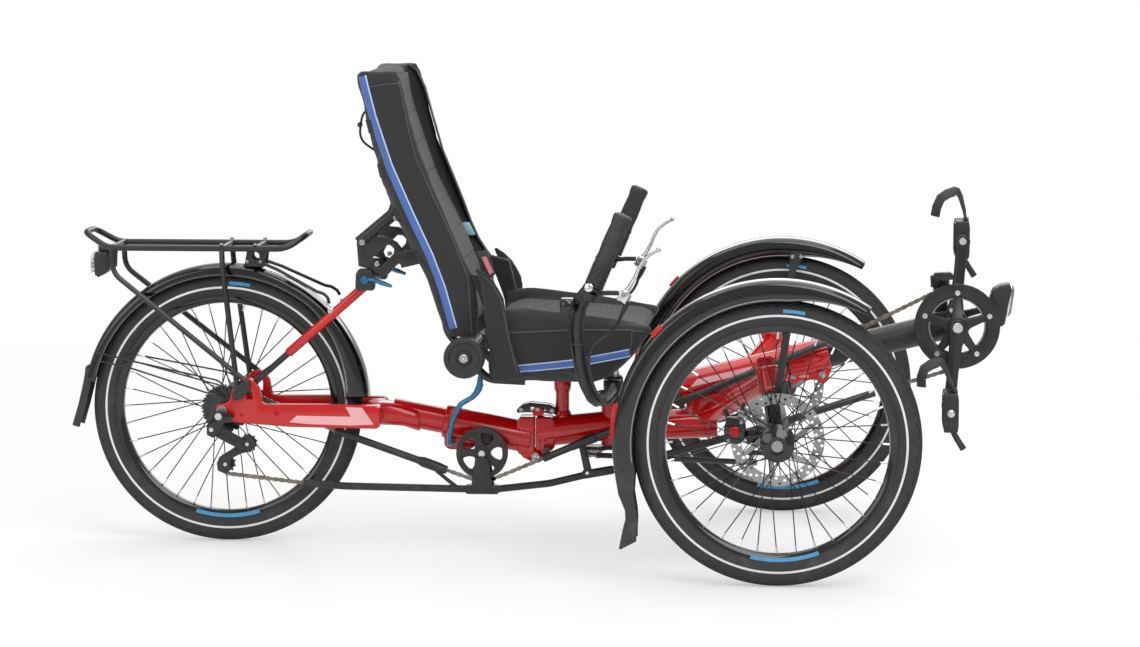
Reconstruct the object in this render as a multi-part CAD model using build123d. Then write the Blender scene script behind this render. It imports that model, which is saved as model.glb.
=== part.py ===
from build123d import *
import math
import os

# Folding recumbent trike: two steered front wheels, one driven rear wheel.
# Millimetres.  +X forward, +Y to the rider's left, +Z up, Z = 0 is the ground.
# Lengths along X are first given from the front axle (X = 0 there) and every
# piece is shifted by FRONT_AXLE_X when it is written, which puts the origin
# under the middle of the whole machine.

# ---------------------------------------------------------------- driving sizes
FRONT_AXLE_X = 434.0      # front axle, ahead of the origin
WHEELBASE = 1002.0        # front axle to rear axle
TRACK = 768.0             # between the middles of the front tyres

TYRE_R = 245.0            # outside of a 40-406 tyre
TYRE_HALF_WIDTH = 20.5
RIM_R = 203.0             # where tyre and rim meet
RIM_DEPTH = 13.0
SPOKE_COUNT = 36
SPOKE_SIDE = 2.2
SPOKE_GAP = 0.3
SPOKE_CROSS_DEG = 38.0    # a spoke's turn between its flange hole and its nipple
FLANGE_R = 29.0
FLANGE_OFFSET = 28.0      # from a front wheel's middle plane to each flange
AXLE_R = 10.0             # stub axles of the front wheels
REAR_AXLE_R = 6.0
STUB_R = 5.0              # axle's free end beyond its left nut
STUB_LENGTH = 12.0
REAR_HUB_HALF = 46.0      # front hub and rear hub half lengths
FRONT_HUB_OUT = 36.0
FRONT_HUB_IN = 38.0
DISC_R = 80.0
DISC_INNER_R = 62.0
DISC_THICK = 2.0

RUN_CLEAR = 0.05          # radial clearance of a shaft in its bore
SEAT_CLEAR = 0.3          # gap between pieces that lie on each other

CASTER_DEG = 10.0         # kingpins lean back
KINGPIN_DEG = 14.0        # and in
KINGPIN_X = -17.0         # kingpin axis at mid head tube
KINGPIN_Y = 285.0
KINGPIN_Z = 340.0
KINGPIN_R = 10.0
HEAD_TUBE_R = 20.0
HEAD_TUBE_HALF = 23.0
ARM_R = 18.0              # cross arms out to the head tubes

BB_X = 314.0              # crank axle
BB_Z = 408.0
BOOM_SLOPE_DEG = 14.0
BOOM_R = 25.0
BOOM_REAR_X = -172.0      # boom's rear end, inside the sleeve
SLEEVE_WALL = 4.0
SLEEVE_REAR_X = -178.0
SLEEVE_FRONT_X = 12.0

HINGE_X = -440.0          # fold pivot under the main tube
HINGE_Z = 161.0
HINGE_PIN_R = 6.0
HINGE_LUG_R = 12.0        # round end of the front half's lug
HINGE_EAR_R = 10.4        # and of the rear half's two ears
MAIN_TUBE_R = 27.0
MAIN_JOINT_Z = 203.0      # main tube's middle where it meets the hinge
MAIN_BEND_X = -306.0
MAIN_BEND_Z = 217.0
MAIN_FRONT_X = -112.0
MAIN_FRONT_Z = 224.0

MIDDLE_R = 28.0           # telescoping tube, outer part
INNER_R = 23.5            # and inner part
MIDDLE_SLOPE_DEG = 10.8   # falls towards the hinge
MIDDLE_REAR_X = -606.0
MIDDLE_REAR_Z = 222.5
TELESCOPE_REAR_X = -700.0
TELESCOPE_IN = 120.0      # how far the inner tube reaches into the outer one

STAY_Y = 62.0             # middle of each rear chain stay
STAY_THICK = 15.0
DROPOUT_Z = 245.0

STEER_X = -300.0          # handlebar pivot through the main tube
STEER_R = 10.0
STEER_BOSS_R = 22.0
BAR_Z = 289.0             # handlebar under the seat
BAR_R = 11.0
LEVER_Z = 165.0
LEVER_BACK = 47.5         # steering lever's ball pins, behind the pivot
LEVER_OUT = 14.0          # and to each side
ROD_R = 5.0
ARM_Z = 218.0             # knuckle arm's ball pin
ARM_BACK = 50.0
ARM_IN = 0.0
BALL_PIN_R = 3.5
EYE_PLAY = 3.2            # room for the pin in the rod's outer eye
EYE_DROP = 17.0           # the eye's middle, below the arm's

CRANK_LENGTH = 140.0
CRANK_TILT_DEG = 5.5      # right crank hangs down and a little back
CHAIN_Y = -45.0           # chain's line from the cranks to the sprockets
DRIVE_REAR_DEG = 19.2     # drive run falls to the idler
DRIVE_FRONT_DEG = 23.0    # and climbs from it to the cranks
CHAIN_HALF = 4.0          # half a link's height
CHAIN_TUBE_R = 7.0
RING_R = 70.0
GUARD_R = 76.0
LAMP_X = 372.0            # back of the front lamp

IDLER_X = -534.0
IDLER_Z = 171.0
IDLER_R = 46.5
IDLER_HALF = 6.0

SEAT_HALF = 184.0
SEAT_SIDE = 34.0          # width of each side bolster
ROLLER_X = -550.0
ROLLER_Z = 364.0
ROLLER_R = 36.0
ROLLER_Y = 206.0
ROLLER_HALF = 13.0

GUARD_SHELL_R = 281.0     # outside of a mudguard
GUARD_HALF_WIDTH = 32.0
GUARD_SHELL = 2.5

RACK_Z = 540.0
RACK_HALF = 58.0
RACK_TUBE_R = 5.5


# ---------------------------------------------------------------- small helpers
def rod(start, end, radius):
    """Round bar between two points."""
    a, b = Vector(*start), Vector(*end)
    return Solid.make_cylinder(radius, (b - a).length, Plane(origin=a, z_dir=b - a))


def bar(start, end, across, deep):
    """Rectangular bar between two points; across is its width along Y, or along Z on a bar that runs along Y."""
    a, b = Vector(*start), Vector(*end)
    run = (b - a).normalized()
    side = Vector(0, 1, 0) if abs(run.Y) < 0.8 else Vector(0, 0, 1)
    section = Plane(origin=a, x_dir=side, z_dir=run) * Rectangle(across, deep)
    return Solid.extrude(section.face(), b - a)


def mitred(points, radius, sides=12):
    """Bar of many flats along straight runs with mitred corners."""
    path = Polyline(*[Vector(*p) for p in points])
    section = Plane(origin=path @ 0, z_dir=path % 0) * RegularPolygon(radius, sides)
    return sweep(section, path=path, transition=Transition.RIGHT).solid()


def ring(outer, inner, y_low, y_high, sides=24):
    """Flat ring of many flats about the Y axis."""
    turns = [2 * math.pi * (k + 0.5) / sides for k in range(sides)]
    edges = [Wire.make_polygon([Vector(r * math.cos(t), y_low, r * math.sin(t)) for t in turns], close=True)
             for r in (outer, inner)]
    return Solid.extrude(Face(edges[0], [edges[1]]), Vector(0, y_high - y_low, 0))


def plate(outline, y_low, y_high):
    """Flat piece with an outline in the X-Z plane."""
    corners = [Vector(x, y_low, z) for x, z in outline]
    face = Face(Wire.make_polygon(corners, close=True))
    return Solid.extrude(face, Vector(0, y_high - y_low, 0))


def block(x0, x1, y0, y1, z0, z1):
    """Box between two corners."""
    return plate([(x0, z0), (x1, z0), (x1, z1), (x0, z1)], y0, y1)


def turned(profile, arc=360.0):
    """Solid of revolution about the Y axis from (radius, y) points."""
    corners = [Vector(r, y, 0) for r, y in profile]
    face = Face(Wire.make_polygon(corners, close=True))
    return revolve(face, axis=Axis.Y, revolution_arc=arc).solid()


def many_sided(profile, sides=16):
    """Solid about the Y axis with flats in place of round walls, from (radius, y) points that start and end at 0."""
    turns = [2 * math.pi * (k + 0.5) / sides for k in range(sides + 1)]
    faces = []
    for (r0, y0), (r1, y1) in zip(profile, profile[1:]):
        for t0, t1 in zip(turns, turns[1:]):
            corners = [(r0, t0), (r0, t1), (r1, t1), (r1, t0)]
            ys = [y0, y0, y1, y1]
            points = [Vector(r * math.cos(t), y, r * math.sin(t)) for (r, t), y in zip(corners, ys)]
            kept = [p for k, p in enumerate(points) if (p - points[k - 1]).length > 1e-6]
            faces.append(Face(Wire.make_polygon(kept, close=True)))
    return Solid(Shell(faces))


def flipped(shape):
    """The same piece on the other side of the machine."""
    return mirror(shape, about=Plane.XZ)


def joined(first, *others):
    """One solid out of pieces that run into each other."""
    return first.fuse(*others).clean()


def write(node, *shapes):
    """One node of the assembly, moved to the machine's origin."""
    whole = Compound(children=[s.moved(Location((FRONT_AXLE_X, 0, 0))) for s in flat(shapes)])
    export_step(whole, f"parts/{node}.step")


def flat(shapes):
    """Solids of nested shapes."""
    return [solid for shape in shapes for solid in shape.solids()]


def kingpin(z):
    """Point of the right kingpin's axis at a height."""
    rise = z - KINGPIN_Z
    return Vector(
        KINGPIN_X - rise * math.tan(math.radians(CASTER_DEG)),
        -KINGPIN_Y + rise * math.tan(math.radians(KINGPIN_DEG)),
        z,
    )


def boom_point(x, offset=0.0):
    """Point of the boom's axis at X, or above it by an offset."""
    slope = math.tan(math.radians(BOOM_SLOPE_DEG))
    return (x, 0, BB_Z + (x - BB_X) * slope + offset)


def middle_point(x):
    """Point of the telescoping tube's axis at X."""
    slope = math.tan(math.radians(MIDDLE_SLOPE_DEG))
    return (x, 0, MIDDLE_REAR_Z - (x - MIDDLE_REAR_X) * slope)


def crank_point(length, side=-1):
    """Point on a crank's middle line: side -1 is the right crank, which hangs down."""
    tilt = math.radians(CRANK_TILT_DEG)
    return (BB_X + side * length * math.sin(tilt), BB_Z + side * length * math.cos(tilt))


# ---------------------------------------------------------------- wheels
def tyre():
    """Tyre about the Y axis."""
    w = TYRE_HALF_WIDTH
    profile = [(RIM_R, -0.68 * w), (RIM_R + 16, -w), (TYRE_R, -0.4 * w),
               (TYRE_R, 0.4 * w), (RIM_R + 16, w), (RIM_R, 0.68 * w)]
    return turned(profile)


def spoked(rim, hub, flanges):
    """Rim, hub and crossed spokes, which hook into them; flanges are the two flange offsets."""
    spokes = []
    for index in range(SPOKE_COUNT):
        side = index % 2
        trailing = 1 if index % 4 < 2 else -1
        rim_angle = math.radians(360.0 / SPOKE_COUNT * index)
        hub_angle = rim_angle + trailing * math.radians(SPOKE_CROSS_DEG)
        out = flanges[side] + trailing * 1.5
        inner, outer = FLANGE_R + SPOKE_GAP + 0.8, RIM_R - RIM_DEPTH - SPOKE_GAP
        start = (inner * math.cos(hub_angle), out, inner * math.sin(hub_angle))
        end = (outer * math.cos(rim_angle), 0.08 * flanges[side], outer * math.sin(rim_angle))
        spokes.append(bar(start, end, SPOKE_SIDE, SPOKE_SIDE))
    return [rim, hub, *spokes]


def rim():
    """Rim about the Y axis."""
    w = 0.62 * TYRE_HALF_WIDTH
    return turned([(RIM_R, -w), (RIM_R, w), (RIM_R - RIM_DEPTH, 0.7 * w), (RIM_R - RIM_DEPTH, -0.7 * w)])


def front_wheel():
    """Front wheel with its brake disc, outer side towards -Y."""
    bore = AXLE_R + RUN_CLEAR
    disc_y = FRONT_HUB_IN - DISC_THICK
    hub = many_sided([(0, -FRONT_HUB_OUT), (22, -FRONT_HUB_OUT), (FLANGE_R, -FLANGE_OFFSET - 2),
                      (FLANGE_R, -FLANGE_OFFSET + 2), (18, -FLANGE_OFFSET + 7), (18, FLANGE_OFFSET - 7),
                      (FLANGE_R, FLANGE_OFFSET - 2), (FLANGE_R, FRONT_HUB_IN), (0, FRONT_HUB_IN)])
    hub = hub.cut(rod((0, -60, 0), (0, 60, 0), bore))
    disc = ring(DISC_R, DISC_INNER_R, disc_y, FRONT_HUB_IN)
    arms = []
    for index in range(6):
        angle = math.radians(60.0 * index)
        far_angle = angle + math.radians(24)
        middle = disc_y + DISC_THICK / 2
        inner, outer = FLANGE_R + 3.2, DISC_INNER_R - 1.2
        near = (inner * math.cos(angle), middle, inner * math.sin(angle))
        far = (outer * math.cos(far_angle), middle, outer * math.sin(far_angle))
        arms.append(bar(near, far, DISC_THICK, 8))
    return Compound(children=[*spoked(rim(), hub, (-FLANGE_OFFSET, FLANGE_OFFSET)), disc, *arms])


def rear_wheel():
    """Rear wheel on its through axle."""
    bore = REAR_AXLE_R + RUN_CLEAR
    hub = many_sided([(0, -REAR_HUB_HALF), (16, -REAR_HUB_HALF), (16, -24.2), (FLANGE_R, -24.2),
                      (FLANGE_R, -19.5), (17, -14), (17, 23), (FLANGE_R, 28), (FLANGE_R, 33),
                      (12, REAR_HUB_HALF), (0, REAR_HUB_HALF)])
    hub = hub.cut(rod((0, -60, 0), (0, 60, 0), bore))
    return Compound(children=spoked(rim(), hub, (-22, 30.5)))


FRONT_WHEEL_Y = TRACK / 2
front_place = Location((0, -FRONT_WHEEL_Y, TYRE_R))
rear_place = Location((-WHEELBASE, 0, TYRE_R))
right_wheel = front_wheel().moved(front_place)
right_tyre = tyre().moved(front_place)


# ---------------------------------------------------------------- front frame
def front_frame():
    """Main tube, boom sleeve, cross arms, head tubes, seat post and hinge knuckle."""
    tube = mitred([(HINGE_X + 3, 0, MAIN_JOINT_Z), (MAIN_BEND_X, 0, MAIN_BEND_Z), (MAIN_FRONT_X, 0, MAIN_FRONT_Z)],
                  MAIN_TUBE_R)
    sleeve = mitred([boom_point(SLEEVE_REAR_X), boom_point(SLEEVE_FRONT_X)], BOOM_R + SLEEVE_WALL)
    neck = plate([(-178, 222), (-116, 226), (-60, 300), (-170, 276)], -14, 14)
    pieces = [sleeve, neck]
    cuts = [rod(boom_point(SLEEVE_REAR_X + 4), boom_point(120), BOOM_R + RUN_CLEAR)]
    low, high = kingpin(KINGPIN_Z - HEAD_TUBE_HALF), kingpin(KINGPIN_Z + HEAD_TUBE_HALF)
    arm_end = kingpin(KINGPIN_Z) - Vector(4, 0, 0)
    head = rod(low, high, HEAD_TUBE_R)
    arm = mitred([(-138, 0, 232), arm_end + Vector(3, 9, -3)], ARM_R, 8)
    bore = rod(kingpin(KINGPIN_Z - 60), kingpin(KINGPIN_Z + 60), KINGPIN_R + RUN_CLEAR)
    pieces += [arm, head, flipped(arm), flipped(head)]
    cuts += [bore, flipped(bore)]
    ears = plate([(4, 338), (-8, 312), (18, 303), (26, 292), (36, 303), (66, 305), (76, 296),
                  (88, 306), (92, 350), (60, 344)], -15, 15)
    post = mitred([(-392, 0, 212), (-392, 0, 313)], 12.5, 10)
    boss = mitred([(STEER_X, 0, 182), (STEER_X, 0, 262)], STEER_BOSS_R)
    knuckle = block(HINGE_X + 1, HINGE_X + 30, -24, 24, 172, 232)
    lug = joined(rod((HINGE_X, -9, HINGE_Z), (HINGE_X, 9, HINGE_Z), HINGE_LUG_R),
                 plate([(HINGE_X, HINGE_Z - HINGE_LUG_R), (HINGE_X + 24, HINGE_Z - 8), (HINGE_X + 24, 176),
                        (HINGE_X + 2, 176), (HINGE_X, HINGE_Z + HINGE_LUG_R)], -9, 9))
    slot = plate([(-40, 330), (100, 360), (100, 280), (-40, 280)], -3, 3)
    cuts.append(rod((STEER_X, 0, 170), (STEER_X, 0, 280), STEER_R + RUN_CLEAR))
    cuts.append(rod((HINGE_X, -12, HINGE_Z), (HINGE_X, 12, HINGE_Z), HINGE_PIN_R + RUN_CLEAR))
    return joined(tube, *pieces, ears, post, boss, knuckle, lug).cut(*cuts, slot)


def seat_rail():
    """Rail plate on the seat post, under the seat."""
    return block(-450, -334, -26, 26, 313, 317)


def fold_latch():
    """Over-centre latch above the hinge, with an open window."""
    outline = [(-472, 240), (-462, 252), (-446, 257), (-410, 252), (-404, 240), (-412, 238)]
    body = plate(outline, -16, 16)
    window = plate([(-452, 240), (-452, 250), (-424, 249), (-420, 240)], -20, 20)
    return body.cut(window)


def drive_point(x):
    """Point of the drive run ahead of the idler or behind it."""
    reach = IDLER_R + CHAIN_HALF + 1
    slope = math.radians(DRIVE_FRONT_DEG if x > IDLER_X else -DRIVE_REAR_DEG)
    touch_x, touch_z = IDLER_X + reach * math.sin(slope), IDLER_Z - reach * math.cos(slope)
    return (x, CHAIN_Y, touch_z + (x - touch_x) * math.tan(slope))


def front_chain_tubes():
    """Drive and return tubes ahead of the fold, held by a link."""
    drive = mitred([drive_point(-424), drive_point(150)], CHAIN_TUBE_R, 8)
    back = mitred([(-304, CHAIN_Y, 141), (11, CHAIN_Y, 234), (170, CHAIN_Y, 287)], CHAIN_TUBE_R, 8)
    upper = drive_point(-352)
    link = bar((-352, CHAIN_Y, upper[2] - 2), (-344, CHAIN_Y, 136), 9, 8)
    lower = bar((-352, CHAIN_Y, 136), (-300, CHAIN_Y, 144), 11, 11)
    clip = block(-424, -412, CHAIN_Y, -24, 172, 182)
    return joined(drive, back, link, lower, clip)


# ---------------------------------------------------------------- middle frame
def middle_frame():
    """Outer telescoping tube with its clamp and the rear half of the hinge."""
    tube = mitred([middle_point(MIDDLE_REAR_X), middle_point(HINGE_X - 8)], MIDDLE_R + 0.8)
    lugs = plate([(-606, 202), (-606, 178), (-602, 173), (-556, 171), (-548, 178), (-548, 190)], -13, 13)
    knuckle = block(HINGE_X - 30, HINGE_X - 1, -24, 24, 164, 232)
    gap = block(HINGE_X - 24, HINGE_X + 40, -10, 10, 140, 176.5)
    ear = [(HINGE_X - 30, 200), (HINGE_X - 30, 168), (HINGE_X - 5, HINGE_Z - 9), (HINGE_X, HINGE_Z),
           (HINGE_X - 2, HINGE_Z + 10), (HINGE_X - 2, 200)]
    ears = [joined(plate(ear, side * 17 - 7, side * 17 + 7),
                   rod((HINGE_X, side * 17 - 7, HINGE_Z), (HINGE_X, side * 17 + 7, HINGE_Z), HINGE_EAR_R))
            for side in (1, -1)]
    pin = rod((HINGE_X, -26, HINGE_Z), (HINGE_X, 26, HINGE_Z), HINGE_PIN_R)
    frame = joined(joined(tube, lugs, knuckle).cut(gap), *ears, pin)
    return frame.cut(rod(middle_point(MIDDLE_REAR_X - 20), middle_point(-472), INNER_R + RUN_CLEAR))


def idler_bracket():
    """Bracket, idler pin and the two chain tubes behind the fold."""
    inner = CHAIN_Y + IDLER_HALF + 3
    hanger = plate([(-550, 216), (-518, 216), (-520, 120), (-512, 98), (-556, 98), (-546, 122)], inner, inner + 4)
    spacer = block(IDLER_X - 10, IDLER_X + 10, inner + 2, -29.1, 196, 216)
    pin = rod((IDLER_X, CHAIN_Y - IDLER_HALF - 3, IDLER_Z), (IDLER_X, inner + 4, IDLER_Z), 5)
    back = mitred([(-858, CHAIN_Y, 113), (-785, CHAIN_Y, 108), (-548, CHAIN_Y, 105), (-504, CHAIN_Y, 106)],
                  CHAIN_TUBE_R, 8)
    foot = block(-556, -512, CHAIN_Y - 8, inner + 4, 97, 112)
    drive = mitred([drive_point(-800), drive_point(-600)], CHAIN_TUBE_R, 8)
    end = drive_point(-604)
    strut = bar((-616, CHAIN_Y, end[2]), (-576, CHAIN_Y, 106), 8, 8)
    return joined(hanger, spacer, pin, back, foot, strut, drive)


def idler():
    """Chain idler with five window spokes."""
    bore = 5 + RUN_CLEAR
    wheel = many_sided([(0, -IDLER_HALF), (IDLER_R, -IDLER_HALF), (IDLER_R, IDLER_HALF), (0, IDLER_HALF)], 24)
    wheel = wheel.cut(rod((0, -20, 0), (0, 20, 0), bore))
    window = plate([(15, -4), (33, -10), (36, 0), (33, 10), (15, 4)], -20, 20)
    cuts = [window.rotate(Axis.Y, 72.0 * index) for index in range(5)]
    return wheel.cut(*cuts).moved(Location((IDLER_X, CHAIN_Y, IDLER_Z)))


def clamp_lever():
    """Bent quick-release lever that clamps the telescoping tube."""
    points = [(-594, -13.3, 186), (-594, -44, 186), (-590, -56, 214), (-571, -64, 264), (-546, -70, 277),
              (-534, -73, 292), (-535, -75, 312)]
    return mitred(points, 5, 6)


# ---------------------------------------------------------------- rear frame
STAY_LOW = (-941.4, 298.5)    # where the rising stays meet the dropout horns
STAY_TOP = (-737.0, 478.0)


def rear_frame():
    """Inner telescoping tube, yoke, box stays and dropouts."""
    tube = rod(middle_point(TELESCOPE_REAR_X), middle_point(MIDDLE_REAR_X + TELESCOPE_IN), INNER_R)
    yoke = plate([(-745, 258), (-690, 258), (-676, 252), (-676, 214), (-690, 214), (-745, 216)], -30, 30)
    frame = joined(tube, yoke)
    for side in (1, -1):
        outline = [(-1012, 232), (-962, 224), (-880, 218), (-723, 216), (-723, 258), (-800, 260), (-928, 259),
                   (-934, 290), (-948.8, 307), (-972, 300), (-990, 262), (-1012, 258)]
        stay = plate(outline, side * STAY_Y - STAY_THICK / 2, side * STAY_Y + STAY_THICK / 2)
        bridge = block(-748, -716, min(side * 20, side * 66), max(side * 20, side * 66), 217, 257)
        frame = joined(frame, stay, bridge)
    bore = rod((-WHEELBASE, -80, TYRE_R), (-WHEELBASE, 80, TYRE_R), REAR_AXLE_R)
    return frame.cut(bore)


def rear_axle():
    """Solid axle; its left end carries a nut and a bare stub."""
    shaft = rod((-WHEELBASE, -76, TYRE_R), (-WHEELBASE, 71, TYRE_R), REAR_AXLE_R)
    nut_y = STAY_Y + STAY_THICK / 2 + SEAT_CLEAR
    nut = mitred([(-WHEELBASE, nut_y, TYRE_R), (-WHEELBASE, nut_y + 7, TYRE_R)], 11, 6)
    stub = rod((-WHEELBASE, nut_y + 6, TYRE_R), (-WHEELBASE, nut_y + 7 + STUB_LENGTH, TYRE_R), STUB_R)
    return joined(shaft, nut, stub)


def seat_stays():
    """Stays that rise from the dropouts to the back of the seat."""
    pieces = []
    for side in (1, -1):
        low = Vector(STAY_LOW[0], side * STAY_Y, STAY_LOW[1])
        top = Vector(STAY_TOP[0], side * 86, STAY_TOP[1])
        run = (top - low).normalized()
        start, step = low + run * 1.4, low + run * 90
        pieces.append(mitred([tuple(start), tuple(step)], 11, 8))
        pieces.append(mitred([tuple(step - run * 2), tuple(top)], 8.5, 8))
    cross = mitred([(STAY_TOP[0], -104, STAY_TOP[1]), (STAY_TOP[0], 104, STAY_TOP[1])], 9, 8)
    bridge = mitred([(-797, -79, 425), (-797, 79, 425)], 6, 8)
    slot_half = 4 + SEAT_CLEAR
    for side in (1, -1):
        jaw = block(STAY_TOP[0] - 14, STAY_TOP[0] + 14, side * 96 - 12, side * 96 + 12, STAY_TOP[1] - 6, STAY_TOP[1] + 30)
        gap = block(STAY_TOP[0] - 20, STAY_TOP[0] + 20, side * 96 - slot_half, side * 96 + slot_half,
                    STAY_TOP[1] + 9.5, STAY_TOP[1] + 40)
        pieces.append(jaw.cut(gap))
    return joined(pieces[0], *pieces[1:], cross, bridge)


def rack():
    """Luggage rack: two rails with turned-up ends, legs, diagonals and cross tubes."""
    pieces = []
    for side in (1, -1):
        y = side * RACK_HALF
        rail = [(-1240, side * 40, RACK_Z + 32), (-1214, y, RACK_Z), (-880, y, RACK_Z), (-851, side * 36, RACK_Z + 27)]
        leg = [(-1001, y, RACK_Z), (-973, side * 75.2, 280)]
        brace = [(-1200, y, RACK_Z), (-1199, side * 60, 494), (-955, side * 75.2, 297)]
        pieces.append(mitred(rail, RACK_TUBE_R, 8))
        pieces += [mitred(leg, RACK_TUBE_R - 0.5, 8), mitred(brace, RACK_TUBE_R - 0.5, 8)]
    for x in (-1200, -1001, -940):
        pieces.append(mitred([(x, -RACK_HALF, RACK_Z), (x, RACK_HALF, RACK_Z)], 4.5, 8))
    pieces.append(mitred([(-1240, -44, RACK_Z + 32), (-1240, 44, RACK_Z + 32)], RACK_TUBE_R, 8))
    pieces.append(block(-1234, -1196, -14, 14, 528 + SEAT_CLEAR, RACK_Z))
    pieces.append(mitred([(-851, -40, RACK_Z + 27), (-851, 40, RACK_Z + 27)], RACK_TUBE_R, 8))
    return joined(pieces[0], *pieces[1:])


def mudguard(start_deg, end_deg, clear_r=GUARD_SHELL_R):
    """Mudguard shell about the Y axis, from one angle to another above +X."""
    w, t = GUARD_HALF_WIDTH, GUARD_SHELL
    profile = [(clear_r, -0.6 * w), (clear_r, 0.6 * w), (clear_r - 11, w), (clear_r - 11 - t, w - t),
               (clear_r - t, 0.6 * w - t), (clear_r - t, t - 0.6 * w), (clear_r - 11 - t, t - w), (clear_r - 11, -w)]
    shell = turned(profile, end_deg - start_deg)
    return shell.rotate(Axis.Y, -end_deg)


def front_mudguard():
    """Right front mudguard with its flap and its stay to the knuckle."""
    shell = mudguard(56, 190).moved(front_place)
    flap = plate([(-281, 200), (-277, 200), (-256, 60), (-276, 58)], -FRONT_WHEEL_Y - 22, -FRONT_WHEEL_Y + 22)
    tab_y = -FRONT_WHEEL_Y + 60
    tab = block(-7, 7, tab_y - 2, tab_y + 2, 284, 316)
    stay = bar((0, tab_y, 314), (0, -FRONT_WHEEL_Y + GUARD_HALF_WIDTH + 1, 512), 4, 14)
    hook = block(-7, 7, -FRONT_WHEEL_Y + 14, -FRONT_WHEEL_Y + GUARD_HALF_WIDTH + 3, 508, 523)
    return joined(shell, flap, stay, hook, tab)


def rear_mudguard():
    """Rear mudguard with its flap and wire stays."""
    r = 262.0
    shell = mudguard(5, 166, r).moved(rear_place)
    flap = plate([(-1250, 326), (-1258, 326), (-1288, 208), (-1280, 204), (-1253.5, 262)], -24, 24)
    tab = plate([(-811.3, 423.2), (-800.7, 411.2), (-796, 415.4), (-806.6, 427.4)], -10, 10)
    strut = block(-946, -934, -8, 8, 498, RACK_Z - 4.5 - SEAT_CLEAR)
    return joined(shell, flap, tab, strut)


def knuckle():
    """Right knuckle: kingpin, stub axle, steering arm, caliper and mudguard lug."""
    shaft = rod(kingpin(KINGPIN_Z - HEAD_TUBE_HALF - 4), kingpin(KINGPIN_Z + HEAD_TUBE_HALF + 4), KINGPIN_R)
    cap = mitred([kingpin(KINGPIN_Z + HEAD_TUBE_HALF + SEAT_CLEAR), kingpin(KINGPIN_Z + HEAD_TUBE_HALF + 17)], 15)
    body = mitred([kingpin(KINGPIN_Z - HEAD_TUBE_HALF - SEAT_CLEAR), kingpin(214)], 15, 8)
    axle_root = kingpin(TYRE_R)
    axle = rod((0, axle_root.Y, TYRE_R), (0, -FRONT_WHEEL_Y - FRONT_HUB_OUT - 3, TYRE_R), AXLE_R)
    shoulder = block(-14, 14, -FRONT_WHEEL_Y + FRONT_HUB_IN + SEAT_CLEAR, axle_root.Y, TYRE_R - 14, TYRE_R + 14)
    arm_root = kingpin(ARM_Z)
    pin_at = (arm_root.X - ARM_BACK, arm_root.Y + ARM_IN)
    arm = bar((arm_root.X, arm_root.Y, ARM_Z), (pin_at[0] - 7, pin_at[1], ARM_Z), 14, 8)
    pin = rod((*pin_at, ARM_Z - 26), (*pin_at, ARM_Z), BALL_PIN_R)
    disc_y = -FRONT_WHEEL_Y + FRONT_HUB_IN - DISC_THICK / 2
    caliper = block(-92, -54, disc_y - 7.5, disc_y + 18, 238, 284)
    caliper = caliper.cut(block(-84, -40, disc_y - 4, disc_y + 4, 230, 290))
    holder = bar((-66, disc_y + 13, 268), (arm_root.X - 6, arm_root.Y, 262), 12, 16)
    lug = block(-7, 7, -FRONT_WHEEL_Y + 62 + SEAT_CLEAR, -296, 286, 300)
    return joined(body, shaft, cap, axle, shoulder, arm, pin, caliper, holder, lug)


def tie_rod():
    """Right tie rod from the steering lever to the knuckle arm's pin."""
    arm_root = kingpin(ARM_Z)
    a = Vector(STEER_X - LEVER_BACK, -LEVER_OUT, LEVER_Z)
    b = Vector(arm_root.X - ARM_BACK, arm_root.Y + ARM_IN, ARM_Z - EYE_DROP)
    along = (b - a).normalized()
    shaft = mitred([tuple(a + along * 6), tuple(b - along * 8)], ROD_R, 6)
    up = Vector(0, 0, 5)
    inner_eye = mitred([a - up, a + up], 9, 8)
    outer_eye = mitred([b - up, b + up], 11, 8)
    whole = joined(shaft, inner_eye, outer_eye)
    return whole.cut(rod(a - up * 2, a + up * 2, 4 + RUN_CLEAR), rod(b - up * 2, b + up * 2, BALL_PIN_R + EYE_PLAY))


# ---------------------------------------------------------------- steering
GRIP_LOW = Vector(-318, -296, 500)
GRIP_HIGH = Vector(-266, -300, 624)
GRIP_RUN = (GRIP_HIGH - GRIP_LOW).normalized()


def handlebar():
    """Bar under the seat with an upright on each side, its pivot shaft and steering lever."""
    side_points = [(-300, 0, BAR_Z), (-304, -110, BAR_Z), (-312, -190, BAR_Z), (-324, -230, BAR_Z + 8),
                   (-334, -244, BAR_Z + 36), (-342, -256, 366), (-347, -268, 424), (-341, -284, 468),
                   GRIP_LOW - GRIP_RUN * 22, GRIP_LOW - GRIP_RUN * SEAT_CLEAR]
    right = mitred(side_points, BAR_R, 8)
    shaft = rod((STEER_X, 0, LEVER_Z + 9), (STEER_X, 0, BAR_Z), STEER_R)
    hub = mitred([(STEER_X, 0, 262 + SEAT_CLEAR), (STEER_X, 0, 301)], 18, 10)
    lever_x = STEER_X - LEVER_BACK
    lever = block(lever_x - 8, STEER_X + 12, -LEVER_OUT - 8, LEVER_OUT + 8, LEVER_Z + 9, LEVER_Z + 15)
    pins = [rod((lever_x, side * LEVER_OUT, LEVER_Z - 7), (lever_x, side * LEVER_OUT, LEVER_Z + 9), 4) for side in (1, -1)]
    return joined(right, flipped(right), shaft, hub, lever, *pins)


def grips():
    """The two hand grips."""
    right = mitred([GRIP_LOW, GRIP_HIGH], 16.5)
    return [right, flipped(right)]


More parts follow.
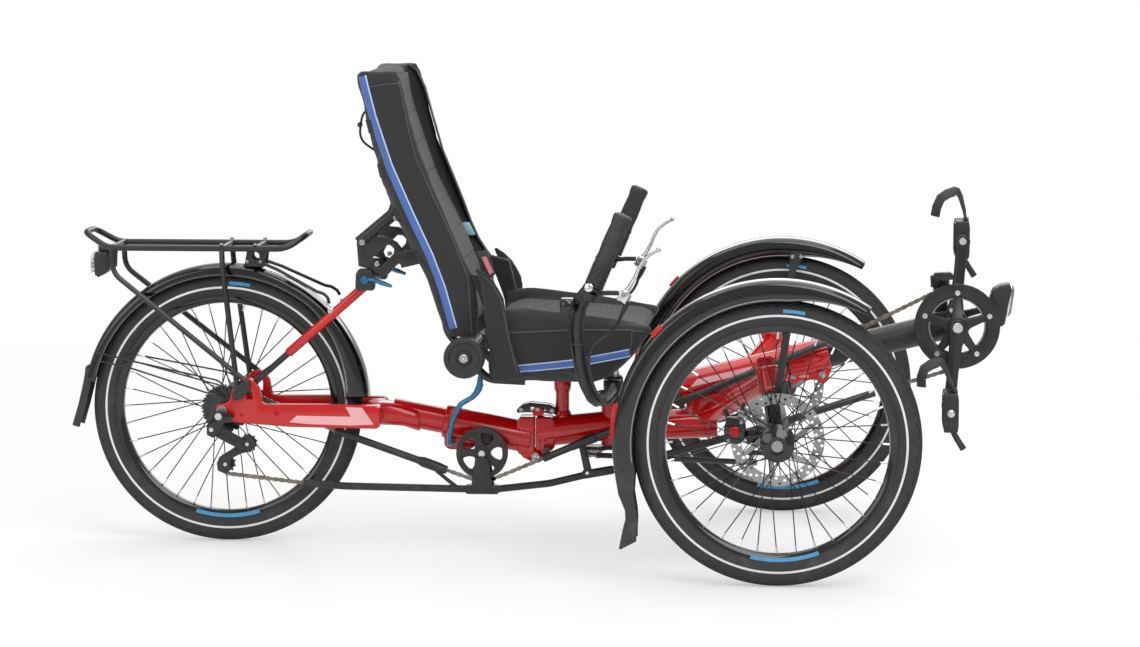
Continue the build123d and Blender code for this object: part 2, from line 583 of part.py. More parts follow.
def brake_levers():
    """Brake levers on the uprights, with their clamps."""
    ring_low, ring_high = GRIP_LOW - GRIP_RUN * 17, GRIP_LOW - GRIP_RUN * 3
    clamp = mitred([ring_low, ring_high], 16, 8)
    body = bar((-312, -297, 487), (-262, -300, 480), 12, 14)
    blade = mitred([(-266, -300, 478), (-258, -300, 520), (-246, -300, 548)], 5, 6)
    right = joined(clamp, body, blade)
    right = right.cut(rod(ring_low - GRIP_RUN * 9, GRIP_LOW, BAR_R + SEAT_CLEAR))
    return [right, flipped(right)]


# ---------------------------------------------------------------- seat
def seat_back():
    """Seat back: a panel between two side bolsters."""
    rear = [(-567, 382), (-579, 400), (-601, 500), (-670, 645), (-720, 792), (-744, 852), (-736, 868)]
    side_front = [(-664, 876), (-632, 840), (-620, 799), (-568, 684), (-534, 600), (-517.5, 555), (-517.5, 382)]
    middle_front = [(-689, 873), (-677, 806), (-627, 660), (-558, 519), (-540, 430), (-540, 382)]
    inner = SEAT_HALF - SEAT_SIDE
    bolster = plate(rear + side_front, -SEAT_HALF, -inner - SEAT_CLEAR)
    return [plate(rear + middle_front, -inner, inner), bolster, flipped(bolster)]


def seat_base():
    """Seat base: a dished cushion between raised sides, with a hip wing at each rear corner."""
    under = [(-517, 330), (-500, 320), (-330, 317.3), (-290, 330), (-259, 363), (-227, 401)]
    inner = SEAT_HALF - 28
    middle = plate(under + [(-213, 418), (-262, 412), (-517, 429)], -inner, inner)
    side = plate(under + [(-212, 425), (-222, 432), (-262, 432), (-517, 465)], -SEAT_HALF, -inner - SEAT_CLEAR)
    wing = plate([(-533, 538), (-517, 484), (-517, 412), (-506, 356), (-496, 318), (-446, 322), (-456, 350),
                  (-474, 442), (-492, 510)], -SEAT_HALF - 14, -SEAT_HALF - SEAT_CLEAR)
    return [middle, side, flipped(side), wing, flipped(wing)]


def seat_frame():
    """Seat frame behind and under the seat: brackets, tubes and roller axle."""
    axle_end = ROLLER_Y + ROLLER_HALF + 4
    axle = rod((ROLLER_X, -axle_end, ROLLER_Z), (ROLLER_X, axle_end, ROLLER_Z), 6)
    pieces = []
    for side in (1, -1):
        y = side * 96
        rail = mitred([(-678, y, 641), (-610, y, 497), (-590, y, 396), (-551, y, 346), (-520, y, 312),
                       (-452, y, 309)], 7.5, 6)
        tube = mitred([(-680, y, 628), (-686, y, 607), (-747, y, 556)], 11, 8)
        slotted = plate([(-748, 512), (-752, 560), (-740, 566), (-684, 540), (-668, 516), (-676, 500),
                         (-708, 494)], y - 4, y + 4)
        link = plate([(-682, 540), (-636, 540), (-626, 522), (-672, 510)], y - 4, y + 4)
        slot = plate([(-732, 520), (-732, 534), (-690, 520), (-694, 510)], y - 9, y + 9)
        hanger = block(-560, -540, y - 6, y + 6, 344, 372)
        pieces.append(joined(rail, tube, slotted, link, hanger).cut(slot))
    return joined(axle, *pieces)


def roller():
    """Right transport roller."""
    bore = 6 + RUN_CLEAR
    wheel = many_sided([(0, -ROLLER_HALF), (22, -ROLLER_HALF), (ROLLER_R, -ROLLER_HALF + 4),
                        (ROLLER_R, ROLLER_HALF), (0, ROLLER_HALF)], 24)
    wheel = wheel.cut(rod((0, -20, 0), (0, 20, 0), bore))
    return wheel.moved(Location((ROLLER_X, -ROLLER_Y, ROLLER_Z)))


# ---------------------------------------------------------------- boom and drive
def post_point(rise):
    """Point of the front changer's post above the crank axle."""
    return (BB_X - 26 - rise * 0.045, 0, BB_Z + rise)


def boom():
    """Boom tube, crank shell and front changer post."""
    tube = rod(boom_point(BOOM_REAR_X), boom_point(BB_X - 8), BOOM_R)
    shell = mitred([(BB_X, -34, BB_Z), (BB_X, 34, BB_Z)], 24)
    post = mitred([post_point(0), post_point(88)], 13)
    lamp_arm = plate([(BB_X + 10, BB_Z + 10), (LAMP_X - SEAT_CLEAR, BB_Z + 22), (LAMP_X - SEAT_CLEAR, BB_Z + 34),
                      (BB_X + 10, BB_Z + 20)], -9, 9)
    body = joined(tube, shell, post, lamp_arm)
    return body.cut(rod((BB_X, -40, BB_Z), (BB_X, 40, BB_Z), 12 + RUN_CLEAR))


def headlight():
    """Front lamp."""
    return plate([(LAMP_X, 408), (LAMP_X, 456), (LAMP_X + 12, 478), (414, 484), (416, 474), (404, 430), (398, 404)], -22, 22)


def front_changer():
    """Front changer: clamp, arm and cage over the chainring."""
    clamp = mitred([post_point(64), post_point(87)], 17, 12).cut(mitred([post_point(50), post_point(99)], 13.3, 12))
    arm = block(BB_X - 36, BB_X - 22, -36, -15, BB_Z + 78, BB_Z + 86)
    cage = plate([(BB_X - 44, BB_Z + 82), (BB_X - 8, BB_Z + 82), (BB_X - 8, BB_Z + 96), (BB_X - 44, BB_Z + 96)], -52, -34)
    cage = cage.cut(block(BB_X - 50, BB_X, -48, -39, BB_Z + 70, BB_Z + 92))
    return joined(clamp, arm, cage)


def crankset():
    """Both crank arms, axle, chainring and chain guard."""
    axle = rod((BB_X, -66, BB_Z), (BB_X, 66, BB_Z), 12)
    chainring = ring(RING_R, 40, CHAIN_Y - 1.5, CHAIN_Y + 1.5)
    guard = ring(GUARD_R, 56, CHAIN_Y - 11, CHAIN_Y - 7)
    pieces = [chainring, guard]
    for index in range(5):
        angle = math.radians(72.0 * index)
        tip = (60 * math.cos(angle), CHAIN_Y - 4, 60 * math.sin(angle))
        pieces.append(bar((0, CHAIN_Y - 4, 0), tip, 8, 14))
    pieces = [piece.moved(Location((BB_X, 0, BB_Z))) for piece in pieces]
    ends = []
    for side in (-1, 1):
        x, z = crank_point(CRANK_LENGTH + 12, side)
        head_x, head_z = crank_point(-14, side)
        pieces.append(bar((head_x, side * 71, head_z), (x, side * 82, z), 14, 28))
        x, z = crank_point(CRANK_LENGTH, side)
        ends.append(rod((x, side * 60, z), (x, side * 110, z), 7 + RUN_CLEAR))
    return joined(axle, *pieces).cut(*ends)


def pedal(side):
    """Pedal with its axle and heel rest; side -1 is the right one."""
    x, z = crank_point(CRANK_LENGTH, side)
    axle = rod((x, side * 74, z), (x, side * 178, z), 7)
    body = block(x - 14, x + 14, min(side * 96, side * 176), max(side * 96, side * 176), z - 36, z + 36)
    strip = [(x + 4, z + side * 34), (x + 12, z + side * 34), (x + 2, z + side * 96), (x - 34, z + side * 84),
             (x - 50, z + side * 44), (x - 42, z + side * 42), (x - 28, z + side * 77), (x - 5, z + side * 86)]
    heel = plate(strip, min(side * 112, side * 156), max(side * 112, side * 156))
    return joined(axle, body, heel)


def cassette():
    """Rear sprockets."""
    bore = 16 + RUN_CLEAR
    cone = many_sided([(0, -44), (26, -44), (44, -27), (44, -24.5), (0, -24.5)], 24)
    return cone.cut(mitred([(0, -60, 0), (0, 20, 0)], bore / math.cos(math.pi / 16), 16)).moved(rear_place)


def rear_derailleur():
    """Rear derailleur: body, link, cage and two pulleys."""
    hanger = block(-1006, -980, -88, -STAY_Y - STAY_THICK / 2 - SEAT_CLEAR, 229.5, 237.5)
    body = bar((-1004, -87, 240), (-1016, -90, 214), 12, 20)
    link = bar((-1014, -88, 222), (-962, -62, 186), 10, 16)
    cage = plate([(-972, 196), (-950, 190), (-948, 172), (-988, 152), (-1008, 138), (-1014, 148), (-996, 164)], -60, -56)
    upper = mitred([(-958, -58, 185), (-958, -34, 185)], 18, 12)
    lower = mitred([(-998, -58, 148), (-998, -34, 148)], 18, 12)
    return joined(body, hanger, link, cage, upper, lower)


def chain_rear():
    """Open chain between sprockets, derailleur and the rear tubes."""
    drive = bar((-983.6, -31, 288.9), drive_point(-800.8), 6, 2 * CHAIN_HALF)
    back = bar((-998, -42, 125.7), (-858.3, CHAIN_Y, 113.2), 6, 2 * CHAIN_HALF)
    return [drive, back]


def chain_middle():
    """Chain under the idler and the return run's flexible tube across the fold."""
    reach = IDLER_R + CHAIN_HALF + 1
    run = [drive_point(-600 + SEAT_CLEAR)]
    for degrees in (-DRIVE_REAR_DEG, -5, 9, DRIVE_FRONT_DEG):
        turn = math.radians(degrees)
        run.append((IDLER_X + reach * math.sin(turn), CHAIN_Y, IDLER_Z - reach * math.cos(turn)))
    run.append(drive_point(-424 - SEAT_CLEAR))
    pieces = [bar(run[i], run[i + 1], 5, 2 * CHAIN_HALF) for i in range(5)]
    back = mitred([(-504 + SEAT_CLEAR, CHAIN_Y, 106), (-412, CHAIN_Y, 117), (-352 - SEAT_CLEAR, CHAIN_Y, 131.4)],
                  CHAIN_TUBE_R, 8)
    return [joined(*pieces), back]


def chain_front():
    """Open chain between the front tubes and the chainring."""
    reach = RING_R + CHAIN_HALF + 0.1
    start = Vector(*drive_point(158))
    drive = bar(tuple(start), (BB_X - reach * math.sin(math.radians(26)), CHAIN_Y, BB_Z + reach * math.cos(math.radians(26))),
                6, 2 * CHAIN_HALF)
    back = bar((178, CHAIN_Y, 289.5), (BB_X + reach * math.sin(math.radians(17)), CHAIN_Y,
                                       BB_Z - reach * math.cos(math.radians(17))), 6, 2 * CHAIN_HALF)
    return [drive, back]


def tail_light():
    """Rear lamp under the rack's end."""
    return plate([(-1246, 486), (-1246, 520), (-1240, 528), (-1216, 528), (-1208, 512), (-1216, 490), (-1236, 480)], -24, 24)


os.makedirs("parts", exist_ok=True)
right_knuckle = knuckle()
right_mudguard = front_mudguard()
right_tie_rod = tie_rod()
right_roller = roller()
NODES = {
    "frame_front": front_frame(),
    "seat_rail": seat_rail(),
    "fold_latch": fold_latch(),
    "chain_tubes_front": front_chain_tubes(),
    "frame_middle": middle_frame(),
    "idler_bracket": idler_bracket(),
    "clamp_lever": clamp_lever(),
    "idler": idler(),
    "frame_rear": rear_frame(),
    "rear_axle": rear_axle(),
    "seat_stays": seat_stays(),
    "rack": rack(),
    "mudguard_rear": rear_mudguard(),
    "tail_light": tail_light(),
    "rear_derailleur": rear_derailleur(),
    "chain_rear": chain_rear(),
    "chain_middle": chain_middle(),
    "chain_front": chain_front(),
    "tyre_rear": tyre().moved(rear_place),
    "wheel_rear": rear_wheel().moved(rear_place),
    "cassette": cassette(),
    "tyre_right": right_tyre,
    "tyre_left": flipped(right_tyre),
    "wheel_right": right_wheel,
    "wheel_left": flipped(right_wheel),
    "knuckle_right": right_knuckle,
    "knuckle_left": flipped(right_knuckle),
    "mudguard_right": right_mudguard,
    "mudguard_left": flipped(right_mudguard),
    "tie_rod_right": right_tie_rod,
    "tie_rod_left": flipped(right_tie_rod),
    "handlebar": handlebar(),
    "grips": grips(),
    "brake_levers": brake_levers(),
    "seat_back": seat_back(),
    "seat_base": seat_base(),
    "seat_frame": seat_frame(),
    "roller_right": right_roller,
    "roller_left": flipped(right_roller),
    "boom": boom(),
    "headlight": headlight(),
    "front_changer": front_changer(),
    "crankset": crankset(),
    "pedal_right": pedal(-1),
    "pedal_left": pedal(1),
}
for name, shape in NODES.items():
    write(name, *(shape if isinstance(shape, list) else [shape]))
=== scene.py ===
"""Folding recumbent trike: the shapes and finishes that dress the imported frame."""

import logging
import math
from dataclasses import dataclass
from enum import Enum
from typing import Callable, Sequence

import bmesh
import bpy
from mathutils import Matrix, Vector


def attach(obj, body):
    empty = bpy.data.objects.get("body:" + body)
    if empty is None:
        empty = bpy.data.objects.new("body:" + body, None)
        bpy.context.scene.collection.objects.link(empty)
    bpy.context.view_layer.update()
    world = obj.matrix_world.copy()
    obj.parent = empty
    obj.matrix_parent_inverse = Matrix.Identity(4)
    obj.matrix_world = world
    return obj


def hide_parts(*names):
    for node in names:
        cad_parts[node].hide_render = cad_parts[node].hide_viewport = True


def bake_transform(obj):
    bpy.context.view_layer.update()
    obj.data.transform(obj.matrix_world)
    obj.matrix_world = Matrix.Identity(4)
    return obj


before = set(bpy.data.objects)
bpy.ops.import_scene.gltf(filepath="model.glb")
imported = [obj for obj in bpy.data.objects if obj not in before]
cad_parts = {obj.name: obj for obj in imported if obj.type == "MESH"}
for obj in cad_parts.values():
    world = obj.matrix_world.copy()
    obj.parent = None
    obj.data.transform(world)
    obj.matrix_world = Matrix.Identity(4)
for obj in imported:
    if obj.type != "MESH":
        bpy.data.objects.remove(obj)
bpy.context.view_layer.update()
bpy.ops.object.select_all(action="DESELECT")

LOG = logging.getLogger("trike")
FRONT_AXLE_X = 434.0
WHEELBASE = 1002.0
TRACK_HALF = 384.0
AXLE_Z = 245.0
CHAIN_Y = -45.0
KINGPIN_CASTER = math.tan(math.radians(10.0))
KINGPIN_LEAN = math.tan(math.radians(14.0))
BOOM_SLOPE = math.tan(math.radians(14.0))
TUBE_SLOPE = math.tan(math.radians(10.8))
CRANK_LENGTH = 140.0
CRANK_TILT = math.radians(5.5)
SEAT_TUBE_Y = 96.0
ROLLER_Y = 206.0
ROLLER_HALF = 13.0

Point = tuple[float, float, float] | Vector
Flat = tuple[float, float]
Piece = bpy.types.Object

UP: Point = (0.0, 0.0, 1.0)
CRANK: Point = (314.0, 0.0, 408.0)
IDLER: Point = (-534.0, CHAIN_Y, 171.0)
HINGE: Point = (-440.0, 0.0, 161.0)
MIRROR = Matrix.Diagonal((1.0, -1.0, 1.0, 1.0))


class Side(Enum):
    """Side of the machine as the rider sits in it."""

    RIGHT = -1
    LEFT = 1

    @property
    def word(self) -> str:
        """The side's name as the bodies spell it."""
        return self.name.lower()


def at(x: float, y: float, z: float) -> Vector:
    """Place in metres of a point in millimetres from the front axle."""
    return Vector(((x + FRONT_AXLE_X) / 1000, y / 1000, z / 1000))


def about(axis: str, degrees: float, centre: Point) -> Matrix:
    """Turn by an angle about an axis through a centre.

    Args:
        axis: X, Y or Z, or a direction.
        degrees: Angle of the turn.
        centre: Point that the axis passes through.

    Returns:
        The turn as a matrix.
    """
    middle = at(*centre)
    turn = Matrix.Rotation(math.radians(degrees), 4, axis)
    return Matrix.Translation(middle) @ turn @ Matrix.Translation(-middle)


def shift(x: float, y: float, z: float) -> Matrix:
    """Move by millimetres."""
    return Matrix.Translation((x / 1000, y / 1000, z / 1000))


def kingpin(z: float, side: int = -1) -> Point:
    """Point of a kingpin's axis at a height."""
    rise = z - 340.0
    return (-17.0 - rise * KINGPIN_CASTER, side * (285.0 - rise * KINGPIN_LEAN), z)


def crank_point(reach: float, side: int) -> Flat:
    """X and Z of a point along a crank arm."""
    return (CRANK[0] + side * reach * math.sin(CRANK_TILT), CRANK[2] + side * reach * math.cos(CRANK_TILT))


def boom_point(x: float, offset: float = 0.0) -> Point:
    """Point of the boom's axis at X, or above it."""
    return (x, 0.0, CRANK[2] + (x - CRANK[0]) * BOOM_SLOPE + offset)


def middle_point(x: float) -> Point:
    """Point of the telescoping tube's axis at X."""
    return (x, 0.0, 222.5 - (x + 606.0) * TUBE_SLOPE)


def drive_point(x: float) -> Point:
    """Point of the chain's drive run before the idler or behind it.

    Args:
        x: X of the point.

    Returns:
        The point.
    """
    if x > IDLER[0]:
        return (x, CHAIN_Y, 123.6 + (x + 513.9) * 0.4245)
    return (x, CHAIN_Y, 122.4 - (x + 550.9) * 0.3482)


def mirrored(half: Sequence[Flat]) -> list[Flat]:
    """Turning profile and its mirror image on the other side of the middle."""
    return [(r, -y) for r, y in half[::-1]] + list(half)


def rounded_box(count: int, round_off: float) -> list[Flat]:
    """Points round a square of half size 1, its corners drawn in towards a circle.

    Args:
        count: Number of points.
        round_off: 0 gives a circle, 1 gives a square.

    Returns:
        The points, counterclockwise.
    """
    ring = []
    for k in range(count):
        t = 2 * math.pi * (k + 0.5) / count
        c, s = math.cos(t), math.sin(t)
        reach = (1 / max(abs(c), abs(s))) ** round_off
        ring.append((c * reach, s * reach))
    return ring


def toothed(centre: Point, teeth: int, parts: Sequence[Flat]) -> list[Flat]:
    """Outline in X-Z of a toothed wheel, from (share of a tooth, radius) points.

    Args:
        centre: The wheel's centre.
        teeth: Number of teeth.
        parts: Points of one tooth.

    Returns:
        The outline.
    """
    outline = []
    for tooth in range(teeth):
        for part, reach in parts:
            turn = 2 * math.pi * (tooth + part) / teeth
            outline.append((centre[0] + reach * math.cos(turn), centre[2] + reach * math.sin(turn)))
    return outline


def filleted(points: Sequence[Point], radius: float, steps: int = 6) -> list[Vector]:
    """Route in metres with its corners rounded.

    Args:
        points: Corners in millimetres.
        radius: Bend radius in millimetres, less where a run is short.
        steps: Points on each bend.

    Returns:
        The points of the smooth route.
    """
    corners = [at(*p) for p in points]
    route = [corners[0]]
    for before, corner, after in zip(corners, corners[1:], corners[2:]):
        back, ahead = before - corner, after - corner
        turn = math.pi - back.angle(ahead, math.pi)
        if turn < 0.02:
            route.append(corner)
            continue
        reach = min(radius / 1000 * math.tan(turn / 2), 0.45 * back.length, 0.45 * ahead.length)
        start, end = corner + back.normalized() * reach, corner + ahead.normalized() * reach
        for k in range(steps + 1):
            t = k / steps
            route.append(start * (1 - t) ** 2 + corner * 2 * t * (1 - t) + end * t * t)
    route.append(corners[-1])
    return route


class Bench:
    """Shapes pieces with Blender's operators, from sizes in millimetres."""

    @staticmethod
    def clear() -> None:
        """Deselects everything."""
        if bpy.context.object and bpy.context.object.mode != "OBJECT":
            bpy.ops.object.mode_set(mode="OBJECT")
        bpy.ops.object.select_all(action="DESELECT")

    @classmethod
    def pick(cls, piece: Piece) -> None:
        """Selects one piece and makes it active.

        Args:
            piece: The piece to work on.
        """
        cls.clear()
        piece.select_set(True)
        bpy.context.view_layer.objects.active = piece

    @classmethod
    def edit(cls, piece: Piece) -> None:
        """Opens a piece in edit mode with everything selected.

        Args:
            piece: The piece to work on.
        """
        cls.pick(piece)
        bpy.ops.object.mode_set(mode="EDIT")
        bpy.ops.mesh.select_all(action="SELECT")

    @staticmethod
    def done(tidy: bool = True) -> None:
        """Leaves edit mode, with normals pointing out.

        Args:
            tidy: Whether the normals are turned outwards.
        """
        if tidy:
            bpy.ops.mesh.select_all(action="SELECT")
            bpy.ops.mesh.normals_make_consistent(inside=False)
        bpy.ops.object.mode_set(mode="OBJECT")

    @classmethod
    def apply(cls, piece: Piece, kind: str, **settings: object) -> Piece:
        """Adds a modifier with its settings and applies it.

        Args:
            piece: The piece to work on.
            kind: The modifier's kind.
            settings: Settings by name.

        Returns:
            The same piece.
        """
        cls.pick(piece)
        modifier = piece.modifiers.new(kind.title(), kind)
        for name, value in settings.items():
            setattr(modifier, name, value)
        bpy.ops.object.modifier_apply(modifier=modifier.name)
        return piece

    @classmethod
    def bevel(cls, piece: Piece, width: float, segments: int = 2, angle: float = 30.0) -> Piece:
        """Rounds a piece's sharp edges.

        Args:
            piece: The piece to work on.
            width: Width of the rounding in millimetres.
            segments: Steps across a rounded edge.
            angle: Angle above which an edge is sharp.

        Returns:
            The same piece.
        """
        return cls.apply(
            piece, "BEVEL", width=width / 1000, segments=segments, limit_method="ANGLE",
            angle_limit=math.radians(angle), use_clamp_overlap=True, harden_normals=False,
        )

    @classmethod
    def face(cls, name: str, points: Sequence[Point], fill: str = "NGON") -> Piece:
        """Closed outline, filled or not, through points.

        Args:
            name: The piece's name.
            points: Points in millimetres from the front axle.
            fill: Whether the outline is filled.

        Returns:
            The outline as a piece.
        """
        cls.clear()
        bpy.ops.mesh.primitive_circle_add(vertices=len(points), fill_type=fill)
        piece = bpy.context.object
        piece.name = name
        for vertex, point in zip(piece.data.vertices, points):
            vertex.co = at(*point)
        return piece

    @classmethod
    def plate(cls, name: str, outline: Sequence[Flat], low: float, high: float, bevel: float = 1.0,
              segments: int = 2) -> Piece:
        """Flat piece with an outline in X-Z and its thickness along Y.

        Args:
            name: The piece's name.
            outline: (X, Z) points.
            low: Lowest Y.
            high: Highest Y.
            bevel: Width of the rounding, 0 for none.
            segments: Steps across a rounded edge.

        Returns:
            The plate.
        """
        piece = cls.face(name, [(x, low, z) for x, z in outline])
        cls.edit(piece)
        bpy.ops.mesh.extrude_region_move(TRANSFORM_OT_translate={"value": (0, (high - low) / 1000, 0)})
        cls.done()
        return cls.bevel(piece, bevel, segments) if bevel else piece

    @classmethod
    def loft(cls, name: str, sections: Sequence[Sequence[Point]]) -> Piece:
        """Closed skin from section to section, all with the same number of points.

        Args:
            name: The piece's name.
            sections: Rings of points, from one end to the other.

        Returns:
            The skin.
        """
        piece = cls.face(name, sections[0])
        cls.edit(piece)
        for before, after in zip(sections, sections[1:]):
            bpy.ops.mesh.extrude_region_move()
            mesh = bmesh.from_edit_mesh(piece.data)
            olds, news = [at(*p) for p in before], [at(*p) for p in after]
            for vertex in [v for v in mesh.verts if v.select]:
                nearest = min(range(len(olds)), key=lambda k: (olds[k] - vertex.co).length_squared)
                vertex.co = news[nearest]
            bmesh.update_edit_mesh(piece.data)
        cls.done()
        return piece

    @classmethod
    def block(cls, name: str, low: Point, high: Point, bevel: float = 1.5, segments: int = 2) -> Piece:
        """Rounded block between two corners."""
        outline = [(low[0], low[2]), (high[0], low[2]), (high[0], high[2]), (low[0], high[2])]
        return cls.plate(name, outline, low[1], high[1], bevel, segments)

    @classmethod
    def lathe(cls, name: str, profile: Sequence[Flat], centre: Point, steps: int = 48, closed: bool = False,
              axis: Point = (0.0, 1.0, 0.0), start: float = 0.0, arc: float = 360.0) -> Piece:
        """Turned piece.

        Args:
            name: The piece's name.
            profile: (radius, distance along the axis) points.
            centre: Point of the axis that distances start from.
            steps: Faces round the turn.
            closed: Whether the profile is a loop, as on a ring, or starts and ends on the axis.
            axis: The axis's direction.
            start: Angle above +X where a part turn starts, about the Y axis.
            arc: Angle that the profile sweeps.

        Returns:
            The turned piece.
        """
        along = Vector(axis).normalized()
        out = Vector((0, 0, 1)).cross(along)
        out = Vector((1, 0, 0)) if out.length < 0.01 or abs(along.y) > 0.99 else out.normalized()
        cls.clear()
        bpy.ops.mesh.primitive_circle_add(vertices=len(profile), fill_type="NOTHING")
        piece = bpy.context.object
        piece.name = name
        middle = at(*centre)
        first = Matrix.Rotation(math.radians(-start), 3, along)
        for vertex, (radius, reach) in zip(piece.data.vertices, profile):
            vertex.co = middle + first @ (out * radius / 1000) + along * reach / 1000
        count = len(profile)
        cls.edit(piece)
        if not closed:
            mesh = bmesh.from_edit_mesh(piece.data)
            mesh.verts.ensure_lookup_table()
            ends = {mesh.verts[0], mesh.verts[count - 1]}
            gone = [e for e in mesh.edges if set(e.verts) == ends]
            bmesh.ops.delete(mesh, geom=gone, context="EDGES_FACES")
            bmesh.update_edit_mesh(piece.data)
            bpy.ops.mesh.select_all(action="SELECT")
        bpy.ops.mesh.spin(steps=steps, angle=math.radians(arc), center=middle, axis=along)
        bpy.ops.mesh.select_all(action="SELECT")
        bpy.ops.mesh.remove_doubles(threshold=1e-5)
        if arc < 360:
            bpy.ops.mesh.select_all(action="DESELECT")
            bpy.ops.mesh.select_non_manifold(extend=False)
            if closed:
                bpy.ops.mesh.fill()
            else:
                bpy.ops.mesh.edge_face_add()
        cls.done()
        return piece

    @classmethod
    def path(cls, name: str, kind: str, route: Sequence[Vector], radius: float,
             sides: int) -> bpy.types.Spline:
        """Adds a round curve along a route in metres, and returns its only spline.

        Args:
            name: The piece's name.
            kind: The spline's kind.
            route: Points in metres.
            radius: Outer radius.
            sides: Faces round the section.

        Returns:
            The spline.
        """
        cls.clear()
        bpy.ops.curve.primitive_nurbs_path_add()
        bpy.context.object.name = name
        curve = bpy.context.object.data
        curve.splines.clear()
        spline = curve.splines.new(kind)
        spline.points.add(len(route) - 1)
        for point, place in zip(spline.points, route):
            point.co = (*place, 1.0)
            point.radius = 1.0
        curve.bevel_depth = radius / 1000
        curve.bevel_resolution = max(0, sides // 4 - 1)
        curve.use_fill_caps = True
        return spline

    @classmethod
    def tube(cls, name: str, points: Sequence[Point], radius: float, fillet: float = 20.0, sides: int = 16,
             radii: Sequence[float] = (), steps: int = 6) -> Piece:
        """Round bar or tube along a route with rounded corners.

        Args:
            name: The piece's name.
            points: Corners of the route in millimetres.
            radius: The tube's outside radius.
            fillet: Bend radius at the corners.
            sides: Faces round the tube.
            radii: Radius at each corner where it changes along the route.
            steps: Points on each bend.

        Returns:
            The tube as a mesh.
        """
        route = [at(*p) for p in points] if radii else filleted(points, fillet, steps)
        spline = cls.path(name, "POLY", route, radius, sides)
        for k, width in enumerate(radii):
            spline.points[k].radius = width / radius
        bpy.ops.object.convert(target="MESH")
        piece = bpy.context.object
        cls.edit(piece)
        bpy.ops.mesh.remove_doubles(threshold=1e-6)
        cls.done()
        return piece

    @classmethod
    def cable(cls, name: str, points: Sequence[Point], radius: float, sides: int = 8) -> Piece:
        """Smooth flexible cable through guide points.

        Args:
            name: The piece's name.
            points: Points in millimetres from the front axle.
            radius: Outer radius.
            sides: Faces round the section.

        Returns:
            The cable.
        """
        spline = cls.path(name, "NURBS", [at(*p) for p in points], radius, sides)
        spline.order_u = 4 if len(points) > 3 else 3
        spline.use_endpoint_u = True
        bpy.context.object.data.resolution_u = 8
        bpy.ops.object.convert(target="MESH")
        return bpy.context.object

    @classmethod
    def strip(cls, name: str, points: Sequence[Point], across: Sequence[Point], thick: float) -> Piece:
        """Flat band along a run of points, each with a vector across the band.

        Args:
            name: The piece's name.
            points: Points in millimetres from the front axle.
            across: Vector to the edge at each point.
            thick: Thickness.

        Returns:
            The band.
        """
        sections = []
        for k, (point, width) in enumerate(zip(points, across)):
            ahead = Vector(points[min(k + 1, len(points) - 1)]) - Vector(points[max(k - 1, 0)])
            half, up = Vector(width) / 2, Vector(width).cross(ahead).normalized() * thick / 2
            here = Vector(point)
            sections.append([here + half + up, here + half - up, here - half - up, here - half + up])
        return cls.loft(name, sections)

    @classmethod
    def copy(cls, piece: Piece, name: str, matrix: Matrix) -> Piece:
        """Copy with its own mesh, moved by a matrix in the machine's frame.

        Args:
            piece: The piece to work on.
            name: The piece's name.
            matrix: The move.

        Returns:
            The copy.
        """
        twin = piece.copy()
        twin.data = piece.data.copy()
        twin.name = name
        twin.data.transform(matrix)
        if matrix.determinant() < 0:
            twin.data.flip_normals()
        bpy.context.scene.collection.objects.link(twin)
        return twin

    @classmethod
    def joined(cls, name: str, pieces: Sequence[Piece]) -> Piece:
        """One object out of several.

        Args:
            name: The piece's name.
            pieces: The pieces, which become one.

        Returns:
            The one object.
        """
        cls.pick(pieces[0])
        for piece in pieces:
            piece.select_set(True)
        bpy.ops.object.join()
        bpy.context.object.name = name
        return bpy.context.object

    @classmethod
    def cut(cls, piece: Piece, *tools: Piece) -> Piece:
        """Takes the tools' shapes out of a piece and removes the tools.

        Args:
            piece: The piece to work on.
            tools: The pieces to cut with.

        Returns:
            The same piece.
        """
        tool = cls.joined("tool", tools) if len(tools) > 1 else tools[0]
        cls.apply(piece, "BOOLEAN", operation="DIFFERENCE", object=tool, solver="EXACT")
        bpy.data.objects.remove(tool)
        return piece

    @classmethod
    def grooves(cls, x: float, z: float) -> list[Piece]:
        """Cutters of two grip grooves in each side of a hinge block, from X and Z of the first."""
        near = [cls.block("groove", (x + 9 * k, -30, z), (x + 4 + 9 * k, -22.5, 206), 0) for k in range(2)]
        return near + [cls.copy(groove, "groove.far", MIRROR) for groove in near]

    @classmethod
    def around(cls, piece: Piece, count: int, centre: Point, axis: str = "Y", name: str = "") -> Piece:
        """A piece repeated evenly round an axis, as one object.

        Args:
            piece: The piece to work on.
            count: Number of places round the turn.
            centre: Point that the axis passes through.
            axis: The axis that it goes by.
            name: The piece's name.

        Returns:
            The one object.
        """
        copies = [piece]
        for k in range(1, count):
            copies.append(cls.copy(piece, f"{piece.name}.{k}", about(axis, 360 / count * k, centre)))
        return cls.joined(name or piece.name, copies)

    @classmethod
    def both(cls, piece: Piece, name: str = "") -> Piece:
        """A piece and its mirror image on the other side, as one object."""
        return cls.joined(name or piece.name, [piece, cls.copy(piece, piece.name + ".far", MIRROR)])


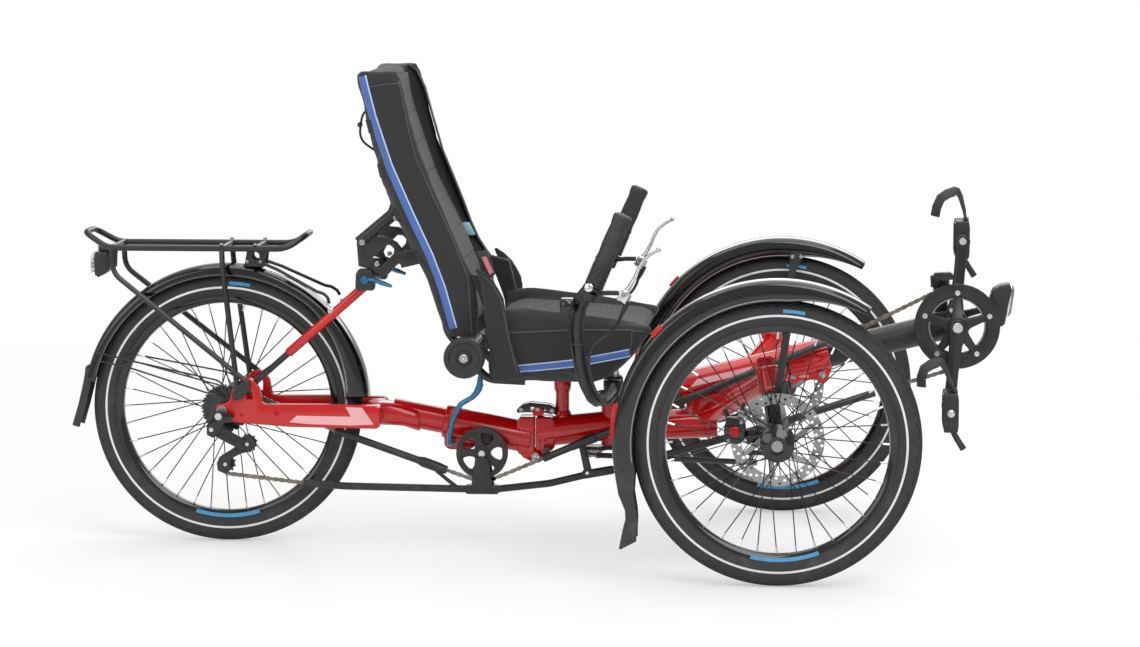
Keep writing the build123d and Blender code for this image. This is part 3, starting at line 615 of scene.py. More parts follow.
class Graph:
    """Nodes of a material or a group, added and wired in one line each."""

    def __init__(self, tree: bpy.types.NodeTree) -> None:
        """Takes the node tree to build in."""
        self.tree = tree

    def add(self, kind: str, inputs: dict[str, object] | None = None, **settings: object) -> bpy.types.Node:
        """Adds a node, sets its properties, and sets or wires its inputs.

        Args:
            kind: The node's type.
            inputs: Values or sockets by input.
            settings: Settings by name.

        Returns:
            The node.
        """
        node = self.tree.nodes.new(kind)
        for name, value in settings.items():
            setattr(node, name, value)
        for name, value in (inputs or {}).items():
            socket = node.inputs[int(name)] if name.isdigit() else node.inputs[name]
            if isinstance(value, bpy.types.NodeSocket):
                self.tree.links.new(value, socket)
            else:
                socket.default_value = value
        return node

    def sums(self, operation: str, first: object, second: object = 0.0) -> bpy.types.NodeSocket:
        """Result of a Math node."""
        return self.add("ShaderNodeMath", {"0": first, "1": second}, operation=operation,
                        use_clamp=False).outputs[0]

    def spread(self, value: object, low: float, high: float, to_low: float = 0.0,
               to_high: float = 1.0) -> bpy.types.NodeSocket:
        """Result of a Map Range node."""
        inputs = {"Value": value, "From Min": low, "From Max": high, "To Min": to_low, "To Max": to_high}
        return self.add("ShaderNodeMapRange", inputs).outputs["Result"]

    def blend(self, factor: object, first: object, second: object) -> bpy.types.NodeSocket:
        """Mix of two colours."""
        node = self.add("ShaderNodeMix", {"0": factor, "6": first, "7": second}, data_type="RGBA")
        return node.outputs[2]


class Effects:
    """Shader groups that several finishes share."""

    made: dict[str, bpy.types.NodeTree] = {}

    @classmethod
    def group(cls, name: str, inputs: dict[str, float], outputs: Sequence[str],
              build: Callable[[Graph, dict[str, bpy.types.NodeSocket]], Sequence[bpy.types.NodeSocket]],
              ) -> bpy.types.NodeTree:
        """Makes a group once.

        Args:
            name: The group's name.
            inputs: Float inputs and their defaults, after the coordinates.
            outputs: Names of the float outputs.
            build: Wires the inside and returns the output sockets.

        Returns:
            The group's node tree.
        """
        if name in cls.made:
            return cls.made[name]
        tree = bpy.data.node_groups.new(name, "ShaderNodeTree")
        tree.interface.new_socket("Coordinates", in_out="INPUT", socket_type="NodeSocketVector")
        for key, value in inputs.items():
            tree.interface.new_socket(key, in_out="INPUT",
                                      socket_type="NodeSocketFloat").default_value = value
        for key in outputs:
            tree.interface.new_socket(key, in_out="OUTPUT", socket_type="NodeSocketFloat")
        graph = Graph(tree)
        entry = graph.add("NodeGroupInput")
        leave = graph.add("NodeGroupOutput")
        sockets = build(graph, {socket.name: socket for socket in entry.outputs})
        for key, socket in zip(outputs, sockets):
            tree.links.new(socket, leave.inputs[key])
        cls.made[name] = tree
        return tree

    @classmethod
    def clouds(cls) -> bpy.types.NodeTree:
        """Slow variation over a surface, 0 to 1.

        Returns:
            The node group.
        """
        def build(g: Graph, s: dict[str, bpy.types.NodeSocket]) -> Sequence[bpy.types.NodeSocket]:
            """Two noises of different size."""
            wide = g.add("ShaderNodeTexNoise", {"Vector": s["Coordinates"], "Scale": s["Scale"],
                                                "Detail": 4.0})
            fine_scale = g.sums("MULTIPLY", s["Scale"], 6.3)
            fine = g.add("ShaderNodeTexNoise", {"Vector": s["Coordinates"], "Scale": fine_scale,
                                                "Detail": 2.0})
            mixed = g.sums("ADD", g.sums("MULTIPLY", wide.outputs["Fac"], 0.7),
                           g.sums("MULTIPLY", fine.outputs["Fac"], 0.3))
            return [g.spread(mixed, 0.36, 0.64)]
        return cls.group("Cloudiness", {"Scale": 9.0}, ["Mask"], build)

    @classmethod
    def grain(cls) -> bpy.types.NodeTree:
        """Fine surface relief.

        Returns:
            The node group.
        """
        def build(g: Graph, s: dict[str, bpy.types.NodeSocket]) -> Sequence[bpy.types.NodeSocket]:
            """Cells and noise in one height."""
            cells = g.add("ShaderNodeTexVoronoi", {"Vector": s["Coordinates"], "Scale": s["Scale"]})
            noise = g.add("ShaderNodeTexNoise", {"Vector": s["Coordinates"], "Scale": s["Scale"],
                                                 "Detail": 3.0})
            height = g.sums("ADD", g.sums("MULTIPLY", cells.outputs["Distance"], s["Cells"]),
                            noise.outputs["Fac"])
            return [height]
        return cls.group("Fine grain", {"Scale": 400.0, "Cells": 0.5}, ["Height"], build)

    @classmethod
    def dust(cls) -> bpy.types.NodeTree:
        """Road dust, more of it low down on the machine.

        Returns:
            The node group.
        """
        def build(g: Graph, s: dict[str, bpy.types.NodeSocket]) -> Sequence[bpy.types.NodeSocket]:
            """Noise held back by height."""
            noise = g.add("ShaderNodeTexNoise", {"Vector": s["Coordinates"], "Scale": 38.0, "Detail": 6.0})
            specks = g.spread(noise.outputs["Fac"], 0.52, 0.78)
            height = g.add("ShaderNodeSeparateXYZ", {"Vector": s["Coordinates"]}).outputs["Z"]
            low = g.spread(height, 0.45, 0.0, 0.25, 1.0)
            mask = g.sums("MULTIPLY", g.sums("MULTIPLY", specks, low), s["Amount"])
            return [mask]
        return cls.group("Road dust", {"Amount": 0.3}, ["Mask"], build)

    @classmethod
    def weave(cls) -> bpy.types.NodeTree:
        """Over and under of two sets of threads.

        Returns:
            The node group.
        """
        def build(g: Graph, s: dict[str, bpy.types.NodeSocket]) -> Sequence[bpy.types.NodeSocket]:
            """Crossed sine threads on all three axes, so any face shows them."""
            parts = g.add("ShaderNodeSeparateXYZ", {"Vector": s["Coordinates"]})
            waves = []
            for axis in ("X", "Y", "Z"):
                turned = g.sums("MULTIPLY", parts.outputs[axis], g.sums("MULTIPLY", s["Scale"], 6.2832))
                waves.append(g.sums("SINE", turned))
            cross = g.sums("MULTIPLY", g.sums("ADD", waves[0], waves[1]), waves[2])
            rough = g.add("ShaderNodeTexNoise", {"Vector": s["Coordinates"], "Scale": 900.0}).outputs["Fac"]
            height = g.spread(g.sums("ADD", cross, g.sums("MULTIPLY", rough, 0.6)), -1.6, 2.2)
            return [height, g.spread(height, 0.3, 0.7)]
        return cls.group("Woven threads", {"Scale": 420.0}, ["Height", "Mask"], build)


@dataclass(frozen=True)
class Finish:
    """Opaque finish: two close colours, a roughness range, a fine relief and some dust."""

    name: str
    colour: Point
    shade: Point
    rough: Flat = (0.3, 0.45)
    grain: float = 500.0
    relief: float = 0.05
    metal: float = 0.0
    coat: float = 0.0
    dust: float = 0.15
    clouds: float = 9.0
    sheen: float = 0.0

    def relief_height(self, graph: Graph, place: bpy.types.NodeSocket) -> bpy.types.NodeSocket:
        """Height that the finish's bump reads.

        Args:
            graph: The material's graph.
            place: Socket of the place on the surface.

        Returns:
            Socket of the height.
        """
        group = graph.add("ShaderNodeGroup", node_tree=Effects.grain())
        graph.tree.links.new(place, group.inputs["Coordinates"])
        group.inputs["Scale"].default_value = self.grain
        return group.outputs["Height"]

    def base_colour(self, graph: Graph, place: bpy.types.NodeSocket,
                    clouds: bpy.types.NodeSocket) -> bpy.types.NodeSocket:
        """Colour over the surface, before dust."""
        return graph.blend(clouds, (*self.colour, 1.0), (*self.shade, 1.0))

    def material(self) -> bpy.types.Material:
        """The finish as a material, made once.

        Returns:
            The material.
        """
        known = bpy.data.materials.get(self.name)
        if known:
            return known
        material = bpy.data.materials.new(self.name)
        material.use_nodes = True
        graph = Graph(material.node_tree)
        shader = material.node_tree.nodes["Principled BSDF"]
        links = material.node_tree.links
        place = graph.add("ShaderNodeTexCoord").outputs["Object"]
        clouds = graph.add("ShaderNodeGroup", node_tree=Effects.clouds())
        links.new(place, clouds.inputs["Coordinates"])
        clouds.inputs["Scale"].default_value = self.clouds
        dust = graph.add("ShaderNodeGroup", node_tree=Effects.dust())
        links.new(place, dust.inputs["Coordinates"])
        dust.inputs["Amount"].default_value = self.dust
        colour = self.base_colour(graph, place, clouds.outputs["Mask"])
        dusty = graph.blend(dust.outputs["Mask"], colour, (0.30, 0.28, 0.25, 1.0))
        links.new(dusty, shader.inputs["Base Color"])
        rough = graph.spread(clouds.outputs["Mask"], 0.0, 1.0, *self.rough)
        links.new(graph.sums("ADD", rough, graph.sums("MULTIPLY", dust.outputs["Mask"], 0.3)),
                  shader.inputs["Roughness"])
        bump = graph.add("ShaderNodeBump", {"Strength": min(1.0, self.relief * 4), "Distance": 0.0006,
                                            "Height": self.relief_height(graph, place)})
        links.new(bump.outputs["Normal"], shader.inputs["Normal"])
        shader.inputs["Metallic"].default_value = self.metal
        shader.inputs["Coat Weight"].default_value = self.coat
        shader.inputs["Coat Roughness"].default_value = 0.06
        shader.inputs["Sheen Weight"].default_value = self.sheen
        shader.inputs["Sheen Roughness"].default_value = 0.5
        self.extra(shader)
        material.diffuse_color = (*self.colour, 1.0)
        return material

    def extra(self, shader: bpy.types.Node) -> None:
        """Room for a finish's own constants on the shader."""


@dataclass(frozen=True)
class Cloth(Finish):
    """Woven fabric."""

    threads: float = 420.0

    def relief_height(self, graph: Graph, place: bpy.types.NodeSocket) -> bpy.types.NodeSocket:
        """Threads over and under each other.

        Args:
            graph: The material's graph.
            place: Socket of the place on the surface.

        Returns:
            Socket of the height.
        """
        group = graph.add("ShaderNodeGroup", node_tree=Effects.weave())
        graph.tree.links.new(place, group.inputs["Coordinates"])
        group.inputs["Scale"].default_value = self.threads
        return group.outputs["Height"]

    def base_colour(self, graph: Graph, place: bpy.types.NodeSocket,
                    clouds: bpy.types.NodeSocket) -> bpy.types.NodeSocket:
        """Threads of two shades, with slow fading.

        Args:
            graph: The material's graph.
            place: Socket of the place on the surface.
            clouds: Socket of the slow variation.

        Returns:
            Socket of the colour.
        """
        group = graph.add("ShaderNodeGroup", node_tree=Effects.weave())
        graph.tree.links.new(place, group.inputs["Coordinates"])
        group.inputs["Scale"].default_value = self.threads
        worn = graph.blend(clouds, (*self.colour, 1.0), (*self.shade, 1.0))
        lighter = tuple(min(1.0, 1.7 * c + 0.004) for c in self.colour)
        return graph.blend(graph.sums("MULTIPLY", group.outputs["Mask"], 0.45), worn, (*lighter, 1.0))


@dataclass(frozen=True)
class Lens(Finish):
    """Clear or tinted moulded lens."""

    def extra(self, shader: bpy.types.Node) -> None:
        """Lets light through the lens."""
        shader.inputs["Transmission Weight"].default_value = 0.85
        shader.inputs["IOR"].default_value = 1.49


@dataclass(frozen=True)
class Lit(Finish):
    """Reflective film that shows pale from every side."""

    def extra(self, shader: bpy.types.Node) -> None:
        """Raises the surface's own shine."""
        shader.inputs["Specular IOR Level"].default_value = 0.7


class Palette:
    """The machine's finishes."""

    RED = Finish("red lacquer", (0.60, 0.0015, 0.003), (0.50, 0.001, 0.002), (0.15, 0.22), 260, 0.02, 0.0,
                 0.35, 0.03)
    RED_DEEP = Finish("red anodised", (0.55, 0.010, 0.018), (0.42, 0.006, 0.012), (0.28, 0.36), 500, 0.03,
                      0.5)
    # Pale pink: the printed stripe on the rear stays, and also the highlights painted on the boom sleeve and
    # clamp ears.
    PINK = Finish("pale pink film", (0.80, 0.36, 0.37), (0.86, 0.46, 0.47), (0.25, 0.34), 500, 0.02, 0.0, 0.6,
                  0.04)
    BLACK = Finish("black satin paint", (0.010, 0.010, 0.011), (0.016, 0.016, 0.017), (0.34, 0.46), 520, 0.05,
                   0.0, 0.1, 0.08)
    GLOSS = Finish("black gloss moulding", (0.0025, 0.0025, 0.003), (0.005, 0.005, 0.0055), (0.07, 0.13), 300,
                   0.02, 0.0, 0.3, 0.03)
    ANODISED = Finish("black anodised alloy", (0.030, 0.030, 0.033), (0.044, 0.044, 0.048), (0.30, 0.42), 700,
                      0.04, 0.55, 0.0, 0.10)
    PLASTIC = Finish("black moulded plastic", (0.016, 0.016, 0.017), (0.024, 0.024, 0.026), (0.44, 0.58), 420,
                     0.12)
    TUBING = Finish("black chain tubing", (0.014, 0.014, 0.015), (0.022, 0.022, 0.022), (0.30, 0.44), 300,
                    0.05)
    TYRE = Finish("road tyre rubber", (0.021, 0.021, 0.022), (0.031, 0.030, 0.030), (0.62, 0.78), 650, 0.18,
                  0.0, 0.0, 0.14)
    FLAP = Finish("mud flap rubber", (0.026, 0.026, 0.026), (0.040, 0.038, 0.036), (0.60, 0.74), 500, 0.12)
    GRIP = Finish("grip rubber", (0.028, 0.028, 0.029), (0.040, 0.040, 0.042), (0.55, 0.70), 700, 0.06)
    SILVER = Finish("polished alloy", (0.72, 0.72, 0.74), (0.60, 0.60, 0.62), (0.20, 0.34), 800, 0.04, 1.0,
                    0.0, 0.05)
    STEEL = Finish("brushed steel", (0.40, 0.40, 0.41), (0.30, 0.30, 0.31), (0.28, 0.44), 900, 0.08, 1.0, 0.0,
                   0.10)
    SPOKE = Finish("spoke steel", (0.085, 0.085, 0.090), (0.060, 0.060, 0.064), (0.22, 0.34), 900, 0.02, 1.0,
                   0.0, 0.05)
    CHAIN = Finish("oiled chain steel", (0.30, 0.28, 0.26), (0.14, 0.12, 0.10), (0.30, 0.55), 600, 0.10, 0.9,
                   0.0, 0.20, 60.0)
    BLUE = Finish("blue anodised alloy", (0.035, 0.20, 0.36), (0.025, 0.14, 0.27), (0.22, 0.34), 700, 0.04,
                  0.6, 0.3)
    BLUE_FILM = Finish("blue film", (0.055, 0.27, 0.52), (0.08, 0.33, 0.58), (0.24, 0.36), 500, 0.02, 0.0,
                       0.4, 0.05)
    WHITE_FILM = Lit("white reflective film", (0.82, 0.83, 0.84), (0.70, 0.71, 0.72), (0.25, 0.40), 900, 0.05)
    # Grey of the highlight line painted near the lower edges of the mudguards' side walls.
    EDGING = Finish("grey edging", (0.22, 0.22, 0.23), (0.30, 0.30, 0.31), (0.25, 0.36), 600, 0.03)
    FABRIC = Cloth("charcoal seat fabric", (0.014, 0.014, 0.015), (0.021, 0.021, 0.022), (0.80, 0.92), 420,
                   0.22, dust=0.04, sheen=0.18, clouds=5.0)
    MESH = Cloth("open black mesh", (0.010, 0.010, 0.011), (0.016, 0.016, 0.017), (0.80, 0.90), 420, 0.25,
                 dust=0.03, sheen=0.15, threads=240.0)
    SEAM = Cloth("grey seam tape", (0.050, 0.050, 0.053), (0.070, 0.070, 0.074), (0.70, 0.82), 420, 0.15,
                 dust=0.03)
    PIPING = Cloth("blue piping tape", (0.055, 0.13, 0.40), (0.045, 0.11, 0.34), (0.55, 0.68), 420, 0.12,
                   dust=0.02, sheen=0.2, threads=600.0)
    PIPING_EDGE = Cloth("pale blue piping edge", (0.40, 0.50, 0.80), (0.50, 0.58, 0.84), (0.5, 0.62), 420,
                        0.1, dust=0.02)
    WEBBING = Cloth("black webbing", (0.020, 0.020, 0.021), (0.028, 0.028, 0.030), (0.66, 0.78), 420, 0.25,
                    dust=0.03, threads=300.0)
    BUCKLE = Finish("pink buckle", (0.60, 0.16, 0.18), (0.50, 0.12, 0.14), (0.34, 0.46), 420, 0.05, dust=0.03)
    CLIP = Finish("pale blue clip", (0.42, 0.66, 0.78), (0.34, 0.56, 0.70), (0.30, 0.42), 420, 0.05,
                  dust=0.03)
    CABLE = Finish("cable housing", (0.018, 0.018, 0.019), (0.026, 0.026, 0.027), (0.36, 0.50), 400, 0.05)
    LAMP_GLASS = Lens("clear lamp lens", (0.92, 0.93, 0.95), (0.88, 0.89, 0.92), (0.02, 0.06), 300, 0.02,
                      dust=0.03)
    RED_GLASS = Lens("red lamp lens", (0.62, 0.02, 0.02), (0.52, 0.015, 0.015), (0.05, 0.10), 300, 0.04,
                     dust=0.03)


def dress(piece: Piece, finish: Finish, body: str, replaces: Sequence[str] = (),
          smooth: float = 35.0) -> Piece:
    """Gives a finished piece its smooth shading, its material and its body, and hides the CAD parts that it
    replaces.

    Args:
        piece: The piece.
        finish: Its finish.
        body: The CAD body that it rides on.
        replaces: CAD nodes that it stands for.
        smooth: Largest angle in degrees between faces that shade as one.

    Returns:
        The piece.
    """
    Bench.pick(piece)
    bpy.ops.object.shade_smooth_by_angle(angle=math.radians(smooth))
    piece.data.materials.clear()
    piece.data.materials.append(finish.material())
    if body:
        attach(piece, body)
    if replaces:
        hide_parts(*replaces)
    Bench.clear()
    return piece


@dataclass
class WheelPart:
    """Sub-assembly at a wheel, built on the right in front and mirrored for the left."""

    side: Side | None

    @property
    def rear(self) -> bool:
        """Whether this is at the driven wheel."""
        return self.side is None

    @property
    def word(self) -> str:
        """The side's name as the bodies spell it."""
        return "rear" if self.rear else self.side.word

    @property
    def body(self) -> str:
        """The body that the part rides on."""
        return "frame_rear" if self.rear else f"knuckle_{self.word}"

    @property
    def centre(self) -> Point:
        """The wheel's centre, on the right for a front wheel."""
        return (-WHEELBASE, 0.0, AXLE_Z) if self.rear else (0.0, -TRACK_HALF, AXLE_Z)

    def handed(self, *pieces: Piece) -> None:
        """Mirrors pieces where the part is on the left.

        Args:
            pieces: Pieces built for the right side.
        """
        if self.side is Side.LEFT:
            for piece in pieces:
                piece.data.transform(MIRROR)
                piece.data.flip_normals()

    def place(self, piece: Piece, finish: Finish, slot: str, replaces: Sequence[str] = (),
              smooth: float = 35.0) -> Piece:
        """Mirrors a piece for the left side and dresses it."""
        self.handed(piece)
        return dress(piece, finish, self.body, replaces, smooth)


@dataclass
class Wheel(WheelPart):
    """Wheel: tyre, rim, spokes, hub and, in front, the brake disc."""

    spokes: int = 36
    cross: float = 38.0
    lacing_r: float = 26.0
    nipple_r: float = 190.5

    @property
    def body(self) -> str:
        """The body that the wheel turns with."""
        return f"wheel_{self.word}"

    def tyre(self) -> None:
        """Tyre with sunk tread cells, its pale ring and its blue marks."""
        half = [(245.0, 2.2), (244.4, 6.6), (242.6, 10.8), (239.6, 14.6), (235.4, 17.6), (228.0, 20.0),
                (219.0, 20.5), (211.0, 19.2), (206.0, 16.4), (203.4, 14.2), (201.0, 10.0)]
        tyre = Bench.lathe(f"tyre_{self.word}_tread", mirrored(half), self.centre, 150, closed=True)
        Bench.edit(tyre)
        bpy.ops.mesh.select_all(action="DESELECT")
        mesh = bmesh.from_edit_mesh(tyre.data)
        middle = at(*self.centre)
        for face in mesh.faces:
            spot = face.calc_center_median() - middle
            reach = math.hypot(spot.x, spot.z) * 1000
            turn = round((math.degrees(math.atan2(spot.z, spot.x)) % 360) / 2.4 - 0.5)
            band = round(abs(spot.y) * 1000 / 4.1)
            if reach > 236.5 and (turn + band) % 2 and face.normal.dot(
                    Vector((spot.x, 0, spot.z)).normalized()) > 0.3:
                face.select = True
        bmesh.update_edit_mesh(tyre.data)
        bpy.ops.mesh.inset(thickness=0.0009, depth=-0.0013, use_individual=True)
        Bench.done()
        self.place(tyre, Palette.TYRE, "tyre", [f"tyre_{self.word}"], 30.0)
        rings = []
        for side in (-1, 1):
            ring = [(217.6, side * 20.2), (217.8, side * 20.75), (220.4, side * 20.85), (221.8, side * 20.2)]
            rings.append(Bench.lathe("stripe", ring, self.centre, 120, closed=True))
        self.place(Bench.joined(f"tyre_{self.word}_stripe", rings), Palette.WHITE_FILM, "tyre")
        marks = []
        for side in (-1, 1):
            band = [(225.0, side * 19.6), (225.2, side * 20.55), (230.8, side * 19.9), (231.0, side * 18.9)]
            marks.append(Bench.lathe("mark", band, self.centre, 8, True, start=78.5, arc=9.5))
        self.place(Bench.joined(f"tyre_{self.word}_marks", marks), Palette.BLUE_FILM, "tyre")

    def rim(self) -> None:
        """Box rim with rounded edges and its blue arc at the bottom."""
        half = [(204.6, 13.0), (203.0, 13.4), (198.5, 12.6), (194.0, 10.9), (191.2, 8.6), (189.8, 5.0),
                (189.4, 0.0)]
        profile = [(201.0, -10.0)] + [(r, -y) for r, y in half] + half[-2::-1] + [(201.0, 10.0)]
        rim = Bench.lathe(f"rim_{self.word}", profile, self.centre, 120, closed=True)
        self.place(rim, Palette.GLOSS, "wheel_dark", smooth=25.0)
        patches = []
        turn = -107.0 if self.rear else -103.0
        for side in (-1, 1):
            band = [(202.4, side * 13.2), (202.0, side * 13.75), (195.6, side * 11.95), (195.4, side * 11.2)]
            patches.append(Bench.lathe("patch", band, self.centre, 26, True, start=turn, arc=34.0))
        self.place(Bench.joined(f"rim_{self.word}_patch", patches), Palette.BLUE_FILM, "wheel_dark")

    def laced(self) -> None:
        """Crossed spokes and their nipples."""
        flanges = (-22.0, 30.5) if self.rear else (-28.0, 28.0)
        cx, cy, cz = self.centre
        spokes, nipples = [], []
        for index in range(4):
            side, trailing = index % 2, 1 if index < 2 else -1
            rim_turn = math.radians(360.0 / self.spokes * index)
            hub_turn = rim_turn + trailing * math.radians(self.cross)
            hub = Vector((cx + self.lacing_r * math.cos(hub_turn), cy + flanges[side] + 1.5 * trailing,
                          cz + self.lacing_r * math.sin(hub_turn)))
            end = Vector((cx + self.nipple_r * math.cos(rim_turn), cy + 0.08 * flanges[side],
                          cz + self.nipple_r * math.sin(rim_turn)))
            collar = end + (hub - end).normalized() * 13.0
            spoke = Bench.tube("spoke", [hub, end], 1.0, 0, 4)
            nipple = Bench.tube("nipple", [collar, end], 1.9, 0, 8)
            for k in range(self.spokes // 4):
                turn = about("Y", -40.0 * k, self.centre)
                spokes.append(Bench.copy(spoke, f"spoke.{index}.{k}", turn))
                nipples.append(Bench.copy(nipple, f"nipple.{index}.{k}", turn))
            bpy.data.objects.remove(spoke)
            bpy.data.objects.remove(nipple)
        self.place(Bench.joined(f"spokes_{self.word}", spokes), Palette.SPOKE, "steel")
        self.place(Bench.joined(f"nipples_{self.word}", nipples), Palette.SILVER, "steel")

    def front_hub(self) -> None:
        """Front hub shell with its disc and disc bolts."""
        shell = [(10.4, -36.0), (16.0, -36.4), (20.0, -34.6), (22.0, -33.0), (29.0, -30.2), (29.4, -28.0),
                 (28.6, -26.0), (21.0, -22.0), (18.4, -18.0), (17.6, 0.0), (18.4, 18.0), (21.0, 22.0),
                 (28.6, 26.0), (29.4, 28.0), (29.0, 34.0), (27.0, 37.6), (10.4, 38.0)]
        hub = Bench.lathe(f"hub_{self.word}", shell, self.centre, 48, closed=True)
        self.place(hub, Palette.GLOSS, "wheel_dark", smooth=28.0)
        cx, cy, cz = self.centre
        carrier = Bench.lathe("carrier", [(62.0, 36.1), (80.0, 36.1), (80.0, 37.9), (62.0, 37.9)],
                              self.centre, 96, True)
        hole = Bench.lathe("hole", [(0.0, 30.0), (2.7, 30.0), (2.7, 44.0), (0.0, 44.0)], (cx + 71.0, cy, cz),
                           10)
        wide = Bench.copy(hole, "hole.wide", shift(5.0, 0, 0) @ about("Y", 7.5, self.centre))
        low = Bench.copy(hole, "hole.low", shift(-5.0, 0, 0) @ about("Y", -7.5, self.centre))
        drilled = Bench.joined("holes", [hole, wide, low])
        Bench.cut(carrier, Bench.around(drilled, 18, self.centre))
        arms = []
        for index in range(6):
            near, far = math.radians(60.0 * index), math.radians(60.0 * index + 24.0)
            start = (cx + 27.0 * math.cos(near), cy + 37.0, cz + 27.0 * math.sin(near))
            end = (cx + 63.0 * math.cos(far), cy + 37.0, cz + 63.0 * math.sin(far))
            run = Vector(end) - Vector(start)
            wide = Vector((-run.z, 0.0, run.x)).normalized() * 8.0
            arms.append(Bench.strip("arm", [start, end], [wide * 1.4, wide * 0.9], 1.8))
        disc = Bench.joined(f"disc_{self.word}", [carrier, *arms])
        self.place(disc, Palette.STEEL, "steel", smooth=20.0)
        bolt = Bench.lathe("bolt", [(0.0, 37.5), (3.6, 37.5), (4.4, 38.6), (3.8, 39.8), (1.8, 39.8),
                                    (1.6, 38.4), (0.0, 38.4)], (cx + 22.0, cy, cz), 12)
        self.place(Bench.around(bolt, 6, self.centre, name=f"disc_bolts_{self.word}"), Palette.STEEL, "steel")

    def rear_hub(self) -> None:
        """Rear hub shell and the sprockets on it."""
        shell = [(6.6, -45.8), (14.0, -45.8), (15.6, -44.4), (15.6, -24.6), (28.6, -24.2), (29.2, -22.0),
                 (28.4, -19.5), (19.0, -15.0), (16.8, -10.0), (16.8, 18.0), (19.0, 24.0), (28.4, 28.0),
                 (29.2, 30.5), (28.6, 33.0), (17.0, 36.0), (14.5, 39.0), (13.0, 46.0), (6.6, 46.0)]
        hub = Bench.lathe("hub_rear", shell, self.centre, 48, closed=True)
        self.place(hub, Palette.ANODISED, "wheel_dark", smooth=28.0)
        sprockets = []
        for k, teeth in enumerate((12, 13, 15, 17, 18, 20, 21, 22)):
            low = self.centre[1] - 43.2 + 2.45 * k
            tip = min(44.0, teeth * 12.7 / (2 * math.pi) + 2.6)
            parts = ((0.0, tip - 4.4), (0.30, tip - 3.6), (0.43, tip), (0.57, tip), (0.70, tip - 3.6))
            outline = toothed(self.centre, teeth, parts)
            sprockets.append(Bench.plate("sprocket", outline, low, low + 1.7, 0))
        for k in range(7):
            low, high = -41.5 + 2.45 * k, -40.8 + 2.45 * k
            ring = [(16.1, low), (21.0, low), (21.0, high), (16.1, high)]
            sprockets.append(Bench.lathe("spacer", ring, self.centre, 24, closed=True))
        lock = [(7.0, -45.6), (12.5, -45.6), (14.6, -44.2), (14.6, -43.0), (7.0, -43.0)]
        sprockets.append(Bench.lathe("lockring", lock, self.centre, 24, closed=True))
        self.place(Bench.joined("sprockets", sprockets), Palette.SPOKE, "steel", ["cassette"], 25.0)

    def build(self) -> None:
        """Builds the whole wheel."""
        self.tyre()
        self.rim()
        self.laced()
        if self.rear:
            self.rear_hub()
        else:
            self.front_hub()
        piece = bpy.data.objects[f"hub_{self.word}"]
        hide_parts(f"wheel_{self.word}")
        LOG.info("wheel %s", self.word)


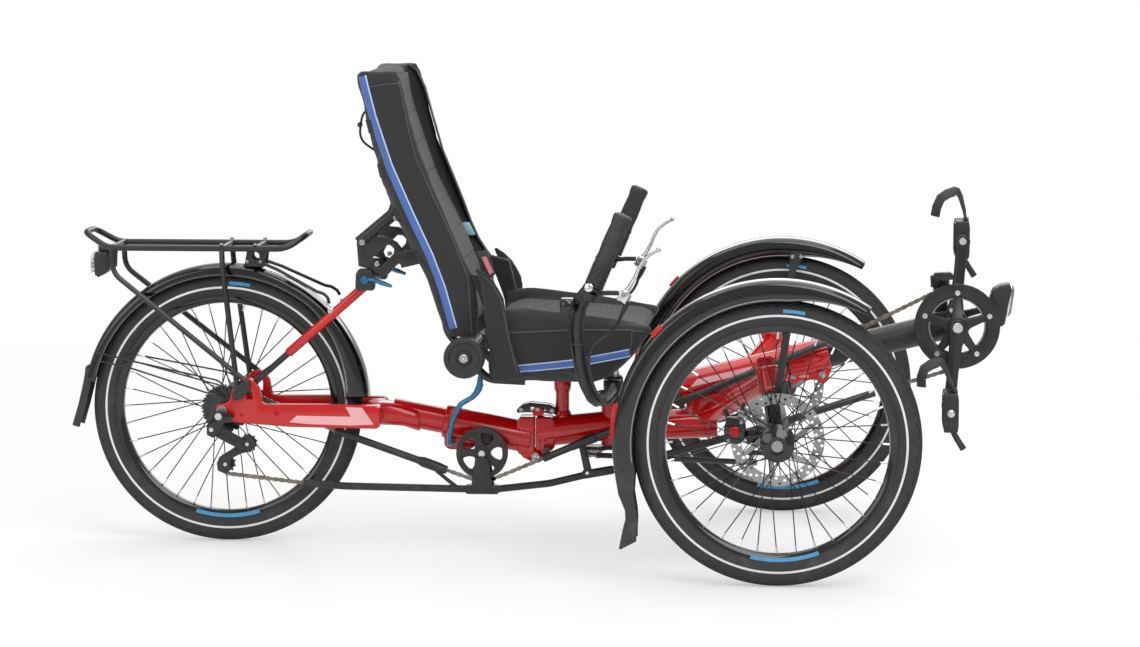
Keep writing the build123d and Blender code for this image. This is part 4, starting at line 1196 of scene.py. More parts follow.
@dataclass
class FrontFrame:
    """Main tube, boom sleeve, cross arms, head tubes, seat post, hinge and front chain tubes."""

    body: str = "frame_front"
    tube_r: float = 27.0
    arm_r: float = 18.0
    sleeve_r: float = 29.0
    bore_r: float = 25.3

    @property
    def boom_run(self) -> Vector:
        """Direction of the boom's axis."""
        return Vector(boom_point(1)) - Vector(boom_point(0))

    def red(self, piece: Piece, replaces: Sequence[str] = (), smooth: float = 35.0) -> Piece:
        """Paints a piece as the frame."""
        return dress(piece, Palette.RED, self.body, replaces, smooth)

    def tubes(self) -> None:
        """Bent main tube, boom sleeve, gusset, arms and head tubes."""
        main = Bench.tube("frame_main_tube", [(-437, 0, 203), (-306, 0, 217), (-112, 0, 224)], self.tube_r,
                          190, 40, steps=14)
        self.red(Bench.bevel(main, 2.5, 3), ["frame_front"])
        sleeve = Bench.tube("frame_sleeve", [boom_point(-178), boom_point(12)], self.sleeve_r, 0, 40)
        bore = Bench.tube("bore", [boom_point(-14), boom_point(30)], self.bore_r, 0, 40)
        self.red(Bench.bevel(Bench.cut(sleeve, bore), 1.2, 3))
        lip = mirrored([(30.4, 1.6), (29.6, 3.0), (25.2, 3.0)])
        self.red(Bench.lathe("frame_sleeve_lip", lip, boom_point(6), 40, True, self.boom_run))
        neck = [(-178, 224), (-116, 228), (-72, 262), (-62, 296), (-120, 288), (-168, 277)]
        mx, mz = -118.0, 260.0
        sections = []
        for y, grow in ((-21.0, 0.80), (-16.0, 0.96), (0.0, 1.0), (16.0, 0.96), (21.0, 0.80)):
            sections.append([(mx + (x - mx) * grow, y, mz + (z - mz) * grow) for x, z in neck])
        gusset = Bench.loft("frame_gusset", sections)
        Bench.apply(gusset, "SUBSURF", levels=2, render_levels=2)
        self.red(gusset)
        weld = [(26.0, -3.4), (30.0, -2.6), (31.4, 0.0), (30.0, 2.6), (26.0, 3.4)]
        self.red(Bench.lathe("frame_weld", weld, (-128, 0, 223), 40, True, (1.0, 0.0, 0.036)))
        arm_end = Vector(kingpin(340.0)) - Vector((1, -9, 3))
        arm = Bench.tube("arm", [(-146, 14, 232), (-112, -44, 250), arm_end], self.arm_r, 160, 28, steps=12)
        run = (Vector(kingpin(363.0)) - Vector(kingpin(317.0))).normalized()
        profile = mirrored([(19.4, 14.0), (20.8, 16.0), (20.8, 20.6), (18.6, 22.8), (10.4, 22.8)])
        head = Bench.lathe("head", profile, kingpin(340.0), 36, True, run)
        self.red(Bench.both(arm, "frame_arms"))
        self.red(Bench.both(head, "frame_head_tubes"), smooth=28.0)

    def clamp_ears(self) -> None:
        """Slotted ears that clamp the boom, with their two bolts and the pale pink highlights painted on
        them.
        """
        outline = [(0, 334), (-8, 312), (4, 305), (18, 303), (24, 293), (36, 303), (66, 305), (76, 297),
                   (86, 306), (92, 322), (90, 352), (60, 344)]
        self.red(Bench.both(Bench.plate("ear", outline, -14.5, -3.2, 2.4, 3), "frame_clamp_ears"))
        collar = mirrored([(30.0, 35.0), (29.0, 37.0), (25.2, 37.0)])
        self.red(Bench.lathe("frame_clamp_collar", collar, boom_point(52), 40, True, self.boom_run))
        bolt = [(0.0, -18.6), (2.4, -18.6), (2.6, -16.6), (4.0, -16.6), (5.0, -18.4), (6.0, -17.6),
                (6.0, -14.4), (3.0, -14.0), (3.0, 14.0), (6.0, 14.4), (6.0, 18.0), (5.0, 18.8), (0.0, 18.8)]
        bolts = [Bench.lathe("bolt", bolt, (x, 0, z), 20) for x, z in ((24.0, 312.0), (76.0, 315.0))]
        dress(Bench.joined("clamp_bolts", bolts), Palette.SILVER, self.body)
        # Painted highlight: a pale pink patch on the outside of each ear, where the light catches the red
        # paint.
        patch = Bench.plate("ear_patch", [(34, 309), (52, 309), (50, 322), (34, 322)], -15.0, -14.3, 0.2, 1)
        dress(Bench.both(patch), Palette.PINK, self.body)

    def sleeve_band(self) -> None:
        """Pale pink highlight painted as a band with slanted ends along each side of the boom sleeve."""
        top, bottom, reach = 26.0, 4.0, self.sleeve_r + 0.35
        points, across = [], []
        for k in range(9):
            section = []
            for degrees in (top, (top + bottom) / 2, bottom):
                t = math.radians(degrees)
                cx, _, cz = boom_point(-160.0 + 12.5 * k + (degrees - bottom) * 0.55)
                section.append(Vector((cx, -reach * math.cos(t), cz + reach * math.sin(t))))
            high, middle, low = section
            points.append((high + low) / 2 + Vector((0, middle.y - (high.y + low.y) / 2, 0)))
            across.append(high - low)
        # Painted highlight: pale pink band on the sleeve's upper side, where the light catches the red tube,
        # copied to the far side.
        band = Bench.strip("sleeve_band", points, across, 0.5)
        dress(Bench.both(band), Palette.PINK, self.body)

    def hinge(self) -> None:
        """Front hinge block with its grooves, lug, steering boss and seat post."""
        block = [(-439, 172), (-410, 172), (-404, 180), (-404, 228), (-412, 233), (-439, 233)]
        hinge = Bench.plate("frame_hinge_block", block, -24.5, 24.5, 3.0, 3)
        self.red(Bench.cut(hinge, *Bench.grooves(-432.0, 176.0)))
        lug = Bench.plate("lug", [(-440, 151), (-416, 154), (-416, 176), (-438, 176), (-440, 172)], -9, 9,
                          1.0)
        eye = Bench.lathe("eye", mirrored([(12.0, 8.0), (11.0, 9.0), (6.1, 9.0)]), HINGE, 32, closed=True)
        self.red(Bench.joined("frame_hinge_lug", [lug, eye]))
        boss = Bench.tube("frame_steering_boss", [(-300, 0, 182), (-300, 0, 262)], 22.0, 0, 36)
        self.red(Bench.bevel(boss, 2.0, 3))
        foot = (-392, 0, 213)
        post = [(0.0, 0.0), (12.4, 0.0), (12.4, 62.0), (13.0, 66.0), (15.0, 70.0), (15.6, 74.0), (15.6, 96.0),
                (14.0, 100.0), (0.0, 100.0)]
        self.red(Bench.lathe("frame_seat_post", post, foot, 32, axis=UP))
        weld = [(12.0, 22.0), (16.0, 24.0), (13.6, 31.0), (12.2, 31.0)]
        self.red(Bench.lathe("seat_post_weld", weld, foot, 32, True, UP))
        rail = Bench.block("seat_rail_plate", (-450, -26, 313), (-334, 26, 317), 1.2, 2)
        dress(rail, Palette.BLACK, self.body, ["seat_rail"])

    def latch(self) -> None:
        """Over-centre latch above the hinge: frame with a window, its pins and hook."""
        outline = [(-474, 240), (-474, 246), (-464, 254), (-450, 258), (-414, 255), (-403, 249), (-402, 242),
                   (-410, 238), (-428, 241), (-454, 241)]
        body = Bench.plate("latch_body", outline, -15.5, 15.5, 1.2, 2)
        window = Bench.plate("window", [(-450, 244), (-448, 251), (-424, 250), (-420, 244)], -30, 30, 0)
        dress(Bench.cut(body, window), Palette.GLOSS, self.body, ["fold_latch"])
        pin = mirrored([(4.6, 17.2), (3.6, 18.2), (0.0, 18.2)])
        pins = [Bench.lathe("pin", pin, (x, 0, z), 12) for x, z in ((-466, 246), (-410, 245), (-436, 247))]
        dress(Bench.joined("latch_pins", pins), Palette.STEEL, self.body)
        hook = Bench.plate("latch_hook", [(-444, 236), (-430, 234), (-424, 240), (-428, 252), (-440, 252),
                                          (-446, 244)], -17.4, -15.6, 0.6)
        dress(Bench.both(hook), Palette.RED_DEEP, self.body)

    def chain_tubes(self) -> None:
        """Drive and return tubes ahead of the fold, with their link and flared end."""
        drive = Bench.tube("drive", [drive_point(-424), drive_point(150)], 6.8, 0, 20)
        back = Bench.tube("back", [(-304, CHAIN_Y, 141), (11, CHAIN_Y, 234), (170, CHAIN_Y, 287)], 6.8, 220,
                          20, steps=10)
        mouth = Bench.tube("mouth", [drive_point(-423), drive_point(-410)], 7.2, 0, 20)
        sleeve = Bench.tube("sleeve", [drive_point(-372), drive_point(-330)], 9.4, 0, 20, (7.4, 9.4))
        upper = drive_point(-352)
        link = Bench.strip("link", [(-354, CHAIN_Y, upper[2] - 4), (-342, CHAIN_Y, 136)],
                           [(12, 0, 3), (14, 0, 3)], 8.0)
        lower = Bench.tube("lower", [(-352, CHAIN_Y, 133), (-298, CHAIN_Y, 143)], 8.0, 0, 20)
        clip = Bench.block("clip", (-424, CHAIN_Y, 172), (-412, -24, 182), 1.5)
        whole = Bench.joined("chain_tubes", [Bench.bevel(drive, 0.8, 2), Bench.bevel(back, 0.8, 2), mouth,
                                             sleeve, Bench.bevel(link, 1.5), Bench.bevel(lower, 1.2), clip])
        dress(whole, Palette.TUBING, self.body, ["chain_tubes_front"])
        pin = Bench.lathe("chain_tube_pin", [(0.0, -10.4), (2.6, -10.4), (3.4, -9.6), (3.4, -8.0),
                                             (0.0, -8.0)], (-344, CHAIN_Y, 138), 14)
        dress(pin, Palette.SILVER, self.body)

    def build(self) -> None:
        """Builds the front frame."""
        self.tubes()
        self.clamp_ears()
        self.sleeve_band()
        self.hinge()
        self.latch()
        self.chain_tubes()
        LOG.info("front frame")


@dataclass
class MiddleFrame:
    """Telescoping tube with its clamp, the rear half of the hinge, the idler and its bracket."""

    body: str = "frame_middle"
    tube_r: float = 28.8
    collar_r: float = 30.0
    idler_r: float = 46.5

    def tube(self) -> None:
        """Outer tube, its collar, clamp lugs and hinge half."""
        slope = Vector(middle_point(-1)) - Vector(middle_point(0))
        length = (Vector(middle_point(-606)) - Vector(middle_point(-448))).length
        r, wide = self.tube_r, self.collar_r
        profile = [(23.6, 0.0), (27.8, 0.0), (r, 1.0), (r, length - 22), (wide, length - 20),
                   (wide, length - 1.5), (28.6, length), (23.6, length)]
        tube = Bench.lathe("middle_tube", profile, middle_point(-448), 48, True, slope)
        dress(tube, Palette.RED, self.body, ["frame_middle"])
        lug = [(-606, 204), (-606, 180), (-601, 174), (-594, 171.5), (-560, 171.5), (-552, 176), (-548, 186),
               (-548, 198)]
        lugs = Bench.both(Bench.plate("lug", lug, -13.0, -2.0, 2.0, 3), "middle_clamp_lugs")
        dress(lugs, Palette.RED, self.body)
        bolt = Bench.lathe("clamp_bolt", [(0.0, -15.6), (2.4, -15.6), (2.4, -13.6), (4.2, -13.6),
                                          (5.6, -15.4), (6.6, -14.6), (6.6, -12.6), (0.0, -12.6)],
                           (-594, 0, 186), 20)
        dress(bolt, Palette.SILVER, self.body)
        block = [(-470, 166), (-441, 164), (-441, 233), (-468, 233), (-474, 224), (-474, 176)]
        half = Bench.plate("middle_hinge_block", block, -24.5, 24.5, 3.0, 3)
        gap = Bench.block("gap", (-480, -10, 140), (-420, 10, 176.5), 0)
        dress(Bench.cut(half, gap, *Bench.grooves(-462.0, 178.0)), Palette.RED, self.body)
        ear = [(-470, 196), (-470, 170), (-462, 160), (-446, 152), (-440, 150.8), (-434, 152.8),
               (-430.5, 158), (-430, 163), (-434, 169.4), (-440, 171.2), (-443, 178), (-443, 196)]
        dress(Bench.both(Bench.plate("ear", ear, -24, -10.2, 1.6, 3), "middle_hinge_ears"), Palette.RED,
              self.body)
        pin = Bench.lathe("hinge_pin", [(0.0, -26.0), (2.6, -26.0), (2.6, -24.8), (6.0, -24.8), (7.6, -25.6),
                                        (7.6, -24.2), (5.9, -24.0), (5.9, 24.0), (7.6, 24.2), (7.6, 25.8),
                                        (0.0, 26.0)], HINGE, 20)
        dress(pin, Palette.SILVER, self.body)

    def bracket(self) -> None:
        """Idler bracket, the tubes behind the fold and the idler's bolt."""
        y = CHAIN_Y + 9.0
        outline = [(-550, 214), (-534, 218), (-518, 214), (-519, 160), (-514, 118), (-510, 104), (-512, 98),
                   (-556, 98), (-558, 104), (-552, 120), (-548, 160)]
        hanger = Bench.plate("hanger", outline, y, y + 4, 1.0)
        front = Bench.plate("front", [(-546, 160), (-534, 168), (-522, 160), (-516, 120), (-514, 99),
                                      (-554, 99), (-552, 120)], CHAIN_Y - 10.5, CHAIN_Y - 7.2, 1.0)
        foot = Bench.block("foot", (-564, CHAIN_Y - 9, 96.5), (-504, y + 4, 113), 4.0, 3)
        spacer = Bench.block("spacer", (-544, y + 2, 196), (-524, -27, 216), 1.5)
        back = Bench.tube("back", [(-858, CHAIN_Y, 113), (-785, CHAIN_Y, 108), (-548, CHAIN_Y, 105),
                                   (-500, CHAIN_Y, 106)], 6.8, 300, 20, steps=8)
        drive = Bench.tube("drive", [drive_point(-800), drive_point(-640)], 6.8, 0, 20)
        flare = Bench.tube("flare", [drive_point(-650), drive_point(-640), drive_point(-616),
                                     drive_point(-598)], 9.6, 0, 20, (7.0, 9.6, 9.4, 7.6))
        strut = Bench.strip("strut", [(-616, CHAIN_Y, drive_point(-604)[2] - 4), (-580, CHAIN_Y, 108)],
                            [(7, 0, 2), (9, 0, 2)], 6.0)
        whole = Bench.joined("idler_bracket_frame", [hanger, front, foot, spacer, Bench.bevel(back, 0.8),
                                                     Bench.bevel(drive, 0.8), flare, Bench.bevel(strut, 1.2)])
        dress(whole, Palette.TUBING, self.body, ["idler_bracket"])
        bolt = Bench.lathe("idler_bolt", [(0.0, -11.6), (2.6, -11.6), (2.6, -9.6), (5.0, -9.6), (6.4, -11.0),
                                          (7.0, -9.8), (7.0, -7.4), (4.8, -7.0), (4.8, 12.0), (0.0, 12.0)],
                           IDLER, 20)
        dress(bolt, Palette.SILVER, self.body)

    def idler(self) -> None:
        """Chain idler: grooved rim, hub and five window spokes."""
        r = self.idler_r
        profile = mirrored([(r - 1.6, 2.4), (r, 4.0), (r, 6.0), (38.0, 6.0), (37.0, 4.6), (13.0, 4.6),
                            (12.0, 6.0), (5.1, 6.0)])
        wheel = Bench.lathe("idler_wheel", profile, IDLER, 72, closed=True)
        hole = ((16, -3), (22, -9), (32, -13), (36, -9), (37, 0), (36, 9), (32, 13), (22, 9), (16, 3))
        outline = [(IDLER[0] + x, IDLER[2] + z) for x, z in hole]
        window = Bench.plate("window", outline, CHAIN_Y - 20, CHAIN_Y + 20, 0)
        Bench.cut(wheel, Bench.around(window, 5, IDLER))
        dress(wheel, Palette.PLASTIC, "idler", ["idler"], 30.0)

    def lever(self) -> None:
        """Bent clamp lever, its paddle and pivot."""
        points = [(-594, -13.5, 186), (-594, -40, 186), (-591, -54, 208), (-586, -60, 232), (-571, -64, 262),
                  (-548, -69, 276), (-535, -73, 291), (-534, -75, 312)]
        arm = Bench.tube("arm", points, 5.0, 14, 16, steps=8)
        tip = Bench.tube("tip", [(-549, -69, 276), (-541, -71.5, 284), (-535, -73.5, 298),
                                 (-534.4, -75, 314)], 6.4, 0, 16, (4.8, 6.0, 6.4, 4.4))
        knob = Bench.lathe("knob", [(0.0, -24.0), (5.5, -24.0), (7.0, -22.0), (7.0, -15.0), (5.0, -13.6),
                                    (0.0, -13.6)], (-594, 0, 186), 20)
        whole = Bench.joined("clamp_lever_arm", [Bench.bevel(arm, 1.2), tip, knob])
        dress(whole, Palette.BLUE, self.body, ["clamp_lever"])

    def build(self) -> None:
        """Builds the middle frame."""
        self.tube()
        self.bracket()
        self.idler()
        self.lever()
        LOG.info("middle frame")


@dataclass
class RearFrame:
    """Inner tube, yoke, box stays with their pale stripe, dropouts, rising stays and rear axle."""

    body: str = "frame_rear"
    stay_y: float = 62.0
    stay_half: float = 7.5
    inner_r: float = 23.5

    def stays(self) -> None:
        """Inner tube, yoke, box stays and dropouts, painted red."""
        tube = Bench.tube("rear_inner_tube", [middle_point(-700), middle_point(-486)], self.inner_r, 0, 40)
        dress(tube, Palette.RED, self.body, ["frame_rear"])
        sections = []
        for x, half, low, high in ((-744, 31, 217, 258), (-720, 31, 216, 258.5), (-700, 30.5, 214.5, 258),
                                   (-684, 30, 213, 256), (-676, 29.4, 211.5, 254), (-664, 28.8, 207, 252),
                                   (-650, 28.4, 203.0, 250)):
            middle, rise = (low + high) / 2, (high - low) / 2
            ring = rounded_box(24, 0.75 * (1 - max(0.0, min(1.0, (x + 720) / 70))))
            sections.append([(x, half * c, middle + rise * s) for c, s in ring])
        yoke = Bench.bevel(Bench.loft("rear_yoke", sections), 2.0, 2, 50)
        dress(yoke, Palette.RED, self.body, smooth=40.0)
        outline = [(-1010, 232), (-1004, 229), (-962, 224), (-880, 218), (-723, 216), (-716, 220),
                   (-716, 254), (-723, 258), (-800, 260), (-922, 259), (-929, 262), (-934, 288), (-941, 299),
                   (-950, 306), (-962, 304), (-974, 298), (-984, 284), (-988, 266), (-994, 260), (-1010, 258),
                   (-1013, 252), (-1013, 238)]
        stay = Bench.plate("stay", outline, -self.stay_y - self.stay_half, -self.stay_y + self.stay_half, 2.6,
                           3)
        hollow = Bench.plate("hollow", [(-960, 282), (-950, 290), (-946, 284), (-946, 268), (-958, 266)], -80,
                             -40, 0)
        Bench.cut(stay, hollow)
        bridge = Bench.block("bridge", (-747, -66, 218), (-717, -18, 256), 5.0, 3)
        dress(Bench.both(Bench.joined("rear_stays", [stay, bridge])), Palette.RED, self.body)
        pivots = []
        for x, z, r in ((-903, 243, 5.0), (-966, 240, 3.4)):
            profile = [(0.0, 0.0), (r, 0.0), (r, -0.5), (r - 0.8, -1.1), (0.45 * r, -1.1), (0.4 * r, -0.4),
                       (0.0, -0.4)]
            pivots.append(Bench.lathe("plug", profile, (x, -69.2, z), 16))
        dress(Bench.both(Bench.joined("rear_stay_plugs", pivots)), Palette.RED_DEEP, self.body)

    def stripe(self) -> None:
        """Pale folded stripe on the outside of each stay."""
        outline = [(-880, 227), (-866, 239), (-768, 238), (-778, 255.5), (-748, 254.5), (-727, 224),
                   (-770, 222), (-846, 224)]
        stripe = Bench.plate("stay_stripe", outline, -70.1, -69.4, 0.2, 1)
        dress(Bench.both(stripe), Palette.PINK, self.body, smooth=20.0)

    def rising(self) -> None:
        """Rising stays, black below and red above, with their bolts, and the clamp jaws at the top."""
        low, top = Vector((-941.4, -62.0, 298.5)), Vector((-737.0, -86.0, 478.0))
        run = (top - low).normalized()
        step = low + run * 88
        sleeve = Bench.tube("sleeve", [low - run * 6, step - run * 9, step], 5.8, 0, 24, (5.4, 5.8, 8.0))
        upper = Bench.tube("upper", [step - run * 6, top - run * 3], 8.4, 0, 24)
        dress(Bench.both(Bench.bevel(sleeve, 1.0), "stay_sleeves"), Palette.BLACK, self.body,
              ["seat_stays"])
        dress(Bench.both(Bench.bevel(upper, 0.6), "stay_uppers"), Palette.RED, self.body)
        cross = Bench.tube("stay_cross", [(-737, -107, 478), (-737, 107, 478)], 8.8, 0, 24)
        bridge = Bench.tube("stay_bridge", [(-797, -79, 425), (-797, 79, 425)], 6.0, 0, 20)
        jaw = [(-752, 470), (-722, 470), (-720, 476), (-722, 500), (-726, 508), (-748, 508), (-753, 500),
               (-754, 476)]
        jaws = [Bench.plate("jaw", jaw, -108, -100.4, 1.6, 2), Bench.plate("jaw", jaw, -91.6, -84, 1.6, 2)]
        web = Bench.block("web", (-748, -101, 471), (-726, -91, 484), 1.0)
        pair = Bench.both(Bench.joined("jaws", [*jaws, web]))
        dress(Bench.joined("seat_clamp_jaws", [Bench.bevel(cross, 1.5), Bench.bevel(bridge, 1.0), pair]),
              Palette.BLACK, self.body)
        bolt = [(0.0, 3.0), (3.0, 3.0), (4.6, 1.6), (5.4, -1.0), (3.6, -2.4), (1.6, -2.4), (1.4, -1.0),
                (0.0, -1.0)]
        bolt = Bench.lathe("bolt", bolt, (-801.5, -84.0, 431.0), 16)
        dress(Bench.both(bolt, "stay_bolts"), Palette.SILVER, self.body)
        knob = [(0.0, -6.0), (6.4, -6.0), (7.6, -4.4), (7.6, 0.6), (5.0, 1.8), (0.0, 1.8)]
        knob = Bench.lathe("knob", knob, (-737, -107, 489), 18)
        dress(Bench.both(knob, "jaw_knobs"), Palette.BLUE, self.body)
        lever = Bench.tube("seat_clamp_lever", [(-737, -107, 490), (-722, -110, 490), (-704, -110, 484),
                                                (-688, -110, 478)], 4.0, 0, 16, (3.0, 4.0, 4.6, 2.6))
        dress(Bench.both(lever), Palette.BLUE, self.body)

    def axle(self) -> None:
        """Rear axle with its nuts and its free end."""
        centre = (-WHEELBASE, 0.0, AXLE_Z)
        right = [(0.0, -76.4), (5.6, -76.4), (5.9, -75.8), (5.9, -73.6), (9.6, -73.4), (10.4, -72.6),
                 (10.4, -70.2), (0.0, -70.0)]
        left = [(0.0, 70.0), (11.4, 70.0), (11.4, 71.4), (9.6, 71.8), (9.6, 76.2), (8.8, 77.0), (5.0, 77.2),
                (5.0, 88.2), (4.4, 88.8), (0.0, 88.8)]
        shaft = [(0.0, -70.2), (5.95, -70.2), (5.95, 70.2), (0.0, 70.2)]
        nuts = [Bench.lathe("axle", profile, centre, 24) for profile in (right, left, shaft)]
        dress(Bench.joined("rear_axle_nuts", nuts), Palette.STEEL, self.body, ["rear_axle"])

    def build(self) -> None:
        """Builds the rear frame."""
        self.stays()
        self.stripe()
        self.rising()
        self.axle()
        LOG.info("rear frame")


@dataclass
class Rack:
    """Luggage rack with its rear lamp and bracket."""

    body: str = "frame_rear"
    height: float = 540.0
    half: float = 58.0
    tube_r: float = 5.5

    def tubes(self) -> None:
        """Rails that turn up at both ends, legs, braces and cross tubes."""
        z, r = self.height, self.tube_r
        rail = [(-1251, 0, z + 25), (-1251, -42, z + 25), (-1208, -self.half, z - 1),
                (-884, -self.half, z - 1), (-852, -36, z + 22), (-852, 0, z + 22)]
        leg = [(-1001, -self.half, z), (-999, -64, 506), (-973.4, -75.2, 296), (-973, -75.2, 281)]
        brace = [(-1200, -self.half, z), (-1199, -60, 494), (-955.4, -75.2, 300), (-954, -75.2, 294)]
        parts = [Bench.tube("rail", rail, r, 48, 20, steps=12),
                 Bench.tube("leg", leg, r - 0.5, 60, 16, steps=8),
                 Bench.tube("brace", brace, r - 0.5, 40, 16, steps=10)]
        foot = Bench.plate("foot", [(-982, 270), (-972, 267), (-962, 272), (-950, 290), (-949, 298),
                                    (-956, 303), (-966, 298), (-981, 284)], -79, -72, 1.4, 2)
        pairs = [Bench.both(part) for part in (*parts, foot)]
        for x in (-1200, -1001, -940):
            pairs.append(Bench.tube("cross", [(x, -self.half, z), (x, self.half, z)], 4.5, 0, 16))
        dress(Bench.joined("rack_tubes", pairs), Palette.BLACK, self.body, ["rack"])

    def plate(self) -> None:
        """Perforated plate that hangs the mudguard, and its bolts."""
        face = Bench.block("rack_plate", (-968, -22, 503), (-928, 22, 507), 1.0)
        sides = [Bench.plate("side", [(-966, 503), (-960, 536), (-954, 540), (-930, 540), (-926, 534),
                                      (-930, 503)], y, y + 3, 0.8) for y in (-24, 21)]
        hole = Bench.lathe("hole", [(0.0, -40.0), (8.0, -40.0), (8.0, 40.0), (0.0, 40.0)], (-946, 0, 522), 20)
        plates = Bench.joined("plates", sides)
        Bench.cut(plates, hole)
        whole = Bench.joined("rack_plate", [face, plates])
        dress(whole, Palette.BLACK, self.body)
        bolt = [(0.0, -2.4), (2.6, -2.4), (3.6, -1.4), (3.8, 1.0), (0.0, 1.0)]
        bolts = [Bench.lathe("bolt", bolt, (x, y, z), 12, axis=(0, 1, 0) if z < 530 else (0, 0, -1))
                 for x, y, z in ((-936, -25, 512), (-960, -25, 512), (-1001, -60, 546), (-940, -60, 546))]
        stay = Bench.tube("front_stay", [(-934, -24, 510), (-905, -30, 499), (-830, -54, 462),
                                         (-818, -58, 459), (-809, -64, 452), (-806, -72, 444)], 3.0, 14, 12)
        dress(Bench.both(Bench.joined("rack_bolts", bolts)), Palette.STEEL, self.body)
        dress(Bench.both(stay, "rack_front_stays"), Palette.BLACK, self.body)

    def lamp(self) -> None:
        """Rear lamp: ribbed housing, red lens and bracket."""
        housing = [(-1240, 488), (-1240, 518), (-1234, 527), (-1218, 527), (-1210, 514), (-1212, 498),
                   (-1220, 488), (-1234, 481)]
        body = Bench.plate("lamp_body", housing, -23.6, 23.6, 3.0, 3)
        ribs = [Bench.block("rib", (-1243.0, -22.5, z), (-1238, 22.5, z + 2.2), 0.6)
                for z in (492.0, 499.0, 506.0, 513.0)]
        dress(Bench.joined("tail_lamp_body", [body, *ribs]), Palette.PLASTIC, self.body,
              ["tail_light"])
        lens = Bench.plate("tail_lamp_lens", [(-1246, 488), (-1246, 520), (-1241, 527), (-1238.8, 527),
                                              (-1238.8, 484)], -23.0, 23.0, 1.6, 3)
        dress(lens, Palette.LAMP_GLASS, self.body)
        glow = Bench.block("tail_lamp_reflector", (-1240.6, -17, 493), (-1236, 17, 517), 1.2)
        dress(glow, Palette.RED_GLASS, self.body)
        bracket = Bench.block("bracket", (-1234, -13, 527.6), (-1198, 13, 539), 1.4)
        strut = Bench.plate("strut", [(-1212, 500), (-1200, 500), (-1198, 538), (-1206, 538)], -13, -10, 0.8)
        dress(Bench.joined("tail_lamp_bracket", [bracket, strut]), Palette.BLACK, self.body)

    def build(self) -> None:
        """Builds the rack."""
        self.tubes()
        self.plate()
        self.lamp()
        LOG.info("rack")


